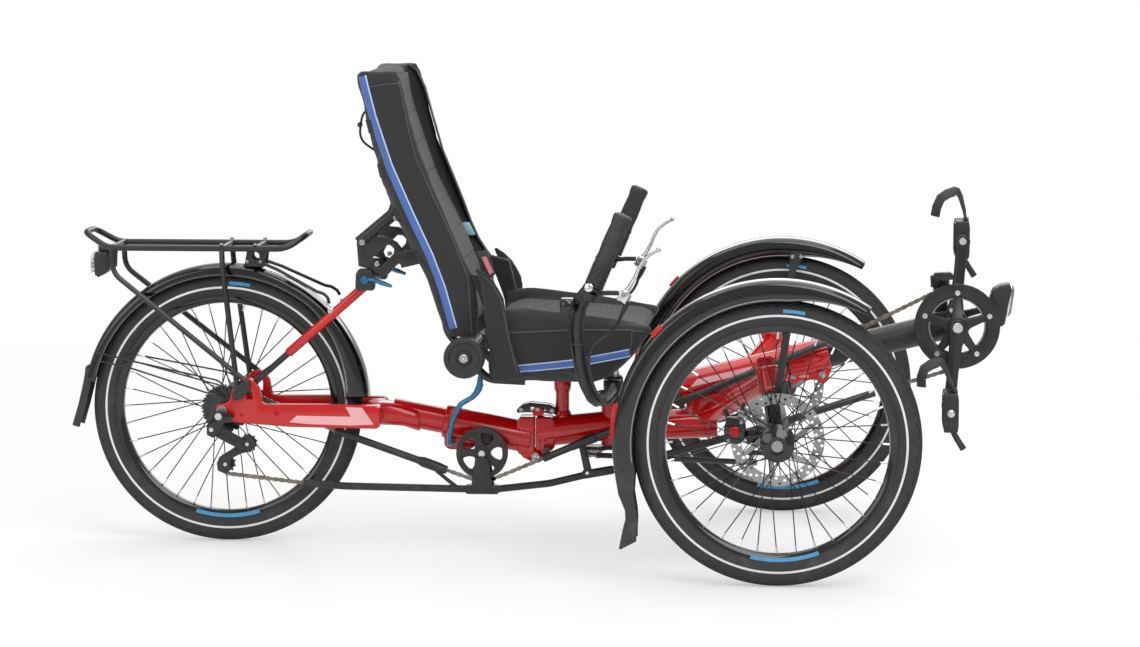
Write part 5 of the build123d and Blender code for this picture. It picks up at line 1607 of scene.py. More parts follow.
@dataclass
class Mudguard(WheelPart):
    """Mudguard: pressed shell with flat side walls, a grey highlight line painted along their edges, flap and
    stays.
    """

    shell_r: float = 281.0
    half: float = 32.0
    start: float = 56.0
    end: float = 190.0

    def skirt(self, angle: float) -> float:
        """Depth of the side walls below the crown at an angle above +X.

        Args:
            angle: Angle about the wheel, in degrees.

        Returns:
            The depth.
        """
        if self.rear:
            return 20.0 + 22.0 * max(0.0, 1.0 - (angle - self.start) / 45.0)
        return 13.0 + 23.0 * min(1.0, (angle - self.start) / 30.0)

    def wall(self, piece: Piece, edge: float) -> Piece:
        """Draws the edge of a turned shell in or out to the depth of the side walls.

        Args:
            piece: The piece to work on.
            edge: Radius inside which the points are moved.

        Returns:
            The same piece.
        """
        middle = at(*self.centre)
        for vertex in piece.data.vertices:
            out = vertex.co - middle
            out.y = 0.0
            radius = out.length * 1000
            if radius < edge:
                angle = math.degrees(math.atan2(out.z, out.x)) % 360
                share = (edge - radius) / 10.0
                radius = edge - share * (self.skirt(angle) - (self.shell_r - edge))
                vertex.co = middle + out.normalized() * radius / 1000 + Vector((0, vertex.co.y - middle.y, 0))
        return piece

    def shell(self) -> None:
        """Crowned shell with flat side walls, and a grey highlight line painted near the lower edge of each.
        """
        r, w = self.shell_r, self.half
        outer = [(r - 20.0, w), (r - 10.0, w - 0.2), (r - 6.0, 0.94 * w), (r - 2.4, 0.80 * w),
                 (r - 0.6, 0.5 * w), (r, 0.2 * w)]
        inner = [(r - 2.2, 0.2 * w), (r - 2.8, 0.5 * w - 0.4), (r - 4.6, 0.80 * w - 1.2),
                 (r - 8.0, 0.94 * w - 1.8), (r - 10.0, w - 2.4), (r - 20.0, w - 2.2)]
        profile = outer + [(a, -b) for a, b in outer[::-1]] + mirrored(inner)
        arc = self.end - self.start
        shell = self.wall(Bench.lathe("shell", profile, self.centre, int(arc / 1.6), True, start=self.start,
                                      arc=arc), r - 10.0)
        self.place(Bench.bevel(shell, 0.5, 2, 60), Palette.GLOSS, "guard_black", smooth=30.0)
        shell.name = f"mudguard_{self.word}_shell"
        # Painted highlight: a thin grey line near the lower edge of each side wall, where the gloss catches
        # the light.
        highlight_lines = []
        for side in (-1, 1):
            band = [(r - 19.2, side * (w - 0.1)), (r - 19.2, side * (w + 0.5)), (r - 18.6, side * (w + 0.5)),
                    (r - 18.6, side * (w - 0.1))]
            line = Bench.lathe("band", band, self.centre, int(arc / 2), True, start=self.start + 3,
                               arc=arc - 6)
            highlight_lines.append(self.wall(line, r - 10.0))
        self.place(Bench.joined(f"mudguard_{self.word}_edging", highlight_lines), Palette.EDGING, "guard_black")

    def front(self) -> None:
        """Flap, stay, red reflectors and bolts of a front mudguard."""
        y = self.centre[1]
        sections = []
        for height, out, front, half in ((206, -276.5, -241, 31), (188, -275, -241, 31),
                                         (158, -270, -243, 29.5), (128, -258, -238, 27),
                                         (112, -257, -237, 26.5), (92, -262, -238, 27), (62, -268, -238, 28)):
            u = [(front, y - half), (out + 5, y - half), (out + 1, y - half + 5), (out - 1, y),
                 (out + 1, y + half - 5), (out + 5, y + half), (front, y + half), (front, y + half - 2.2),
                 (out + 6, y + half - 2.2), (out + 3.4, y + half - 6), (out + 1.6, y),
                 (out + 3.4, y - half + 6), (out + 6, y - half + 2.2), (front, y - half + 2.2)]
            sections.append([(px, py, height + (16 if height < 70 else 0) * (px - out) / 30) for px, py in u])
        flap = Bench.loft("flap", sections)
        self.place(Bench.bevel(flap, 0.5, 2, 50), Palette.FLAP, "guard_black", smooth=50.0)
        flap.name = f"mudguard_{self.word}_flap"
        stay = Bench.strip("stay", [(0, y + 60, 289), (0, y + 60, 316), (1, y + 58, 334), (20, y + 38, 468),
                                    (25, y + 34.6, 482), (27, y + 34.2, 498)],
                           [(14, 0, 0), (14, 0, 0), (13, 0, 0), (13, 0, 0), (22, 0, 0), (26, 0, 0)], 3.4)
        self.place(Bench.bevel(stay, 0.8), Palette.BLACK, "guard_black", [f"mudguard_{self.word}"])
        stay.name = f"mudguard_{self.word}_stay"
        head = [(0.0, 2.4), (3.2, 2.4), (4.2, 0.8), (4.2, -0.4), (0.0, -0.4)]
        bolts = [Bench.lathe("bolt", head, (0, y + 62.2, 304), 14)]
        bolts += [Bench.lathe("bolt", head, (dx, y + 36.0, 491), 14) for dx in (19, 35)]
        self.place(Bench.joined(f"mudguard_{self.word}_bolts", bolts), Palette.SILVER, "steel")
        leaf = [(279.6, -3.0), (283.6, -5.0), (285.2, -12.0), (284.4, -20.0), (281.6, -27.0), (276.6, -29.4)]
        leaves = [Bench.bevel(Bench.lathe("leaf", leaf, self.centre, 12, True, start=start, arc=arc), 1.6, 3,
                              50) for start, arc in ((134.4, 5.0), (166.0, 12.5))]
        self.place(Bench.joined(f"mudguard_{self.word}_reflectors", leaves), Palette.RED_DEEP, "guard_black")

    def behind(self) -> None:
        """Flap, tab, strut and wire stays of the rear mudguard."""
        sections = []
        for px, pz, half in ((-1254, 318, 29), (-1256, 304, 28), (-1260, 286, 25), (-1269, 250, 23.5),
                             (-1281, 210, 24)):
            u = [(px + 10, -half), (px - 1, -half), (px - 4, -half + 4), (px - 4.6, 0), (px - 4, half - 4),
                 (px - 1, half), (px + 10, half), (px + 10, half - 2.2), (px, half - 2.2),
                 (px - 1.8, half - 5), (px - 2.2, 0), (px - 1.8, 5 - half), (px, 2.2 - half),
                 (px + 10, 2.2 - half)]
            sections.append([(ux, uy, pz - 0.25 * (ux - px)) for ux, uy in u])
        flap = Bench.bevel(Bench.loft("mudguard_rear_flap", sections), 0.5, 2, 40)
        dress(flap, Palette.FLAP, self.body, smooth=50.0)
        tab = Bench.plate("tab", [(-812, 423), (-801, 411), (-796, 415.4), (-806.6, 427.4)], -10, 10, 1.0)
        strut = Bench.block("strut", (-946, -8, 500), (-934, 8, 504), 1.0)
        piece = Bench.joined("mudguard_rear_tabs", [tab, strut])
        dress(piece, Palette.BLACK, self.body, ["mudguard_rear"])
        wires = [Bench.tube("wire", [(-1236, -31, 346), (-1180, -40, 334), (-1010, -58, 300),
                                     (-994, -66, 288)], 1.7, 20, 8),
                 Bench.tube("wire", [(-1230, -31, 330), (-1170, -40, 318), (-1020, -58, 274),
                                     (-1000, -66, 262)], 1.7, 20, 8)]
        dress(Bench.both(Bench.joined("mudguard_rear_wires", wires)), Palette.BLACK, self.body)

    def build(self) -> None:
        """Builds the mudguard."""
        self.shell()
        if self.rear:
            self.behind()
        else:
            self.front()
        LOG.info("mudguard %s", self.word)


@dataclass
class Drive:
    """Chain, derailleur and front changer."""

    pitch: float = 12.7
    ring_r: float = 71.5
    idler_r: float = 51.0

    def link(self, wide: bool) -> Piece:
        """One chain link at the front axle's foot: two waisted side plates and their rollers.

        Args:
            wide: Whether it is an outer link.

        Returns:
            The link.
        """
        half, width = self.pitch / 2, 3.2 if wide else 2.0
        outline = [(-half - 3.6, 0), (-half - 2.0, 3.4), (-half + 1.6, 3.6), (0, 2.6), (half - 1.6, 3.6),
                   (half + 2.0, 3.4), (half + 3.6, 0), (half + 2.0, -3.4), (half - 1.6, -3.6), (0, -2.6),
                   (-half + 1.6, -3.6), (-half - 2.0, -3.4)]
        parts = [Bench.plate("side", outline, y, y + 0.9, 0) for y in (-width, width - 0.9)]
        if not wide:
            parts += [Bench.lathe("roller", [(0.0, -1.6), (3.6, -1.6), (3.6, 1.6), (0.0, 1.6)], (x, 0, 0), 8)
                      for x in (-half, half)]
        return Bench.joined("link", parts)

    def chain(self, name: str, route: Sequence[Point]) -> Piece:
        """Chain of links laid along a route of straight runs and arcs.

        Args:
            name: The piece's name.
            route: Points that the chain passes.

        Returns:
            The chain.
        """
        points = [Vector(p) for p in route]
        models = [self.link(False), self.link(True)]
        links, carried, count = [], self.pitch / 2, 0
        for a, b in zip(points, points[1:]):
            run = b - a
            length = run.length
            while carried <= length:
                spot = a + run * (carried / length)
                pitch_angle = math.atan2(-run.z, math.hypot(run.x, run.y))
                yaw = math.atan2(run.y, run.x)
                turn = Matrix.Rotation(yaw, 4, "Z") @ Matrix.Rotation(pitch_angle, 4, "Y")
                home = Matrix.Translation(-at(0, 0, 0))
                links.append(Bench.copy(models[count % 2], f"{name}.{count}",
                                        Matrix.Translation(at(*spot)) @ turn @ home))
                carried += self.pitch
                count += 1
            carried -= length
        for model in models:
            bpy.data.objects.remove(model)
        return Bench.joined(name, links)

    def chains(self) -> None:
        """Chain runs on each body."""
        ring = []
        for degrees in range(116, -77, -12):
            t = math.radians(degrees)
            ring.append((CRANK[0] + self.ring_r * math.cos(t), CHAIN_Y, CRANK[2] + self.ring_r * math.sin(t)))
        ahead = [drive_point(152), *ring, (176, CHAIN_Y, 289.5)]
        front = self.chain("chain_ahead", ahead)
        dress(front, Palette.CHAIN, "boom", ["chain_front"])
        wrap = []
        for degrees in (-19.2, -12, -4, 4, 12, 19, 23):
            t = math.radians(degrees)
            wrap.append((IDLER[0] + self.idler_r * math.sin(t), CHAIN_Y,
                         IDLER[2] - self.idler_r * math.cos(t)))
        under = self.chain("chain_under_idler", [drive_point(-598), *wrap])
        dress(under, Palette.CHAIN, "frame_middle")
        across = self.chain("chain_across_hinge", [wrap[-1], drive_point(-425)])
        dress(across, Palette.CHAIN, "")
        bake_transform(across)
        hose = Bench.tube("return_hose", [(-504, CHAIN_Y, 106), (-412, CHAIN_Y, 117), (-352, CHAIN_Y, 132)],
                          6.6, 120, 16, steps=16)
        Bench.edit(hose)
        bpy.ops.mesh.subdivide(number_cuts=2)
        Bench.done()
        dress(hose, Palette.TUBING, "", ["chain_middle"])
        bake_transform(hose)
        back = self.chain("chain_behind", [drive_point(-802), (-985, -33, 288.9)])
        low = self.chain("chain_low", [(-998, -43, 128.5), (-858, CHAIN_Y, 113)])
        dress(Bench.joined("chain_behind", [back, low]), Palette.CHAIN, "frame_rear", ["chain_rear"])

    def derailleur(self) -> None:
        """Rear derailleur: hanger, body, linkage, cage, and jockey wheels with teeth."""
        hanger = Bench.plate("hanger", [(-1012, 246), (-984, 244), (-980, 234), (-986, 228), (-1010, 228)],
                             -86, -70.2, 1.2)
        body = Bench.plate("body", [(-1014, 248), (-996, 250), (-990, 240), (-1002, 210), (-1014, 200),
                                    (-1026, 206), (-1026, 222)], -96, -84, 2.6, 3)
        dress(Bench.joined("derailleur_body", [hanger, body]), Palette.GLOSS, "frame_rear",
              ["rear_derailleur"])
        arms = [Bench.strip("arm", [(-1018, -90 + d, 219 + e), (-996, -84 + d, 206 + e),
                                    (-962, -66 + d, 184 + e)], [(3, 0, 10), (3, 0, 11), (3, 0, 10)], 6.0)
                for d, e in ((0.0, 5.0), (3.0, -7.0))]
        dress(Bench.bevel(Bench.joined("derailleur_links", arms), 0.8), Palette.ANODISED, "frame_rear")
        outline = [(-974, 192), (-962, 202), (-948, 196), (-943, 184), (-950, 172), (-968, 168), (-984, 160),
                   (-990, 152), (-988, 138), (-998, 130), (-1012, 136), (-1014, 150), (-1008, 162),
                   (-992, 172), (-980, 180)]
        outer = Bench.plate("outer", outline, -61.5, -58.8, 0.8)
        dress(outer, Palette.PLASTIC, "frame_rear")
        outer.name = "derailleur_cage"
        wheels = []
        tooth = ((0.0, 14.4), (0.35, 14.8), (0.45, 17.8), (0.55, 17.8), (0.65, 14.8))
        cap = [(0.0, -58.6), (5.5, -58.6), (6.5, -57.6), (6.5, -37.0), (0.0, -37.0)]
        for place in ((-958.0, 0, 185.0), (-998.0, 0, 148.0)):
            wheels.append(Bench.plate("jockey", toothed(place, 11, tooth), -48.5, -41.5, 0.4, 1))
            wheels.append(Bench.lathe("cap", cap, place, 18))
        dress(Bench.joined("jockey_wheels", wheels), Palette.PLASTIC, "frame_rear")
        bolts = []
        for x, y, z, r in ((-1004, -96.4, 240, 6.4), (-1017, -96.4, 216, 4.0), (-998, -61.8, 148, 3.4),
                           (-958, -61.8, 185, 3.4)):
            profile = [(0.0, -1.2), (0.4 * r, -1.2), (0.45 * r, -2.2), (r, -2.2), (r, 1.0), (0.0, 1.0)]
            bolts.append(Bench.lathe("bolt", profile, (x, y, z), 16))
        dress(Bench.joined("derailleur_bolts", bolts), Palette.SILVER, "frame_rear")

    def changer(self) -> None:
        """Front changer: clamp band, parallelogram and cage."""
        slope = Vector((-0.045, 0, 1)).normalized()
        band = mirrored([(17.0, 9.4), (16.4, 10.5), (13.4, 10.5)])
        clamp = Bench.lathe("clamp", band, (284.6, 0, 483.5), 28, True, slope)
        lugs = Bench.block("lug", (268, -6, 474), (276, 6, 492), 1.2)
        arm = Bench.strip("arm", [(286, -16, 490), (284, -36, 490)], [(0, 0, 9), (0, 0, 9)], 11)
        cage = Bench.plate("cage", [(270, 492), (274, 503), (300, 504), (306, 500), (306, 491), (290, 490)],
                           -51.6, -34.4, 0)
        slot = Bench.block("slot", (264, -48, 478), (320, -39, 500), 0)
        Bench.bevel(Bench.cut(cage, slot), 0.6, 2)
        whole = Bench.joined("changer", [clamp, lugs, Bench.bevel(arm, 1.5), cage])
        dress(whole, Palette.ANODISED, "boom", ["front_changer"])
        whole.name = "front_changer_body"

    def build(self) -> None:
        """Builds the drive's chain and changers."""
        self.chains()
        self.derailleur()
        self.changer()
        LOG.info("drive")


@dataclass
class Knuckle(WheelPart):
    """Knuckle of a front wheel: kingpin, body, stub axle, steering arm and disc caliper."""

    disc_y: float = -347.0
    arm_z: float = 218.0
    rod_r: float = 5.0

    def place(self, piece: Piece, finish: Finish, slot: str, replaces: Sequence[str] = (),
              smooth: float = 35.0) -> Piece:
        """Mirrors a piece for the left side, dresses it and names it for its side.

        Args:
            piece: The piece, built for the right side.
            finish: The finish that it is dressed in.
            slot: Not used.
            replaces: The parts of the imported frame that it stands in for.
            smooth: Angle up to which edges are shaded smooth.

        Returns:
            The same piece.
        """
        name = piece.name.split(".")[0]
        super().place(piece, finish, slot, replaces, smooth)
        piece.name = f"{name}_{self.word}"
        return piece

    def upright(self) -> None:
        """Kingpin, its cap and body, stub axle and steering arm."""
        lean = (Vector(kingpin(380)) - Vector(kingpin(314))).normalized()
        body = [(0.0, -105.0), (12.4, -105.0), (13.6, -103.6), (13.6, -94.0), (15.0, -91.0), (15.0, -84.0),
                (14.2, -82.0), (14.2, -48.0), (15.0, -46.0), (15.0, -6.0), (16.8, -4.0), (16.8, -0.6),
                (16.2, 0.0), (0.0, 0.0)]
        turned = Bench.lathe("body", body, kingpin(316.6), 32, axis=lean)
        shoulder = Bench.lathe("shoulder", [(0.0, 22.0), (14.6, 22.0), (17.0, 20.0), (17.0, 4.0), (13.0, 0.0),
                                            (0.0, 0.0)], (0, -345.4, AXLE_Z), 32)
        web = Bench.loft("web", [[(-14, -318, 228), (-14, -318, 262), (0, -304, 268), (6, -300, 226)],
                                 [(-12, -338, 231), (-12, -338, 259), (10, -338, 259), (10, -338, 231)]])
        root = Vector(kingpin(self.arm_z))
        end = root - Vector((50, 0, 0))
        arm = Bench.strip("arm", [root, root - Vector((24, 0, 1)), end], [(0, 15, 0), (0, 13, 0), (0, 13, 0)],
                          7.0)
        eye = Bench.lathe("eye", mirrored([(8.4, 3.0), (7.6, 3.8), (0.0, 3.8)]), end, 20, axis=UP)
        parts = [turned, shoulder, Bench.bevel(web, 2.5, 3), Bench.bevel(arm, 1.4), eye]
        self.place(Bench.joined("upright", parts), Palette.GLOSS, "tube_black", [self.body])
        shaft = Bench.lathe("kingpin", [(0.0, 0.0), (9.95, 0.0), (9.95, 64.0), (0.0, 64.0)], kingpin(315.0),
                            32, axis=lean)
        axle = Bench.lathe("stub", [(0.0, 76.0), (9.6, 76.0), (9.95, 75.4), (9.95, 0.0), (0.0, 0.0)],
                           (0, -347.4, AXLE_Z), 32, axis=(0, -1, 0))
        pin = [(0.0, -25.8), (3.2, -25.8), (3.45, -25.4), (3.45, 0.0), (0.0, 0.0)]
        pin = Bench.lathe("pin", pin, end, 18, axis=UP)
        nut = [(0.0, -31.0), (3.4, -31.0), (3.4, -30.0), (5.8, -29.8), (6.0, -27.0), (5.8, -25.4),
               (0.0, -25.4)]
        nut = Bench.lathe("nut", nut, end, 6, axis=UP)
        self.place(Bench.joined("kingpin", [shaft, axle, pin, nut]), Palette.STEEL, "steel")
        cap_at = kingpin(363.4)
        cap = [(0.0, 17.0), (9.0, 17.0), (12.6, 15.4), (14.8, 12.0), (15.2, 8.0), (15.2, 1.4), (14.4, 0.0),
               (0.0, 0.0)]
        self.place(Bench.lathe("king_cap", cap, cap_at, 32, axis=lean), Palette.RED_DEEP, "frame_red")
        bolt = [(0.0, 15.6), (2.8, 15.6), (3.0, 17.6), (5.2, 17.6), (5.6, 16.8), (5.6, 15.0), (0.0, 15.0)]
        self.place(Bench.lathe("king_bolt", bolt, cap_at, 18, axis=lean), Palette.SILVER, "steel")

    def caliper(self) -> None:
        """Cable disc caliper: halves, arm, knobs, bolts and bracket."""
        outline = [(-90, 240), (-66, 238), (-56, 246), (-54, 266), (-58, 280), (-74, 284), (-88, 280),
                   (-92, 262)]
        inner = Bench.plate("inner", outline, self.disc_y + 4.4, self.disc_y + 17, 3.0, 3)
        outer = Bench.plate("outer", outline, self.disc_y - 8.6, self.disc_y - 4.4, 2.0, 3)
        top = Bench.block("top", (-88, self.disc_y - 6.0, 278.0), (-62, self.disc_y + 8.0, 284.5), 1.8)
        round_one = Bench.lathe("pot", [(0.0, 30.0), (8.6, 30.0), (10.4, 28.0), (12.6, 24.0), (13.0, 16.0),
                                        (0.0, 16.0)], (-74, self.disc_y, 260), 24)
        bracket = Bench.plate("bracket", [(-60, 256), (-52, 238), (-14, 234), (-10, 240), (-10, 256),
                                          (-48, 262)], self.disc_y + 10, self.disc_y + 16, 1.2)
        parts = [inner, outer, top, round_one, bracket]
        self.place(Bench.joined("caliper", parts), Palette.GLOSS, "plastic_black")
        lever = Bench.strip("lever", [(-74, self.disc_y + 26, 262), (-84, self.disc_y + 26, 276),
                                      (-92, self.disc_y + 24, 294)], [(9, 0, 6), (8, 0, 5), (6, 0, 4)], 3.4)
        horn = Bench.tube("horn", [(-62, self.disc_y + 14, 282), (-60, self.disc_y + 16, 300),
                                   (-58, self.disc_y + 18, 306)], 3.4, 8, 12)
        self.place(Bench.joined("caliper_arm", [Bench.bevel(lever, 0.8), horn]), Palette.ANODISED,
                   "plastic_black")
        knob = [(0.0, -10.6), (4.0, -10.6), (4.6, -11.8), (7.8, -11.8), (9.0, -11.0), (9.2, -9.0),
                (7.4, -8.0), (0.0, -8.0)]
        self.place(Bench.lathe("caliper_knob", knob, (-74, self.disc_y, 259), 24), Palette.RED_DEEP,
                   "frame_red")
        bolt = [(0.0, -10.8), (3.2, -10.8), (3.6, -10.0), (3.6, -8.0), (0.0, -8.0)]
        bolts = [Bench.lathe("bolt", bolt, (x, self.disc_y, z), 14) for x, z in ((-84, 244), (-62, 276))]
        self.place(Bench.joined("caliper_bolts", bolts), Palette.STEEL, "steel")
        lug = Bench.plate("guard_lug", [(-7, 286), (7, 286), (6, 300), (-6, 300)], -322, -298, 1.6)
        self.place(lug, Palette.GLOSS, "tube_black")

    def tie_rod(self) -> None:
        """Tie rod with threaded ends and ball joints."""
        inner, outer = Vector((-347.5, -14.0, 165.0)), Vector(kingpin(self.arm_z)) - Vector((50, 0, 17))
        run = (outer - inner).normalized()
        rod = Bench.tube("rod", [inner + run * 26, outer - run * 26], self.rod_r, 0, 20)
        body = f"tie_rod_{self.word}"
        ends = []
        for place, way, r, hole in ((inner, 1, 9.0, 3.6), (outer, -1, 11.0, 6.4)):
            ends.append(Bench.tube("end", [place + run * way * 7, place + run * way * 30], 4.0, 0, 16))
            ring = mirrored([(r, 3.6), (r - 1.0, 4.6), (hole, 4.6)])
            ends.append(Bench.lathe("ring", ring, place, 24, True, UP))
            nut = [(0.0, 0.0), (6.6, 0.0), (6.6, 4.0), (0.0, 4.0)]
            ends.append(Bench.lathe("nut", nut, place + run * way * 29, 6, axis=run * way))
        self.handed(rod, *ends)
        rod.name = f"{body}_bar"
        dress(rod, Palette.ANODISED, body, [body])
        dress(Bench.joined(f"{body}_ends", ends), Palette.STEEL, body)

    def build(self) -> None:
        """Builds the knuckle and its tie rod."""
        self.upright()
        self.caliper()
        self.tie_rod()
        LOG.info("knuckle %s", self.word)


@dataclass
class Handlebar:
    """Under-seat handlebar with its steering shaft, grips, levers and cables."""

    body: str = "handlebar"
    tube_r: float = 11.0
    grip_low: Point = (-318.0, -296.0, 500.0)
    grip_top: Point = (-266.0, -300.0, 624.0)

    def grip(self, share: float, inward: float = 0.0) -> Point:
        """Point of the grip's axis between its low end and its top.

        Args:
            share: Share of the way up the grip.
            inward: Distance towards the middle of the machine.

        Returns:
            The point.
        """
        low, top = Vector(self.grip_low), Vector(self.grip_top)
        place = low + (top - low) * share
        return (place.x, place.y + inward, place.z)

    def bar(self) -> None:
        """The bent bar, its clamp and the shaft that turns in the frame."""
        half = [(-300, 0, 289), (-304, -110, 289), (-312, -190, 289), (-324, -230, 297), (-334, -244, 325),
                (-342, -256, 366), (-347, -268, 424), (-341, -284, 468), self.grip(0.0)]
        tube = Bench.both(Bench.tube("bar", half, self.tube_r, 60, 28, steps=8), "handlebar_tube")
        dress(tube, Palette.BLACK, self.body, ["handlebar"])
        shaft = Bench.lathe("shaft", [(0.0, 0.0), (9.8, 0.0), (9.8, 90.0), (0.0, 90.0)], (-300, 0, 172.6), 32,
                            axis=UP)
        hub = [(0.0, 0.0), (17.0, 0.0), (18.0, 1.0), (18.0, 16.0), (15.6, 17.0), (15.6, 20.0), (18.0, 21.0),
               (18.0, 36.0), (16.8, 37.6), (8.0, 38.6), (0.0, 38.6)]
        clamp = Bench.lathe("clamp", hub, (-300, 0, 262.4), 36, axis=UP)
        caps = [Bench.block("cap", (-316, y, 276), (-284, y + 12, 302), 3.0, 3) for y in (-34, 22)]
        lever = Bench.plate("lever", [(-355, 174.6), (-288, 174.6), (-288, 179.6), (-355, 179.6)], -21.6,
                            21.6, 1.4)
        dress(Bench.joined("handlebar_clamp", [clamp, *caps, lever]), Palette.ANODISED, self.body)
        pins = [shaft]
        pin = [(0.0, 0.0), (3.6, 0.0), (4.0, 0.8), (4.0, 17.0), (0.0, 17.0)]
        head = [(0.0, 0.0), (3.2, 0.0), (3.4, 0.6), (3.4, 2.8), (0.0, 2.8)]
        pins += [Bench.lathe("pin", pin, (-347.5, y, 158), 18, axis=UP) for y in (-14.0, 14.0)]
        pins += [Bench.lathe("bolt", head, (x, y, 301.6), 14, axis=UP) for y in (-28, 28)
                 for x in (-311, -289)]
        dress(Bench.joined("handlebar_pins", pins), Palette.STEEL, self.body)

    def grips(self) -> None:
        """Waisted rubber grips, ribbed twist shifters, shifter pods, black rings and silver windows."""
        low, top = Vector(self.grip_low), Vector(self.grip_top)
        run = (top - low).normalized()
        length = (top - low).length
        profile = [(0.0, length + 1.0), (11.0, length + 0.6), (15.6, length - 1.4), (16.8, length - 5.0),
                   (16.4, length - 14.0), (15.2, length - 22.0), (16.2, length - 40.0), (16.5, length - 58.0),
                   (15.4, 60.0), (15.8, 58.0), (15.8, 54.0), (0.0, 54.0)]
        grip = Bench.lathe("grip", profile, low, 48, axis=run)
        dress(Bench.both(grip, "grip_rubber"), Palette.GRIP, self.body, ["grips"], 40.0)
        ribs = [(0.0, 1.5), (16.4, 1.5)]
        for k in range(9):
            height = 2.5 + k * 4.6
            ribs += [(17.0, height), (17.0, height + 2.6), (15.8, height + 3.2), (15.8, height + 4.0)]
        ribs += [(16.2, 46.0), (17.2, 50.0), (16.0, 53.6), (0.0, 53.6)]
        twist = Bench.lathe("twist", ribs, low, 40, axis=run)
        dress(Bench.both(twist, "twist_shifters"), Palette.GRIP, self.body)
        pod = Bench.tube("pod", [(-351, -290, 473), (-338, -292, 484), (-324, -294, 494)], 12.0, 0, 24,
                         (6.5, 10.0, 15.0))
        dress(Bench.both(Bench.bevel(pod, 1.2), "shifter_pods"), Palette.PLASTIC, self.body)
        ring = [(11.2, -1.0), (16.8, -1.0), (17.5, -0.2), (17.5, 3.2), (16.8, 4.0), (11.2, 4.0)]
        ring = Bench.lathe("ring", ring, self.grip(-0.035), 36, True, run)
        dress(Bench.both(ring, "grip_rings"), Palette.PLASTIC, self.body)
        oval = Bench.lathe("window", [(0.0, 1.4), (6.0, 1.4), (7.4, 0.6), (7.6, -1.0), (0.0, -1.0)],
                           (-325, -318.6, 501), 24, axis=(-0.2, -1, 0.1))
        dress(Bench.both(oval, "grip_windows"), Palette.SILVER, self.body)

    def levers(self) -> None:
        """Brake levers: clamp, bracket, thin curved blade, barrel and cable end."""
        low = Vector(self.grip_low)
        run = (Vector(self.grip_top) - low).normalized()
        band = mirrored([(14.4, 6.2), (13.6, 7.0), (11.2, 7.0)])
        clamp = Bench.lathe("clamp", band, low - run * 18, 32, True, run)
        arm = Bench.strip("arm", [(-314, -298, 488), (-294, -299, 490), (-274, -300, 490)],
                          [(0, 9, 0), (0, 8, 0), (0, 9, 0)], 8.0)
        dress(Bench.both(Bench.joined("arm", [clamp, Bench.bevel(arm, 1.8, 3)]), "brake_lever_clamps"),
              Palette.PLASTIC, self.body, ["brake_levers"])
        blade = Bench.tube("blade", [(-276, -300, 478), (-266, -300, 488), (-256, -300, 500),
                                     (-246, -300, 518), (-240, -300, 534), (-232, -300, 547),
                                     (-220, -300, 557), (-208, -300, 564)], 4.0, 0, 16,
                           (3.6, 4.8, 4.0, 3.4, 3.2, 3.0, 2.8, 2.6))
        ball = Bench.lathe("ball", [(0.0, -4.4), (3.2, -3.2), (4.4, 0.0), (3.2, 3.2), (0.0, 4.4)],
                           (-206.5, -300, 565), 18)
        housing = Bench.loft("housing", [
            [(-277, -305, 480), (-270, -305, 496), (-270, -295, 496), (-277, -295, 480)],
            [(-268, -306, 474), (-259, -306, 495), (-259, -294, 495), (-268, -294, 474)],
            [(-262, -304, 468), (-252, -304, 484), (-252, -296, 484), (-262, -296, 468)]])
        dress(Bench.both(Bench.joined("blade", [blade, ball, Bench.bevel(housing, 2.4, 3)]),
                         "brake_lever_blades"), Palette.SILVER, self.body)
        barrel = Bench.tube("barrel", [(-259, -300, 476), (-265, -300, 462), (-270, -300, 452)], 4.6, 0, 16,
                            (5.4, 4.6, 3.0))
        dress(Bench.both(barrel, "brake_barrels"), Palette.PLASTIC, self.body)
        pod = Bench.block("grip_pod", (-376, -304, 453), (-350, -276, 480), 5.0, 4)
        dome = Bench.lathe("dome", [(0.0, 4.4), (7.0, 3.8), (10.0, 1.8), (10.6, -0.6), (0.0, -0.6)],
                           (-363, -304.4, 467), 28, axis=(0, -1, 0))
        arm = Bench.strip("arm", [(-352, -290, 474), (-340, -291, 478), (-330, -292, 482)], [(0, 12, 0)] * 3,
                          5.0)
        dress(Bench.joined("bar_pod", [pod, dome, Bench.bevel(arm, 1.2)]), Palette.GLOSS, self.body)
        pivots = Bench.lathe("pivot", mirrored([(4.2, 6.8), (3.2, 7.6), (0.0, 7.6)]), (-266, -300, 488), 18)
        dress(Bench.both(pivots, "brake_pivots"), Palette.STEEL, self.body)

    def cables(self) -> None:
        """Cable housings clipped along the bar."""
        brake = Bench.cable("brake", [(-270, -300, 453), (-274, -298, 436), (-290, -292, 418),
                                      (-322, -282, 400), (-330, -270, 370), (-324, -257, 330),
                                      (-314, -245, 306), (-306, -226, 290), (-300, -190, 277),
                                      (-296, -110, 276), (-294, -40, 275)], 2.7)
        shift = Bench.cable("shift", [(-351, -290, 473), (-361, -286, 458), (-362, -276, 430),
                                      (-356, -264, 380), (-348, -252, 335), (-336, -238, 304),
                                      (-324, -216, 285), (-318, -180, 276), (-314, -110, 275),
                                      (-312, -40, 275)], 2.7)
        clips = []
        for place, way, r in (((-345, -262, 395), (5, 11, 58), 14.0), ((-312, -150, 287), (8, 80, 0), 14.6)):
            clips.append(Bench.lathe("clip", mirrored([(r, 2.4), (11.0, 2.4)]), place, 20, True, way))
        dress(Bench.both(Bench.joined("bar_cables", [brake, shift])), Palette.CABLE, self.body,
              smooth=60.0)
        dress(Bench.both(Bench.joined("bar_clips", clips)), Palette.PLASTIC, self.body)

    def build(self) -> None:
        """Builds the handlebar."""
        self.bar()
        self.grips()
        self.levers()
        self.cables()
        LOG.info("handlebar")


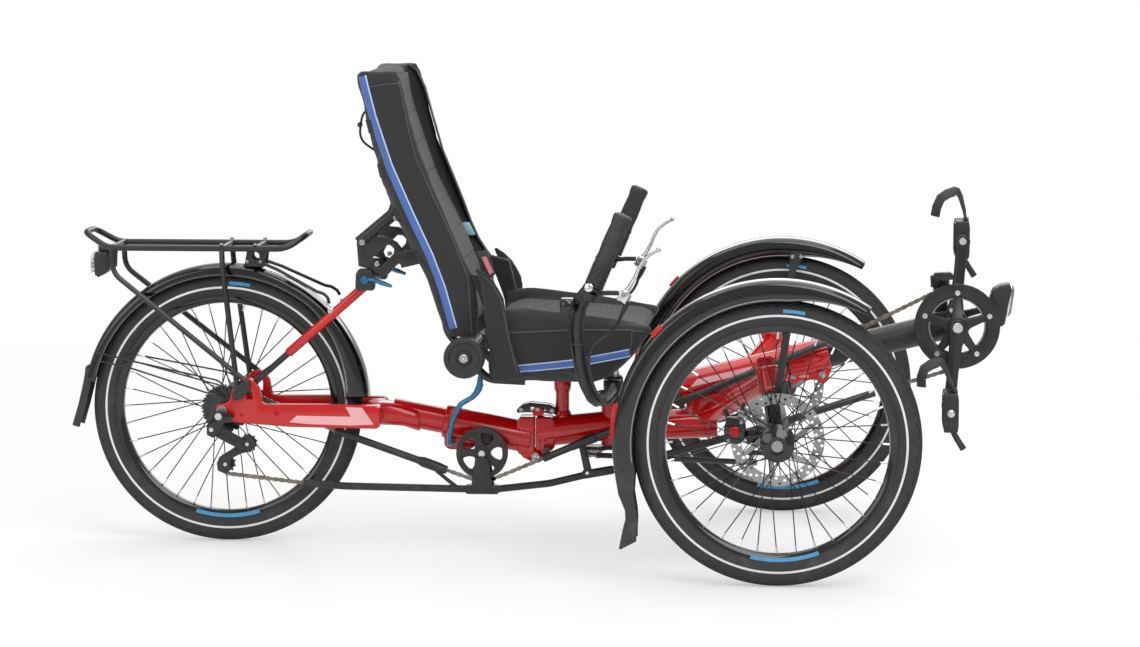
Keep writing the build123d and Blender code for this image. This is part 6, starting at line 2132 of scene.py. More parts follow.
@dataclass
class Boom:
    """Boom: tube, crank shell, changer post, lamp and its arm."""

    body: str = "boom"
    tube_r: float = 25.0
    post_r: float = 12.9

    def tube(self) -> None:
        """Boom tube with its shell, post and gussets."""
        x, _, z = CRANK
        barrel = Bench.tube("barrel", [boom_point(-172), boom_point(x - 12)], self.tube_r, 0, 48)
        shell = Bench.lathe("shell", mirrored([(24.0, 32.6), (22.6, 34.0), (12.2, 34.0)]), CRANK, 48, True)
        post = Bench.tube("post", [(x - 26.6, 0, z + 12), (x - 29.2, 0, z + 70), (x - 30, 0, z + 88)],
                          self.post_r, 0, 32)
        saddle = Bench.loft("saddle", [[(x - 60, -15, z + 4), (x - 60, 15, z + 4), (x - 60, 14, z - 14),
                                        (x - 60, -14, z - 14)],
                                       [(x - 40, -17, z + 20), (x - 40, 17, z + 20), (x - 40, 17, z - 10),
                                        (x - 40, -17, z - 10)],
                                       [(x - 12, -19, z + 26), (x - 12, 19, z + 26), (x - 12, 19, z),
                                        (x - 12, -19, z)]])
        arm = Bench.plate("arm", [(324, 416), (350, 424), (371.2, 430), (371.2, 441), (346, 435), (322, 429)],
                          -9, 9, 1.8)
        parts = [barrel, shell, Bench.bevel(post, 1.4), Bench.bevel(saddle, 4.0, 3), arm]
        dress(Bench.joined("boom_tube", parts), Palette.BLACK, self.body, ["boom"])
        cups = []
        for side in (-1, 1):
            cup = [(12.4, side * 34.1), (23.0, side * 34.1), (23.4, side * 35.0), (22.0, side * 38.0),
                   (14.0, side * 38.6), (12.4, side * 38.0)]
            cups.append(Bench.lathe("cup", cup, CRANK, 40, True))
        dress(Bench.joined("boom_cups", cups), Palette.ANODISED, self.body)

    def lamp(self) -> None:
        """Front lamp: finned body, clear lens and bright bezel."""
        outline = [(374, 406), (372.6, 420), (372.6, 452), (378, 470), (392, 478), (408, 481), (412, 470),
                   (404, 432), (400, 408), (392, 403)]
        body = Bench.plate("body", outline, -21.6, 21.6, 3.6, 4)
        fins = [Bench.block("fin", (371.4, -19.0, z), (380, 19.0, z + 2.4), 0.7)
                for z in (422.0, 430.0, 438.0, 446.0)]
        dress(Bench.joined("headlight_body", [body, *fins]), Palette.PLASTIC, self.body,
              ["headlight"])
        sections = []
        for x, z, half, rise in ((405.4, 449.8, 19.5, 30.0), (410.6, 448.2, 18.8, 28.0),
                                 (413.8, 447.4, 15.6, 23.0)):
            sections.append([(x + 0.13 * rise * s, half * c, z + rise * s) for c, s in rounded_box(24, 0.55)])
        lens = Bench.loft("headlight_lens", sections)
        dress(Bench.bevel(lens, 0.8), Palette.LAMP_GLASS, self.body)
        rim = Bench.loft("headlight_bezel", [
            [(x, y * 1.03, z + (z - 449.8) * 0.03) for x, y, z in sections[0]],
            [(x + 3.4, y * 1.05, z + (z - 449.8) * 0.04) for x, y, z in sections[0]]])
        Bench.cut(rim, Bench.loft("inside", [[(x - 6, y * 0.96, z) for x, y, z in sections[0]],
                                             [(x + 9, y * 0.96, z) for x, y, z in sections[0]]]))
        dress(rim, Palette.SILVER, self.body)

    def build(self) -> None:
        """Builds the boom."""
        self.tube()
        self.lamp()
        LOG.info("boom")


@dataclass
class Crankset:
    """Cranks, chainring and guard ring."""

    body: str = "crank"
    teeth: int = 36
    ring_hole: float = 48.0

    def arms(self) -> None:
        """Waisted crank arms with their bosses."""
        arms = []
        for side in (-1, 1):
            sections = []
            for reach, half, out, thick in ((-14.6, 9.0, 71.0, 6.0), (-8, 14.6, 71.0, 8.0),
                                            (0, 17.0, 71.0, 9.5), (14, 16.0, 71.8, 8.6),
                                            (34, 12.0, 73.4, 7.4), (80, 10.4, 77.0, 6.6),
                                            (118, 10.8, 80.2, 6.4), (130, 13.6, 81.4, 6.8),
                                            (141, 14.2, 82.0, 6.8), (149, 11.0, 82.0, 6.4),
                                            (152.4, 5.0, 82.0, 5.0)):
                x, z = crank_point(reach, side)
                sections.append([(x + half * c * math.cos(CRANK_TILT), side * (out + thick * s),
                                  z - half * c * math.sin(CRANK_TILT)) for c, s in rounded_box(16, 0.0)])
            arm = Bench.loft("arm", sections)
            eye_x, eye_z = crank_point(CRANK_LENGTH, side)
            eye = Bench.lathe("eye", [(0.0, 60.0), (7.05, 60.0), (7.05, 110.0), (0.0, 110.0)],
                              (eye_x, 0, eye_z), 32, axis=(0, side, 0))
            arms.append(Bench.cut(arm, eye))
        axle = Bench.lathe("axle", mirrored([(11.9, 78.4), (0.0, 78.4)]), CRANK, 36)
        dress(Bench.joined("crank_arms", [*arms, axle]), Palette.ANODISED, self.body,
              ["crankset"], 50.0)
        bolt = [(0.0, 80.6), (3.4, 80.6), (3.8, 82.0), (8.2, 82.0), (9.0, 81.2), (9.0, 78.0), (0.0, 78.0)]
        bolts = [Bench.lathe("bolt", bolt, CRANK, 24, axis=(0, side, 0)) for side in (-1, 1)]
        dress(Bench.joined("crank_bolts", bolts), Palette.SILVER, self.body)

    def rings(self) -> None:
        """Toothed chainring, spider and guard ring with its bolts."""
        teeth = toothed(CRANK, self.teeth, ((0.0, 66.6), (0.26, 67.4), (0.40, 71.2), (0.56, 71.2),
                                            (0.70, 67.4)))
        ring = Bench.plate("chainring", teeth, CHAIN_Y - 1.2, CHAIN_Y + 1.2, 0)
        inside = [(0.0, -60.0), (self.ring_hole, -60.0), (self.ring_hole, -30.0), (0.0, -30.0)]
        hole = Bench.lathe("hole", inside, CRANK, 60)
        dress(Bench.cut(ring, hole), Palette.STEEL, self.body)
        arms = []
        for k in range(5):
            t = math.radians(72 * k + 90)
            out = Vector((math.cos(t), 0, math.sin(t)))
            across = Vector((-math.sin(t), 0, math.cos(t)))
            sections = []
            for r, half, y, thick in ((10, 13, -62, 7.0), (24, 9, -57.5, 5.4), (44, 7.0, -52.5, 3.6),
                                      (58, 8.4, -50.2, 3.2), (64, 6.0, -50.2, 3.2)):
                here = Vector(CRANK) + out * r
                sections.append([here + across * half * a + Vector((0, y + thick * b, 0))
                                 for a, b in ((1, -1), (1, 1), (-1, 1), (-1, -1))])
            arms.append(Bench.bevel(Bench.loft("spider", sections), 1.6, 2))
        boss = Bench.lathe("boss", [(0.0, -70.0), (14.0, -70.0), (17.0, -66.0), (17.0, -52.0), (12.0, -49.0),
                                    (0.0, -49.0)], CRANK, 36)
        dress(Bench.joined("spider", [boss, *arms]), Palette.ANODISED, self.body)
        rim = [(51.0, -53.6), (52.0, -54.6), (55.0, -55.4), (70.0, -56.0), (75.2, -55.0), (76.0, -53.6),
               (75.6, -52.4), (70.0, -52.0), (55.0, -52.0), (51.0, -52.4)]
        guard = Bench.lathe("guard_ring", rim, CRANK, 90, True)
        dress(guard, Palette.ANODISED, self.body)
        bolt = [(0.0, -56.8), (2.6, -56.8), (2.9, -57.6), (4.6, -57.6), (5.0, -57.0), (5.0, -48.0),
                (0.0, -48.0)]
        model = Bench.lathe("guard_bolt", bolt, (CRANK[0], 0, CRANK[2] + 60.0), 16)
        dress(Bench.around(model, 5, CRANK, name="guard_bolts"), Palette.SILVER, self.body)

    def build(self) -> None:
        """Builds the crankset."""
        self.arms()
        self.rings()
        LOG.info("crankset")


@dataclass
class Pedal:
    """Pedal with its axle, cage and heel rest."""

    side: Side
    half_depth: float = 12.0
    middle_y: float = 134.0
    heel_wall: float = 1.7

    @property
    def body(self) -> str:
        """The body that the pedal turns with."""
        return f"pedal_{self.side.word}"

    def wear(self, name: str, pieces: Sequence[Piece], finish: Finish,
             smooth: float = 35.0) -> None:
        """Joins pieces and dresses them."""
        replaces = [self.body] if name == "block" else []
        dress(Bench.joined(f"{self.body}_{name}", pieces), finish, self.body, replaces, smooth)

    def block(self, x: float, z: float, side: int) -> None:
        """Axle, barrel, ends, rails, ribs and pins round a place of the axle.

        Args:
            x: X of the pedal's axle.
            z: Z of the pedal's axle.
            side: Side as a number, -1 right and 1 left.
        """
        axle = [(0.0, 74.0), (6.2, 74.0), (6.9, 75.0), (6.9, 88.0), (9.4, 89.0), (9.4, 94.0), (6.6, 95.0),
                (6.6, 176.0), (4.0, 178.0), (0.0, 178.0)]
        shaft = Bench.lathe("axle", axle, (x, 0, z), 24, axis=(0, side, 0))
        barrel = [(0.0, 96.0), (11.0, 96.0), (12.4, 98.0), (12.4, 112.0), (9.0, 116.0), (9.0, 158.0),
                  (12.0, 161.0), (12.0, 173.0), (10.0, 175.6), (0.0, 175.6)]
        parts = [Bench.lathe("core", barrel, (x, 0, z), 28, axis=(0, side, 0))]
        deep, wide = self.half_depth, self.half_depth + 1.6
        outline = [(x - deep, z - 34), (x + deep, z - 34), (x + wide, z - 22), (x + wide, z + 22),
                   (x + deep, z + 34), (x - deep, z + 34), (x - wide, z + 22), (x - wide, z - 22)]
        for low, high in ((96.6, 102.0), (170.0, 175.4)):
            parts.append(Bench.plate("end", outline, *sorted((side * low, side * high)), 2.0, 3))
        for half, low, high, tall, bevel, steps, rows in ((11, 98.0, 174.0, 6.0, 2.0, 3, (-33.0, 27.0)),
                                                          (5, 100.0, 172.0, 8.0, 1.5, 2, (-20.0, 12.0))):
            y0, y1 = sorted((side * low, side * high))
            parts += [Bench.block("rail", (x - half, y0, z + dz), (x + half, y1, z + dz + tall), bevel, steps)
                      for dz in rows]
        self.wear("block", parts, Palette.PLASTIC)
        self.wear("axle", [shaft], Palette.SILVER)
        pin = [(0.0, 0.0), (1.9, 0.0), (1.9, 1.4), (0.0, 1.8)]
        pins = [Bench.lathe("pin", pin, (x + dx * 0.9, side * reach, z + dz), 8, axis=(dx, 0, 0))
                for dx in (-12.6, 12.6) for dz in (-29.0, 29.0) for reach in (106.0, 136.0, 166.0)]
        self.wear("pins", pins, Palette.STEEL)

    def heel_rest(self, x: float, z: float, side: int) -> None:
        """Curved cup behind the heel, its foot, stop and screws, round a place of the axle.

        Args:
            x: X of the pedal's axle.
            z: Z of the pedal's axle.
            side: Side as a number, -1 right and 1 left.
        """
        back, middle = -12.0 if side < 0 else -4.0, side * self.middle_y
        stations = ((8, 30, 20), (8, 52, 20), (4, 78, 19), (-2, 91, 18), (-10, 93.4, 19), (-26, 88.0, 21),
                    (-40, 78, 22), (-49, 60, 21), (-54, 42, 16))
        path = [Vector((x + dx + back * min(1.0, (dz - 30) / 40), middle, z + dz)) for dx, dz, _ in stations]
        sections = []
        for index, (here, (_, _, half)) in enumerate(zip(path, stations)):
            run = (path[min(index + 1, len(path) - 1)] - path[max(index - 1, 0)]).normalized()
            inward = Vector((-run.z, 0.0, run.x))
            cup = 13.0 * min(1.0, index / 4)
            rows = [here + inward * cup * (v / 20.0) ** 2 + Vector((0, v * half / 20.0, 0))
                    for v in (-20, -14, -7, 0, 7, 14, 20)]
            wall = inward * self.heel_wall
            sections.append([spot + wall for spot in rows] + [spot - wall for spot in rows[::-1]])
        heel = Bench.bevel(Bench.loft("heel", sections), 0.9, 2, 50)
        foot = Bench.block("foot", (x + 3, middle - 19, z + 28), (x + 12, middle + 19, z + 38), 2.0)
        stop = Bench.tube("stop", [(x + 2, middle, z - 32), (x + 12, middle, z - 50),
                                   (x + 24, middle, z - 69)], 5.6, 0, 16, (5.0, 5.6, 6.0))
        self.wear("heel_rest", [heel, foot, Bench.bevel(stop, 1.6, 2, 50)], Palette.FLAP,
                  50.0)
        screw = [(0.0, 0.0), (3.6, 0.0), (3.0, 1.4), (0.0, 1.4)]
        screws = [Bench.lathe("screw", screw, (x + 11, middle + side * dy, z + 36), 12, axis=(1, 0, 0))
                  for dy in (-11, 11)]
        self.wear("screws", screws, Palette.SILVER)

    def build(self) -> None:
        """Builds the pedal."""
        x, z = crank_point(CRANK_LENGTH, self.side.value)
        self.block(x, z, self.side.value)
        self.heel_rest(x, z, self.side.value)
        LOG.info("pedal %s", self.side.word)


class Upholstery:
    """Stuffs and sews pads from plain starting shapes."""

    STEPS = 20

    @classmethod
    def stuffed(cls, piece: Piece, voxel: float, cap: float, pressure: float = 4.0) -> Piece:
        """Swells a pad's cover with a short cloth simulation.

        Args:
            piece: The pad, a little smaller than it ends.
            voxel: Size of the cover's mesh in millimetres.
            cap: Furthest that a point of the cover may move, in millimetres.
            pressure: Pressure of the filling.

        Returns:
            The stuffed pad.
        """
        Bench.apply(piece, "REMESH", mode="VOXEL", voxel_size=voxel / 1000)
        before = [vertex.co.copy() for vertex in piece.data.vertices]
        cloth = piece.modifiers.new("Cloth", "CLOTH")
        cloth.settings.quality = 4
        cloth.settings.mass = 0.3
        cloth.settings.tension_stiffness = cloth.settings.compression_stiffness = 12.0
        cloth.settings.bending_stiffness = 0.8
        cloth.settings.use_pressure = True
        cloth.settings.uniform_pressure_force = pressure
        cloth.settings.effector_weights.gravity = 0.0
        cloth.collision_settings.use_collision = False
        for step in range(1, cls.STEPS + 1):
            bpy.context.scene.frame_set(step)
        Bench.pick(piece)
        bpy.ops.object.modifier_apply(modifier=cloth.name)
        for vertex, start in zip(piece.data.vertices, before):
            move = vertex.co - start
            if move.length > cap / 1000:
                vertex.co = start + move.normalized() * cap / 1000
        bpy.context.scene.frame_set(1)
        Bench.apply(piece, "SMOOTH", factor=0.5, iterations=3)
        Bench.apply(piece, "SUBSURF", levels=1, render_levels=1)
        return piece

    @staticmethod
    def tape(name: str, pad: Piece, points: Sequence[Point], across: Sequence[Point], axis: str,
             thick: float = 1.6, lift: float = 0.5) -> Piece:
        """Tape or seam sewn on a pad's face.

        Args:
            name: The tape's name.
            pad: The pad that it lies on.
            points: Points of its line, outside the pad.
            across: Vector across the tape at each point.
            axis: Axis, x, y or z, along which it is laid on the pad.
            thick: The tape's thickness.
            lift: How far its middle stands off the pad.

        Returns:
            The tape.
        """
        columns = 4
        Bench.clear()
        bpy.ops.mesh.primitive_grid_add(x_subdivisions=len(points) - 1, y_subdivisions=columns - 1)
        piece = bpy.context.object
        piece.name = name
        for index, vertex in enumerate(piece.data.vertices):
            row, column = divmod(index, len(points))
            here = Vector(points[column]) + Vector(across[column]) * (row / (columns - 1) - 0.5)
            vertex.co = at(*here)
        starts = [vertex.co.copy() for vertex in piece.data.vertices]
        Bench.apply(piece, "SHRINKWRAP", target=pad, wrap_method="PROJECT", use_negative_direction=True,
                    use_positive_direction=True, offset=lift / 1000, **{f"use_project_{axis}": True})
        missed = [k for k, vertex in enumerate(piece.data.vertices) if (vertex.co - starts[k]).length < 1e-5]
        if missed:
            Bench.edit(piece)
            mesh = bmesh.from_edit_mesh(piece.data)
            mesh.verts.ensure_lookup_table()
            bmesh.ops.delete(mesh, geom=[mesh.verts[k] for k in missed], context="VERTS")
            bmesh.update_edit_mesh(piece.data)
            Bench.done()
        Bench.apply(piece, "SOLIDIFY", thickness=thick / 1000, offset=0.0)
        return Bench.bevel(piece, 0.35, 1, 60)

    @staticmethod
    def panel(name: str, pad: Piece, line: Sequence[Point], width: float, axis: str) -> Piece:
        """Panel laid on a pad along an axis, from a line down its middle and its width across the seat.

        Args:
            name: The piece's name.
            pad: The pad that it lies on.
            line: Points down its middle, outside the pad.
            width: Width across the seat.
            axis: x or z, the way that it is laid on.

        Returns:
            The panel.
        """
        columns = 20
        Bench.clear()
        bpy.ops.mesh.primitive_grid_add(x_subdivisions=columns, y_subdivisions=len(line) - 1)
        piece = bpy.context.object
        piece.name = name
        for index, vertex in enumerate(piece.data.vertices):
            row, column = divmod(index, columns + 1)
            x, _, z = line[row]
            vertex.co = at(x, (column / columns - 0.5) * width, z)
        Bench.apply(piece, "SHRINKWRAP", target=pad, wrap_method="PROJECT", use_negative_direction=True,
                    use_positive_direction=True, offset=0.0032, **{f"use_project_{axis}": True})
        Bench.apply(piece, "SOLIDIFY", thickness=0.005, offset=0.0)
        return Bench.bevel(piece, 1.6, 2, 60)

    @classmethod
    def side_tape(cls, name: str, pad: Piece, line: Sequence[Flat], width: float, side: int = -1,
                  thick: float = 1.6, lift: float = 0.5) -> Piece:
        """Tape along a line in X-Z on the outer side of a pad.

        Args:
            name: The piece's name.
            pad: The pad that it lies on.
            line: The line, as (X, Z) points.
            width: Width.
            side: Side as a number, -1 right and 1 left.
            thick: Thickness.
            lift: Height above the pad.

        Returns:
            The tape.
        """
        route = [(place.x * 1000 - FRONT_AXLE_X, place.z * 1000)
                 for place in filleted([(x, 0, z) for x, z in line], 40.0, 6)]
        fine = [route[0]]
        for a, b in zip(route, route[1:]):
            run = math.dist(a, b)
            parts = max(1, round(run / 9.0))
            fine += [(a[0] + (b[0] - a[0]) * k / parts, a[1] + (b[1] - a[1]) * k / parts)
                     for k in range(1, parts + 1)]
        across = []
        for k in range(len(fine)):
            (x0, z0), (x1, z1) = fine[max(k - 1, 0)], fine[min(k + 1, len(fine) - 1)]
            span = math.hypot(x1 - x0, z1 - z0)
            across.append((-(z1 - z0) / span * width, 0.0, (x1 - x0) / span * width))
        return cls.tape(name, pad, [(x, side * 260.0, z) for x, z in fine], across, "y", thick, lift)


def along(line: Sequence[Flat], share: float) -> Flat:
    """Point of a line of points at a share of its length.

    Args:
        line: The line, as (X, Z) points.
        share: Share of the length, 0 to 1.

    Returns:
        The point.
    """
    runs = [math.dist(a, b) for a, b in zip(line, line[1:])]
    left = share * sum(runs)
    for (a, b), run in zip(zip(line, line[1:]), runs):
        if left <= run or b == line[-1]:
            t = min(1.0, left / run)
            return (a[0] + (b[0] - a[0]) * t, a[1] + (b[1] - a[1]) * t)
        left -= run
    return line[-1]


@dataclass
class Seat:
    """Seat: padded back with bolsters, dished base, hip wings, tapes, straps and buckles."""

    body: str = "seat"
    half: float = 184.0
    voxel: float = 6.0
    rear: tuple[Flat, ...] = ((-573, 388), (-583, 404), (-606, 500), (-674, 645), (-726, 792), (-746, 858),
                              (-740, 872))
    crest: tuple[Flat, ...] = ((-520, 386), (-524, 500), (-538, 530), (-558, 562), (-583, 618), (-606, 671),
                               (-628, 734), (-641, 800), (-649, 842), (-664, 872))
    dish: tuple[Flat, ...] = ((-544, 386), (-546, 430), (-566, 519), (-637, 660), (-684, 800), (-692, 868))

    def sew(self, piece: Piece, finish: Finish, replaces: Sequence[str] = ()) -> Piece:
        """Args:
            piece: The piece to work on.
            finish: The finish that it is dressed in.
            replaces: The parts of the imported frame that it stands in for.

        Returns:
            The same piece.
        """
        dress(piece, finish, self.body, replaces, 60.0)
        return piece

    def back(self) -> None:
        """Padded back between two bolsters, with its tapes and seams."""
        ring = [(-0.95, 0, 0.04), (-0.985, 0, 0.20), (-1.0, 0, 0.5), (-0.985, 0, 0.84), (-0.93, 0, 0.985),
                (-0.88, 0, 0.93), (-0.83, 1, 1.02), (-0.78, 1, 0.96), (-0.5, 1, 0.95), (-0.25, 1, 0.93),
                (0.0, 1, 0.92)]
        ring = ring + [(-y, kind, u) for y, kind, u in ring[-2::-1]]
        ring += [(0.89, 0, -0.5), (0.78, 0, -1.0), (0.67, 0, -0.6), (0.60, 0, 0.0), (0.2, 0, 0.0),
                 (-0.2, 0, 0.0), (-0.60, 0, 0.0), (-0.67, 0, -0.6), (-0.78, 0, -1.0), (-0.89, 0, -0.5)]
        sections = []
        for share in (0.012, 0.05, 0.12, 0.22, 0.34, 0.46, 0.58, 0.70, 0.80, 0.88, 0.94, 0.975, 0.99):
            back_at = along(self.rear, share)
            fronts = (along(self.crest, share), along(self.dish, share))
            narrow = 1.0 - 0.05 * max(0.0, (share - 0.9) / 0.1) ** 2
            ridge = 19.0 * math.sin(math.pi * min(1.0, share / 0.86)) ** 0.7 if share < 0.86 else 0.0
            section = []
            for y, kind, u in ring:
                front = fronts[kind]
                depth = math.dist(front, back_at)
                u = (u * (depth - 9.0) + 4.5) / depth if u >= 0 else (u * ridge + 4.5) / depth
                section.append((back_at[0] + (front[0] - back_at[0]) * u, y * narrow * (self.half - 4.5),
                                back_at[1] + (front[1] - back_at[1]) * u))
            sections.append(section)
        pad = Upholstery.stuffed(Bench.loft("seat_back_pad", sections), self.voxel, 8.0)
        rear_line = [(-733, 853), (-715, 782), (-687, 699), (-650, 615), (-615, 540), (-593, 478),
                     (-574, 410)]
        blue = Upholstery.side_tape("back_tape", pad, rear_line, 12.0)
        pale = Upholstery.side_tape("back_tape_edge", pad, [(x + 7.4, z + 2.4) for x, z in rear_line], 2.6,
                                    lift=0.8)
        middle = [(-668, 846), (-662, 826), (-650, 760), (-638, 712), (-606, 640), (-572, 566), (-545, 500),
                  (-540, 400)]
        seam = Upholstery.side_tape("back_seam", pad, middle, 2.2, lift=0.4)
        cap = Upholstery.side_tape("back_cap", pad, [(-728, 834), (-690, 840), (-664, 842)], 2.2, lift=0.4)
        self.sew(pad, Palette.FABRIC, ["seat_back"])
        self.sew(Bench.both(blue, "seat_back_tapes"), Palette.PIPING)
        self.sew(Bench.both(pale, "seat_back_tape_edges"), Palette.PIPING_EDGE)
        self.sew(Bench.both(Bench.joined("seams", [seam, cap]), "seat_back_seams"), Palette.SEAM)
        self.channels(pad)
        self.spine(pad)

    def channels(self, pad: Piece) -> None:
        """Open mesh panel on the back's front, with its sewn lines.

        Args:
            pad: The pad that it lies on.
        """
        line = [along(self.dish, 0.04 + 0.92 * row / 44) for row in range(45)]
        panel = Upholstery.panel("seat_back_panel", pad, [(x + 90, 0, z) for x, z in line], 232.0, "x")
        seams = []
        for k in range(1, 8):
            x, z = along(self.dish, 0.06 + 0.88 * k / 8)
            points = [(x + 120, -112 + 8 * j, z) for j in range(29)]
            seams.append(Upholstery.tape("sewn", panel, points, [(0, 0, 2.4)] * 29, "x", 1.0, 0.3))
        self.sew(panel, Palette.MESH)
        self.sew(Bench.joined("seat_back_channels", seams), Palette.SEAM)

    def spine(self, pad: Piece) -> None:
        """Webbing straps, elastic loops and buckles behind the back.

        Args:
            pad: The pad that it lies on.
        """
        places = [along(self.rear, share) for share in (0.30, 0.46, 0.62, 0.78)]
        straps, buckles = [], []
        for x, z in places:
            points = [(x - 120, -160 + 8 * j, z) for j in range(41)]
            straps.append(Upholstery.tape("strap", pad, points, [(0, 0, 24.0)] * 41, "x", 1.8, 0.9))
        self.sew(Bench.joined("seat_back_straps", straps), Palette.WEBBING)
        for x, z in places:
            buckles.append(Bench.block("buckle", (x - 12.5, 18, z - 15), (x - 1, 60, z + 15), 2.2, 3))
        dress(Bench.joined("seat_back_buckles", buckles), Palette.PLASTIC, self.body)
        loops = []
        for high, low, y in (((-722, 800), (-676, 664), -120), ((-716, 776), (-660, 628), 120)):
            points = [(high[0], y, high[1]), (high[0] - 16, y, high[1] - 16), (high[0] - 22, y, high[1] - 60),
                      (low[0] - 30, y, low[1] + 50), (low[0] - 20, y, low[1] + 6), (low[0] - 2, y, low[1])]
            loops.append(Bench.tube("loop", points, 2.2, 30, 10))
            loops.append(Bench.lathe("ball", [(0.0, -5.0), (3.6, -3.6), (5.0, 0.0), (3.6, 3.6), (0.0, 5.0)],
                                     (high[0] - 20, y, high[1] - 34), 14, axis=UP))
        self.sew(Bench.joined("seat_back_elastics", loops), Palette.WEBBING)

    def base(self) -> None:
        """Dished base with raised sides, its tapes and seams."""
        under = [(-517, 330), (-500, 320), (-330, 317.3), (-290, 330), (-259, 363), (-227, 401), (-213, 416)]
        middle = [(-517, 429), (-262, 412), (-213, 418)]
        side = [(-517, 465), (-262, 432), (-222, 432), (-212, 425)]

        def height(line: Sequence[Flat], x: float) -> float:
            """Height of a line at X."""
            for (x0, z0), (x1, z1) in zip(line, line[1:]):
                if x <= x1:
                    return z0 + (z1 - z0) * (x - x0) / (x1 - x0)
            return line[-1][1]

        top = [(-1.0, 1, 0.5), (-0.995, 1, 0.8), (-0.975, 1, 0.95), (-0.93, 1, 1.0), (-0.88, 1, 0.96),
               (-0.82, 0, 1.0), (-0.5, 0, 0.97), (0.0, 0, 0.95)]
        ring = top + [(-y, kind, u) for y, kind, u in top[-2::-1]]
        ring += [(0.985, 1, 0.15), (0.94, 1, 0.0), (0.5, 1, 0.0), (0.0, 1, 0.0), (-0.5, 1, 0.0),
                 (-0.94, 1, 0.0), (-0.985, 1, 0.15)]
        sections = []
        for x, drop in ((-512, 5), (-505, 1), (-470, 0), (-420, 0), (-370, 0), (-330, 0), (-300, 0),
                        (-275, 0), (-255, 0), (-238, 1), (-226, 3), (-219, 5)):
            low = height(under, x) + 4.5
            tops = (height(middle, x) - 5 - drop, height(side, x) - 5 - drop)
            sections.append([(x, y * (self.half - 4.5), low + max(2.0, tops[kind] - low) * u)
                             for y, kind, u in ring])
        pad = Upholstery.stuffed(Bench.loft("seat_base_pad", sections), self.voxel, 8.0)
        low_line = [(-500, 336), (-456, 341), (-357, 353), (-332, 358), (-262, 371)]
        blue = Upholstery.side_tape("base_tape", pad, low_line, 10.0)
        pale = [Upholstery.side_tape("base_tape_edge", pad, [(x - way * 0.1, z + way) for x, z in low_line],
                                     2.0, lift=0.8) for way in (-6.2, 6.2)]
        seam = Upholstery.side_tape("base_seam", pad, [(-500, 404), (-470, 406), (-363, 411), (-262, 411),
                                                       (-236, 408)], 3.0)
        edge = Upholstery.side_tape("base_edge", pad, [(-262, 372), (-258, 392), (-258, 411)], 2.4)
        self.sew(pad, Palette.FABRIC, ["seat_base"])
        self.sew(Bench.both(blue, "seat_base_tapes"), Palette.PIPING)
        self.sew(Bench.both(Bench.joined("edges", pale), "seat_base_tape_edges"), Palette.PIPING_EDGE)
        self.sew(Bench.both(Bench.joined("seams", [seam, edge]), "seat_base_seams"), Palette.SEAM)
        self.cushion(pad)

    def cushion(self, pad: Piece) -> None:
        """Open mesh top of the base, with its sewn lines.

        Args:
            pad: The pad that it lies on.
        """
        line = [(-496 + 258 * row / 26, 0, 560) for row in range(27)]
        panel = Upholstery.panel("seat_base_panel", pad, line, 252.0, "z")
        seams = []
        for x in (-455, -410, -365, -320, -275):
            points = [(x, -112 + 8 * j, 560) for j in range(29)]
            seams.append(Upholstery.tape("sewn", panel, points, [(2.4, 0, 0)] * 29, "z", 1.0, 0.3))
        self.sew(panel, Palette.MESH)
        self.sew(Bench.joined("seat_base_channels", seams), Palette.SEAM)

    def wings(self) -> None:
        """Hip wings, pouches inside them, and the belt with its clips and buckles."""
        out = self.half
        outline = [(-534, 525), (-515, 514), (-497, 497), (-480, 468), (-467, 395), (-448, 326), (-498, 316),
                   (-508, 358), (-518, 426), (-524, 490)]
        wing = Bench.plate("wing", outline, -out - 11.5, -out - 2.6, 2.5, 2)
        wing = Upholstery.stuffed(wing, 4.0, 3.0, 2.5)
        hem = Upholstery.side_tape("hem", wing, [(-516, 506), (-503, 494), (-486, 464), (-473, 394),
                                                 (-457, 334)], 2.0)
        self.sew(Bench.both(wing, "seat_wings"), Palette.FABRIC)
        self.sew(Bench.both(hem, "seat_wing_hems"), Palette.SEAM)
        pouch = Bench.plate("pouch", [(-541, 509), (-502, 499), (-489, 444), (-478, 392), (-500, 390),
                                      (-515, 440)], -out + 2.0, -out + 24.0, 3.0, 3)
        self.sew(Bench.both(pouch, "seat_pouches"), Palette.MESH)
        buckle = Bench.plate("buckle", [(-520, 540), (-512, 542), (-499, 514), (-506, 509)], -out - 14.6,
                             -out - 11.2, 1.2)
        buckle.name = "seat_buckle"
        dress(buckle, Palette.BUCKLE, self.body)
        hood = Bench.plate("hood", [(-529, 548), (-510, 552), (-496, 510), (-503, 504)], -out - 12.4,
                           -out - 6.0, 1.6, 2)
        hood.name = "seat_buckle_hood"
        dress(hood, Palette.PLASTIC, self.body)
        strap = Bench.strip("seat_strap", [(-686, 150, 862), (-670, 150, 850), (-655, 150, 818),
                                           (-642, 150, 770), (-623, 150, 703), (-604, 150, 657),
                                           (-586, 151, 612), (-573, 153, 576), (-561, 158, 545),
                                           (-546, 166, 520), (-532, 171, 500)], [(0, 22, 0)] * 11, 1.8)
        self.sew(strap, Palette.WEBBING)
        clip = Bench.block("seat_clip", (-577.5, 138, 547), (-563.5, 164, 571), 2.4)
        for vertex in clip.data.vertices:
            if vertex.co.z > at(0, 0, 559).z:
                vertex.co.x -= 0.009
        dress(clip, Palette.CLIP, self.body)

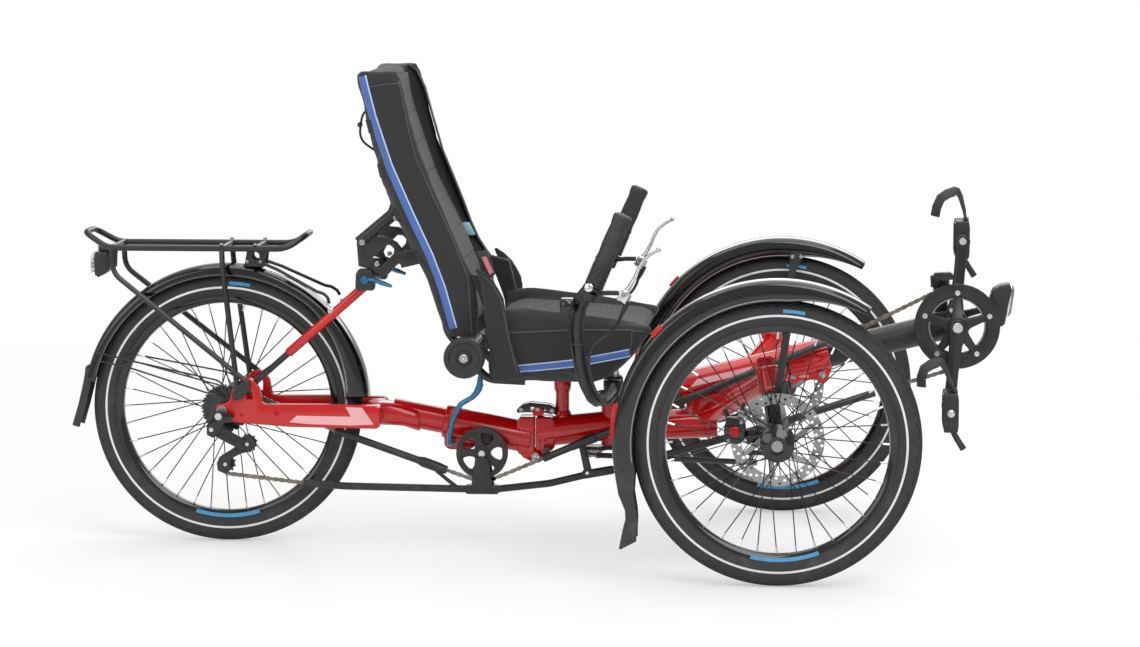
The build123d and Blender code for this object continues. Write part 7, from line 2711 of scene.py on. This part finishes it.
    def frame_work(self) -> None:
        """Rails, tubes, slotted plates, links, hangers and the roller axle."""
        rail = ((-678, 641), (-610, 497), (-590, 396), (-551, 346), (-520, 312), (-452, 309))
        rail = Bench.tube("rail", [(x, -SEAT_TUBE_Y, z) for x, z in rail], 7.5, 40, 20)
        tube = Bench.tube("tube", [(x, -SEAT_TUBE_Y, z) for x, z in ((-676, 640), (-686, 607), (-748, 555))],
                          10.8, 26, 24)
        plate = Bench.plate("slotted", [(-749, 513), (-752, 556), (-746, 565), (-736, 569), (-698, 566),
                                        (-680, 556), (-669, 542), (-671, 526), (-694, 500), (-702, 496),
                                        (-716, 495), (-730, 508)], -100, -92, 0)
        slot = Bench.plate("slot", [(-727, 520), (-724, 512), (-716, 509), (-708, 512), (-686, 536),
                                    (-685, 544), (-692, 551), (-701, 551), (-722, 530)], -110, -80, 0)
        link = Bench.plate("link", [(-682, 540), (-640, 541), (-634, 536), (-627, 524), (-630, 520),
                                    (-672, 510)], -100.4, -91.6, 1.4)
        hanger = Bench.plate("hanger", [(-560, 346), (-556, 342), (-544, 342), (-540, 346), (-540, 366),
                                        (-544, 371), (-556, 371), (-560, 366)], -102, -90, 1.4)
        parts = [rail, tube, Bench.bevel(Bench.cut(plate, slot), 1.2), link, hanger]
        dress(Bench.both(Bench.joined("seat_frame_rails", parts)), Palette.BLACK, self.body,
              ["seat_frame"])
        crosses = [Bench.tube("cross", [(x, -SEAT_TUBE_Y, z), (x, SEAT_TUBE_Y, z)], 6.0, 0, 18)
                   for x, z in ((-662, 607), (-470, 309))]
        dress(Bench.joined("seat_frame_crosses", crosses), Palette.BLACK, self.body)
        bolts = []
        for x, z, r, head in ((-741, 556, 5.4, -13.4), (-716, 517, 4.4, -7.4), (-632, 530, 4.4, -7.4),
                              (-680, 600, 5.4, -13.4)):
            profile = [(0.0, head), (r, head), (r, 6.0), (0.0, 6.0)]
            bolts.append(Bench.bevel(Bench.lathe("bolt", profile, (x, -SEAT_TUBE_Y, z), 16), 0.7))
        dress(Bench.both(Bench.joined("bolts", bolts), "seat_frame_bolts"), Palette.STEEL, self.body)
        end = ROLLER_Y + ROLLER_HALF + 4.0
        axle = Bench.tube("roller_axle", [(-550, -end, 364), (-550, end, 364)], 5.95, 0, 24)
        dress(Bench.bevel(axle, 1.0), Palette.STEEL, self.body)

    def build(self) -> None:
        """Builds the seat."""
        self.back()
        self.base()
        self.wings()
        self.frame_work()
        LOG.info("seat")


@dataclass
class Roller:
    """Transport roller: stepped tread, web and bolt."""

    side: Side
    radius: float = 36.0

    def build(self) -> None:
        """Builds the roller."""
        way = self.side.value
        body = f"roller_{self.side.word}"
        centre = (-550.0, way * ROLLER_Y, 364.0)
        r, w = self.radius, ROLLER_HALF
        profile = [(6.1, -w), (20.0, -w), (22.0, -w + 1.0), (30.0, -w + 2.0), (r - 1.4, -w + 3.0),
                   (r, -w + 5.0), (r, w - 4.0), (r - 1.0, w - 1.4), (r - 4.0, w), (28.0, w - 0.4),
                   (25.0, w - 3.0), (14.0, w - 3.4), (12.0, w), (6.1, w)]
        tread = Bench.lathe(body + "_tread", profile, centre, 60, True, axis=(0, way, 0))
        dress(tread, Palette.PLASTIC, body, [body])
        bolt = [(0.0, w + 4.6), (2.6, w + 4.6), (3.0, w + 3.6), (6.6, w + 3.6), (7.4, w + 2.8),
                (7.4, w + 0.4), (0.0, w + 0.4)]
        dress(Bench.lathe(body + "_bolt", bolt, centre, 20, axis=(0, way, 0)), Palette.SILVER, "seat")
        LOG.info("roller %s", self.side.word)


@dataclass
class Studio:
    """Pale floor, soft lamps, plain world and the camera."""

    camera_at: Point = (57.0, -6471.0, 1160.0)
    azimuth: float = 3.85
    elevation: float = 6.67
    lens: float = 114.38

    def floor(self) -> None:
        """Floor that fades into the white background, and keeps the machine's shadow."""
        Bench.clear()
        bpy.ops.mesh.primitive_plane_add(size=60.0, location=(0, 0, -0.0005))
        floor = bpy.context.object
        floor.name = "floor"
        material = bpy.data.materials.new("pale floor")
        material.use_nodes = True
        graph = Graph(material.node_tree)
        shader = material.node_tree.nodes["Principled BSDF"]
        shader.inputs["Base Color"].default_value = (0.93, 0.93, 0.93, 1.0)
        shader.inputs["Roughness"].default_value = 0.6
        place = graph.add("ShaderNodeTexCoord").outputs["Object"]
        reach = graph.add("ShaderNodeVectorMath", {"0": place}, operation="LENGTH").outputs["Value"]
        far = graph.spread(reach, 1.1, 3.4, 0.42, 1.0)
        seen = graph.add("ShaderNodeLightPath").outputs["Is Camera Ray"]
        white = graph.add("ShaderNodeEmission", {"Color": (1.0, 1.0, 1.0, 1.0), "Strength": 1.0})
        mixed = graph.add("ShaderNodeMixShader", {"0": graph.sums("MULTIPLY", far, seen)})
        links = material.node_tree.links
        links.new(shader.outputs[0], mixed.inputs[1])
        links.new(white.outputs[0], mixed.inputs[2])
        links.new(mixed.outputs[0], material.node_tree.nodes["Material Output"].inputs["Surface"])
        floor.data.materials.append(material)

    def world(self) -> None:
        """White to the camera and in reflections, soft grey as light."""
        world = bpy.data.worlds.new("studio")
        world.use_nodes = True
        bpy.context.scene.world = world
        graph = Graph(world.node_tree)
        path = graph.add("ShaderNodeLightPath")
        shown = graph.sums("MAXIMUM", path.outputs["Is Camera Ray"], path.outputs["Is Transmission Ray"])
        glossy = graph.spread(path.outputs["Is Glossy Ray"], 0.0, 1.0, 0.36, 0.55)
        strength = graph.sums("MAXIMUM", shown, glossy)
        background = world.node_tree.nodes["Background"]
        background.inputs["Color"].default_value = (1.0, 1.0, 1.0, 1.0)
        world.node_tree.links.new(strength, background.inputs["Strength"])

    def lamps(self) -> None:
        """Large soft lamps above and to the near side."""
        for name, place, size, power in (("key", (1.6, -3.2, 3.6), 3.0, 105.0),
                                         ("fill", (-3.2, -3.0, 2.2), 3.0, 48.0),
                                         ("top", (0.0, 0.4, 4.2), 4.0, 90.0),
                                         ("back", (0.5, 4.0, 2.4), 3.0, 60.0)):
            Bench.clear()
            bpy.ops.object.light_add(type="AREA", location=place)
            lamp = bpy.context.object
            lamp.name = name
            lamp.data.size = size
            lamp.data.energy = power
            aim = Vector((0.0, 0.0, 0.35)) - Vector(place)
            lamp.rotation_euler = aim.to_track_quat("-Z", "Y").to_euler()

    def camera(self) -> None:
        """Camera at the machine's right side."""
        Bench.clear()
        bpy.ops.object.camera_add(location=at(*self.camera_at))
        camera = bpy.context.object
        azimuth, elevation = math.radians(self.azimuth), math.radians(self.elevation)
        aim = Vector((-math.sin(azimuth) * math.cos(elevation), math.cos(azimuth) * math.cos(elevation),
                      -math.sin(elevation)))
        camera.rotation_euler = aim.to_track_quat("-Z", "Y").to_euler()
        camera.data.sensor_width = 36.0
        camera.data.lens = self.lens
        camera.data.clip_end = 100.0
        bpy.context.scene.camera = camera

    def build(self) -> None:
        """Sets the whole studio."""
        bpy.context.scene.view_settings.view_transform = "Standard"
        self.floor()
        self.world()
        self.lamps()
        self.camera()
        LOG.info("studio")


def main() -> None:
    """Builds the machine piece by piece, then the studio."""
    logging.basicConfig(level=logging.INFO, format="%(name)s: %(message)s")
    rear_guard = Mudguard(None, shell_r=262.0, half=32.0, start=5.0, end=169.0)
    assemblies = [Wheel(None), *map(Wheel, Side), FrontFrame(), MiddleFrame(), RearFrame(), Rack(),
                  rear_guard, *map(Mudguard, Side), Drive(), *map(Knuckle, Side), Handlebar(), Boom(),
                  Crankset(), *map(Pedal, Side), Seat(), *map(Roller, Side), Studio()]
    for assembly in assemblies:
        assembly.build()
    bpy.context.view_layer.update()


if __name__ == "__main__":
    main()
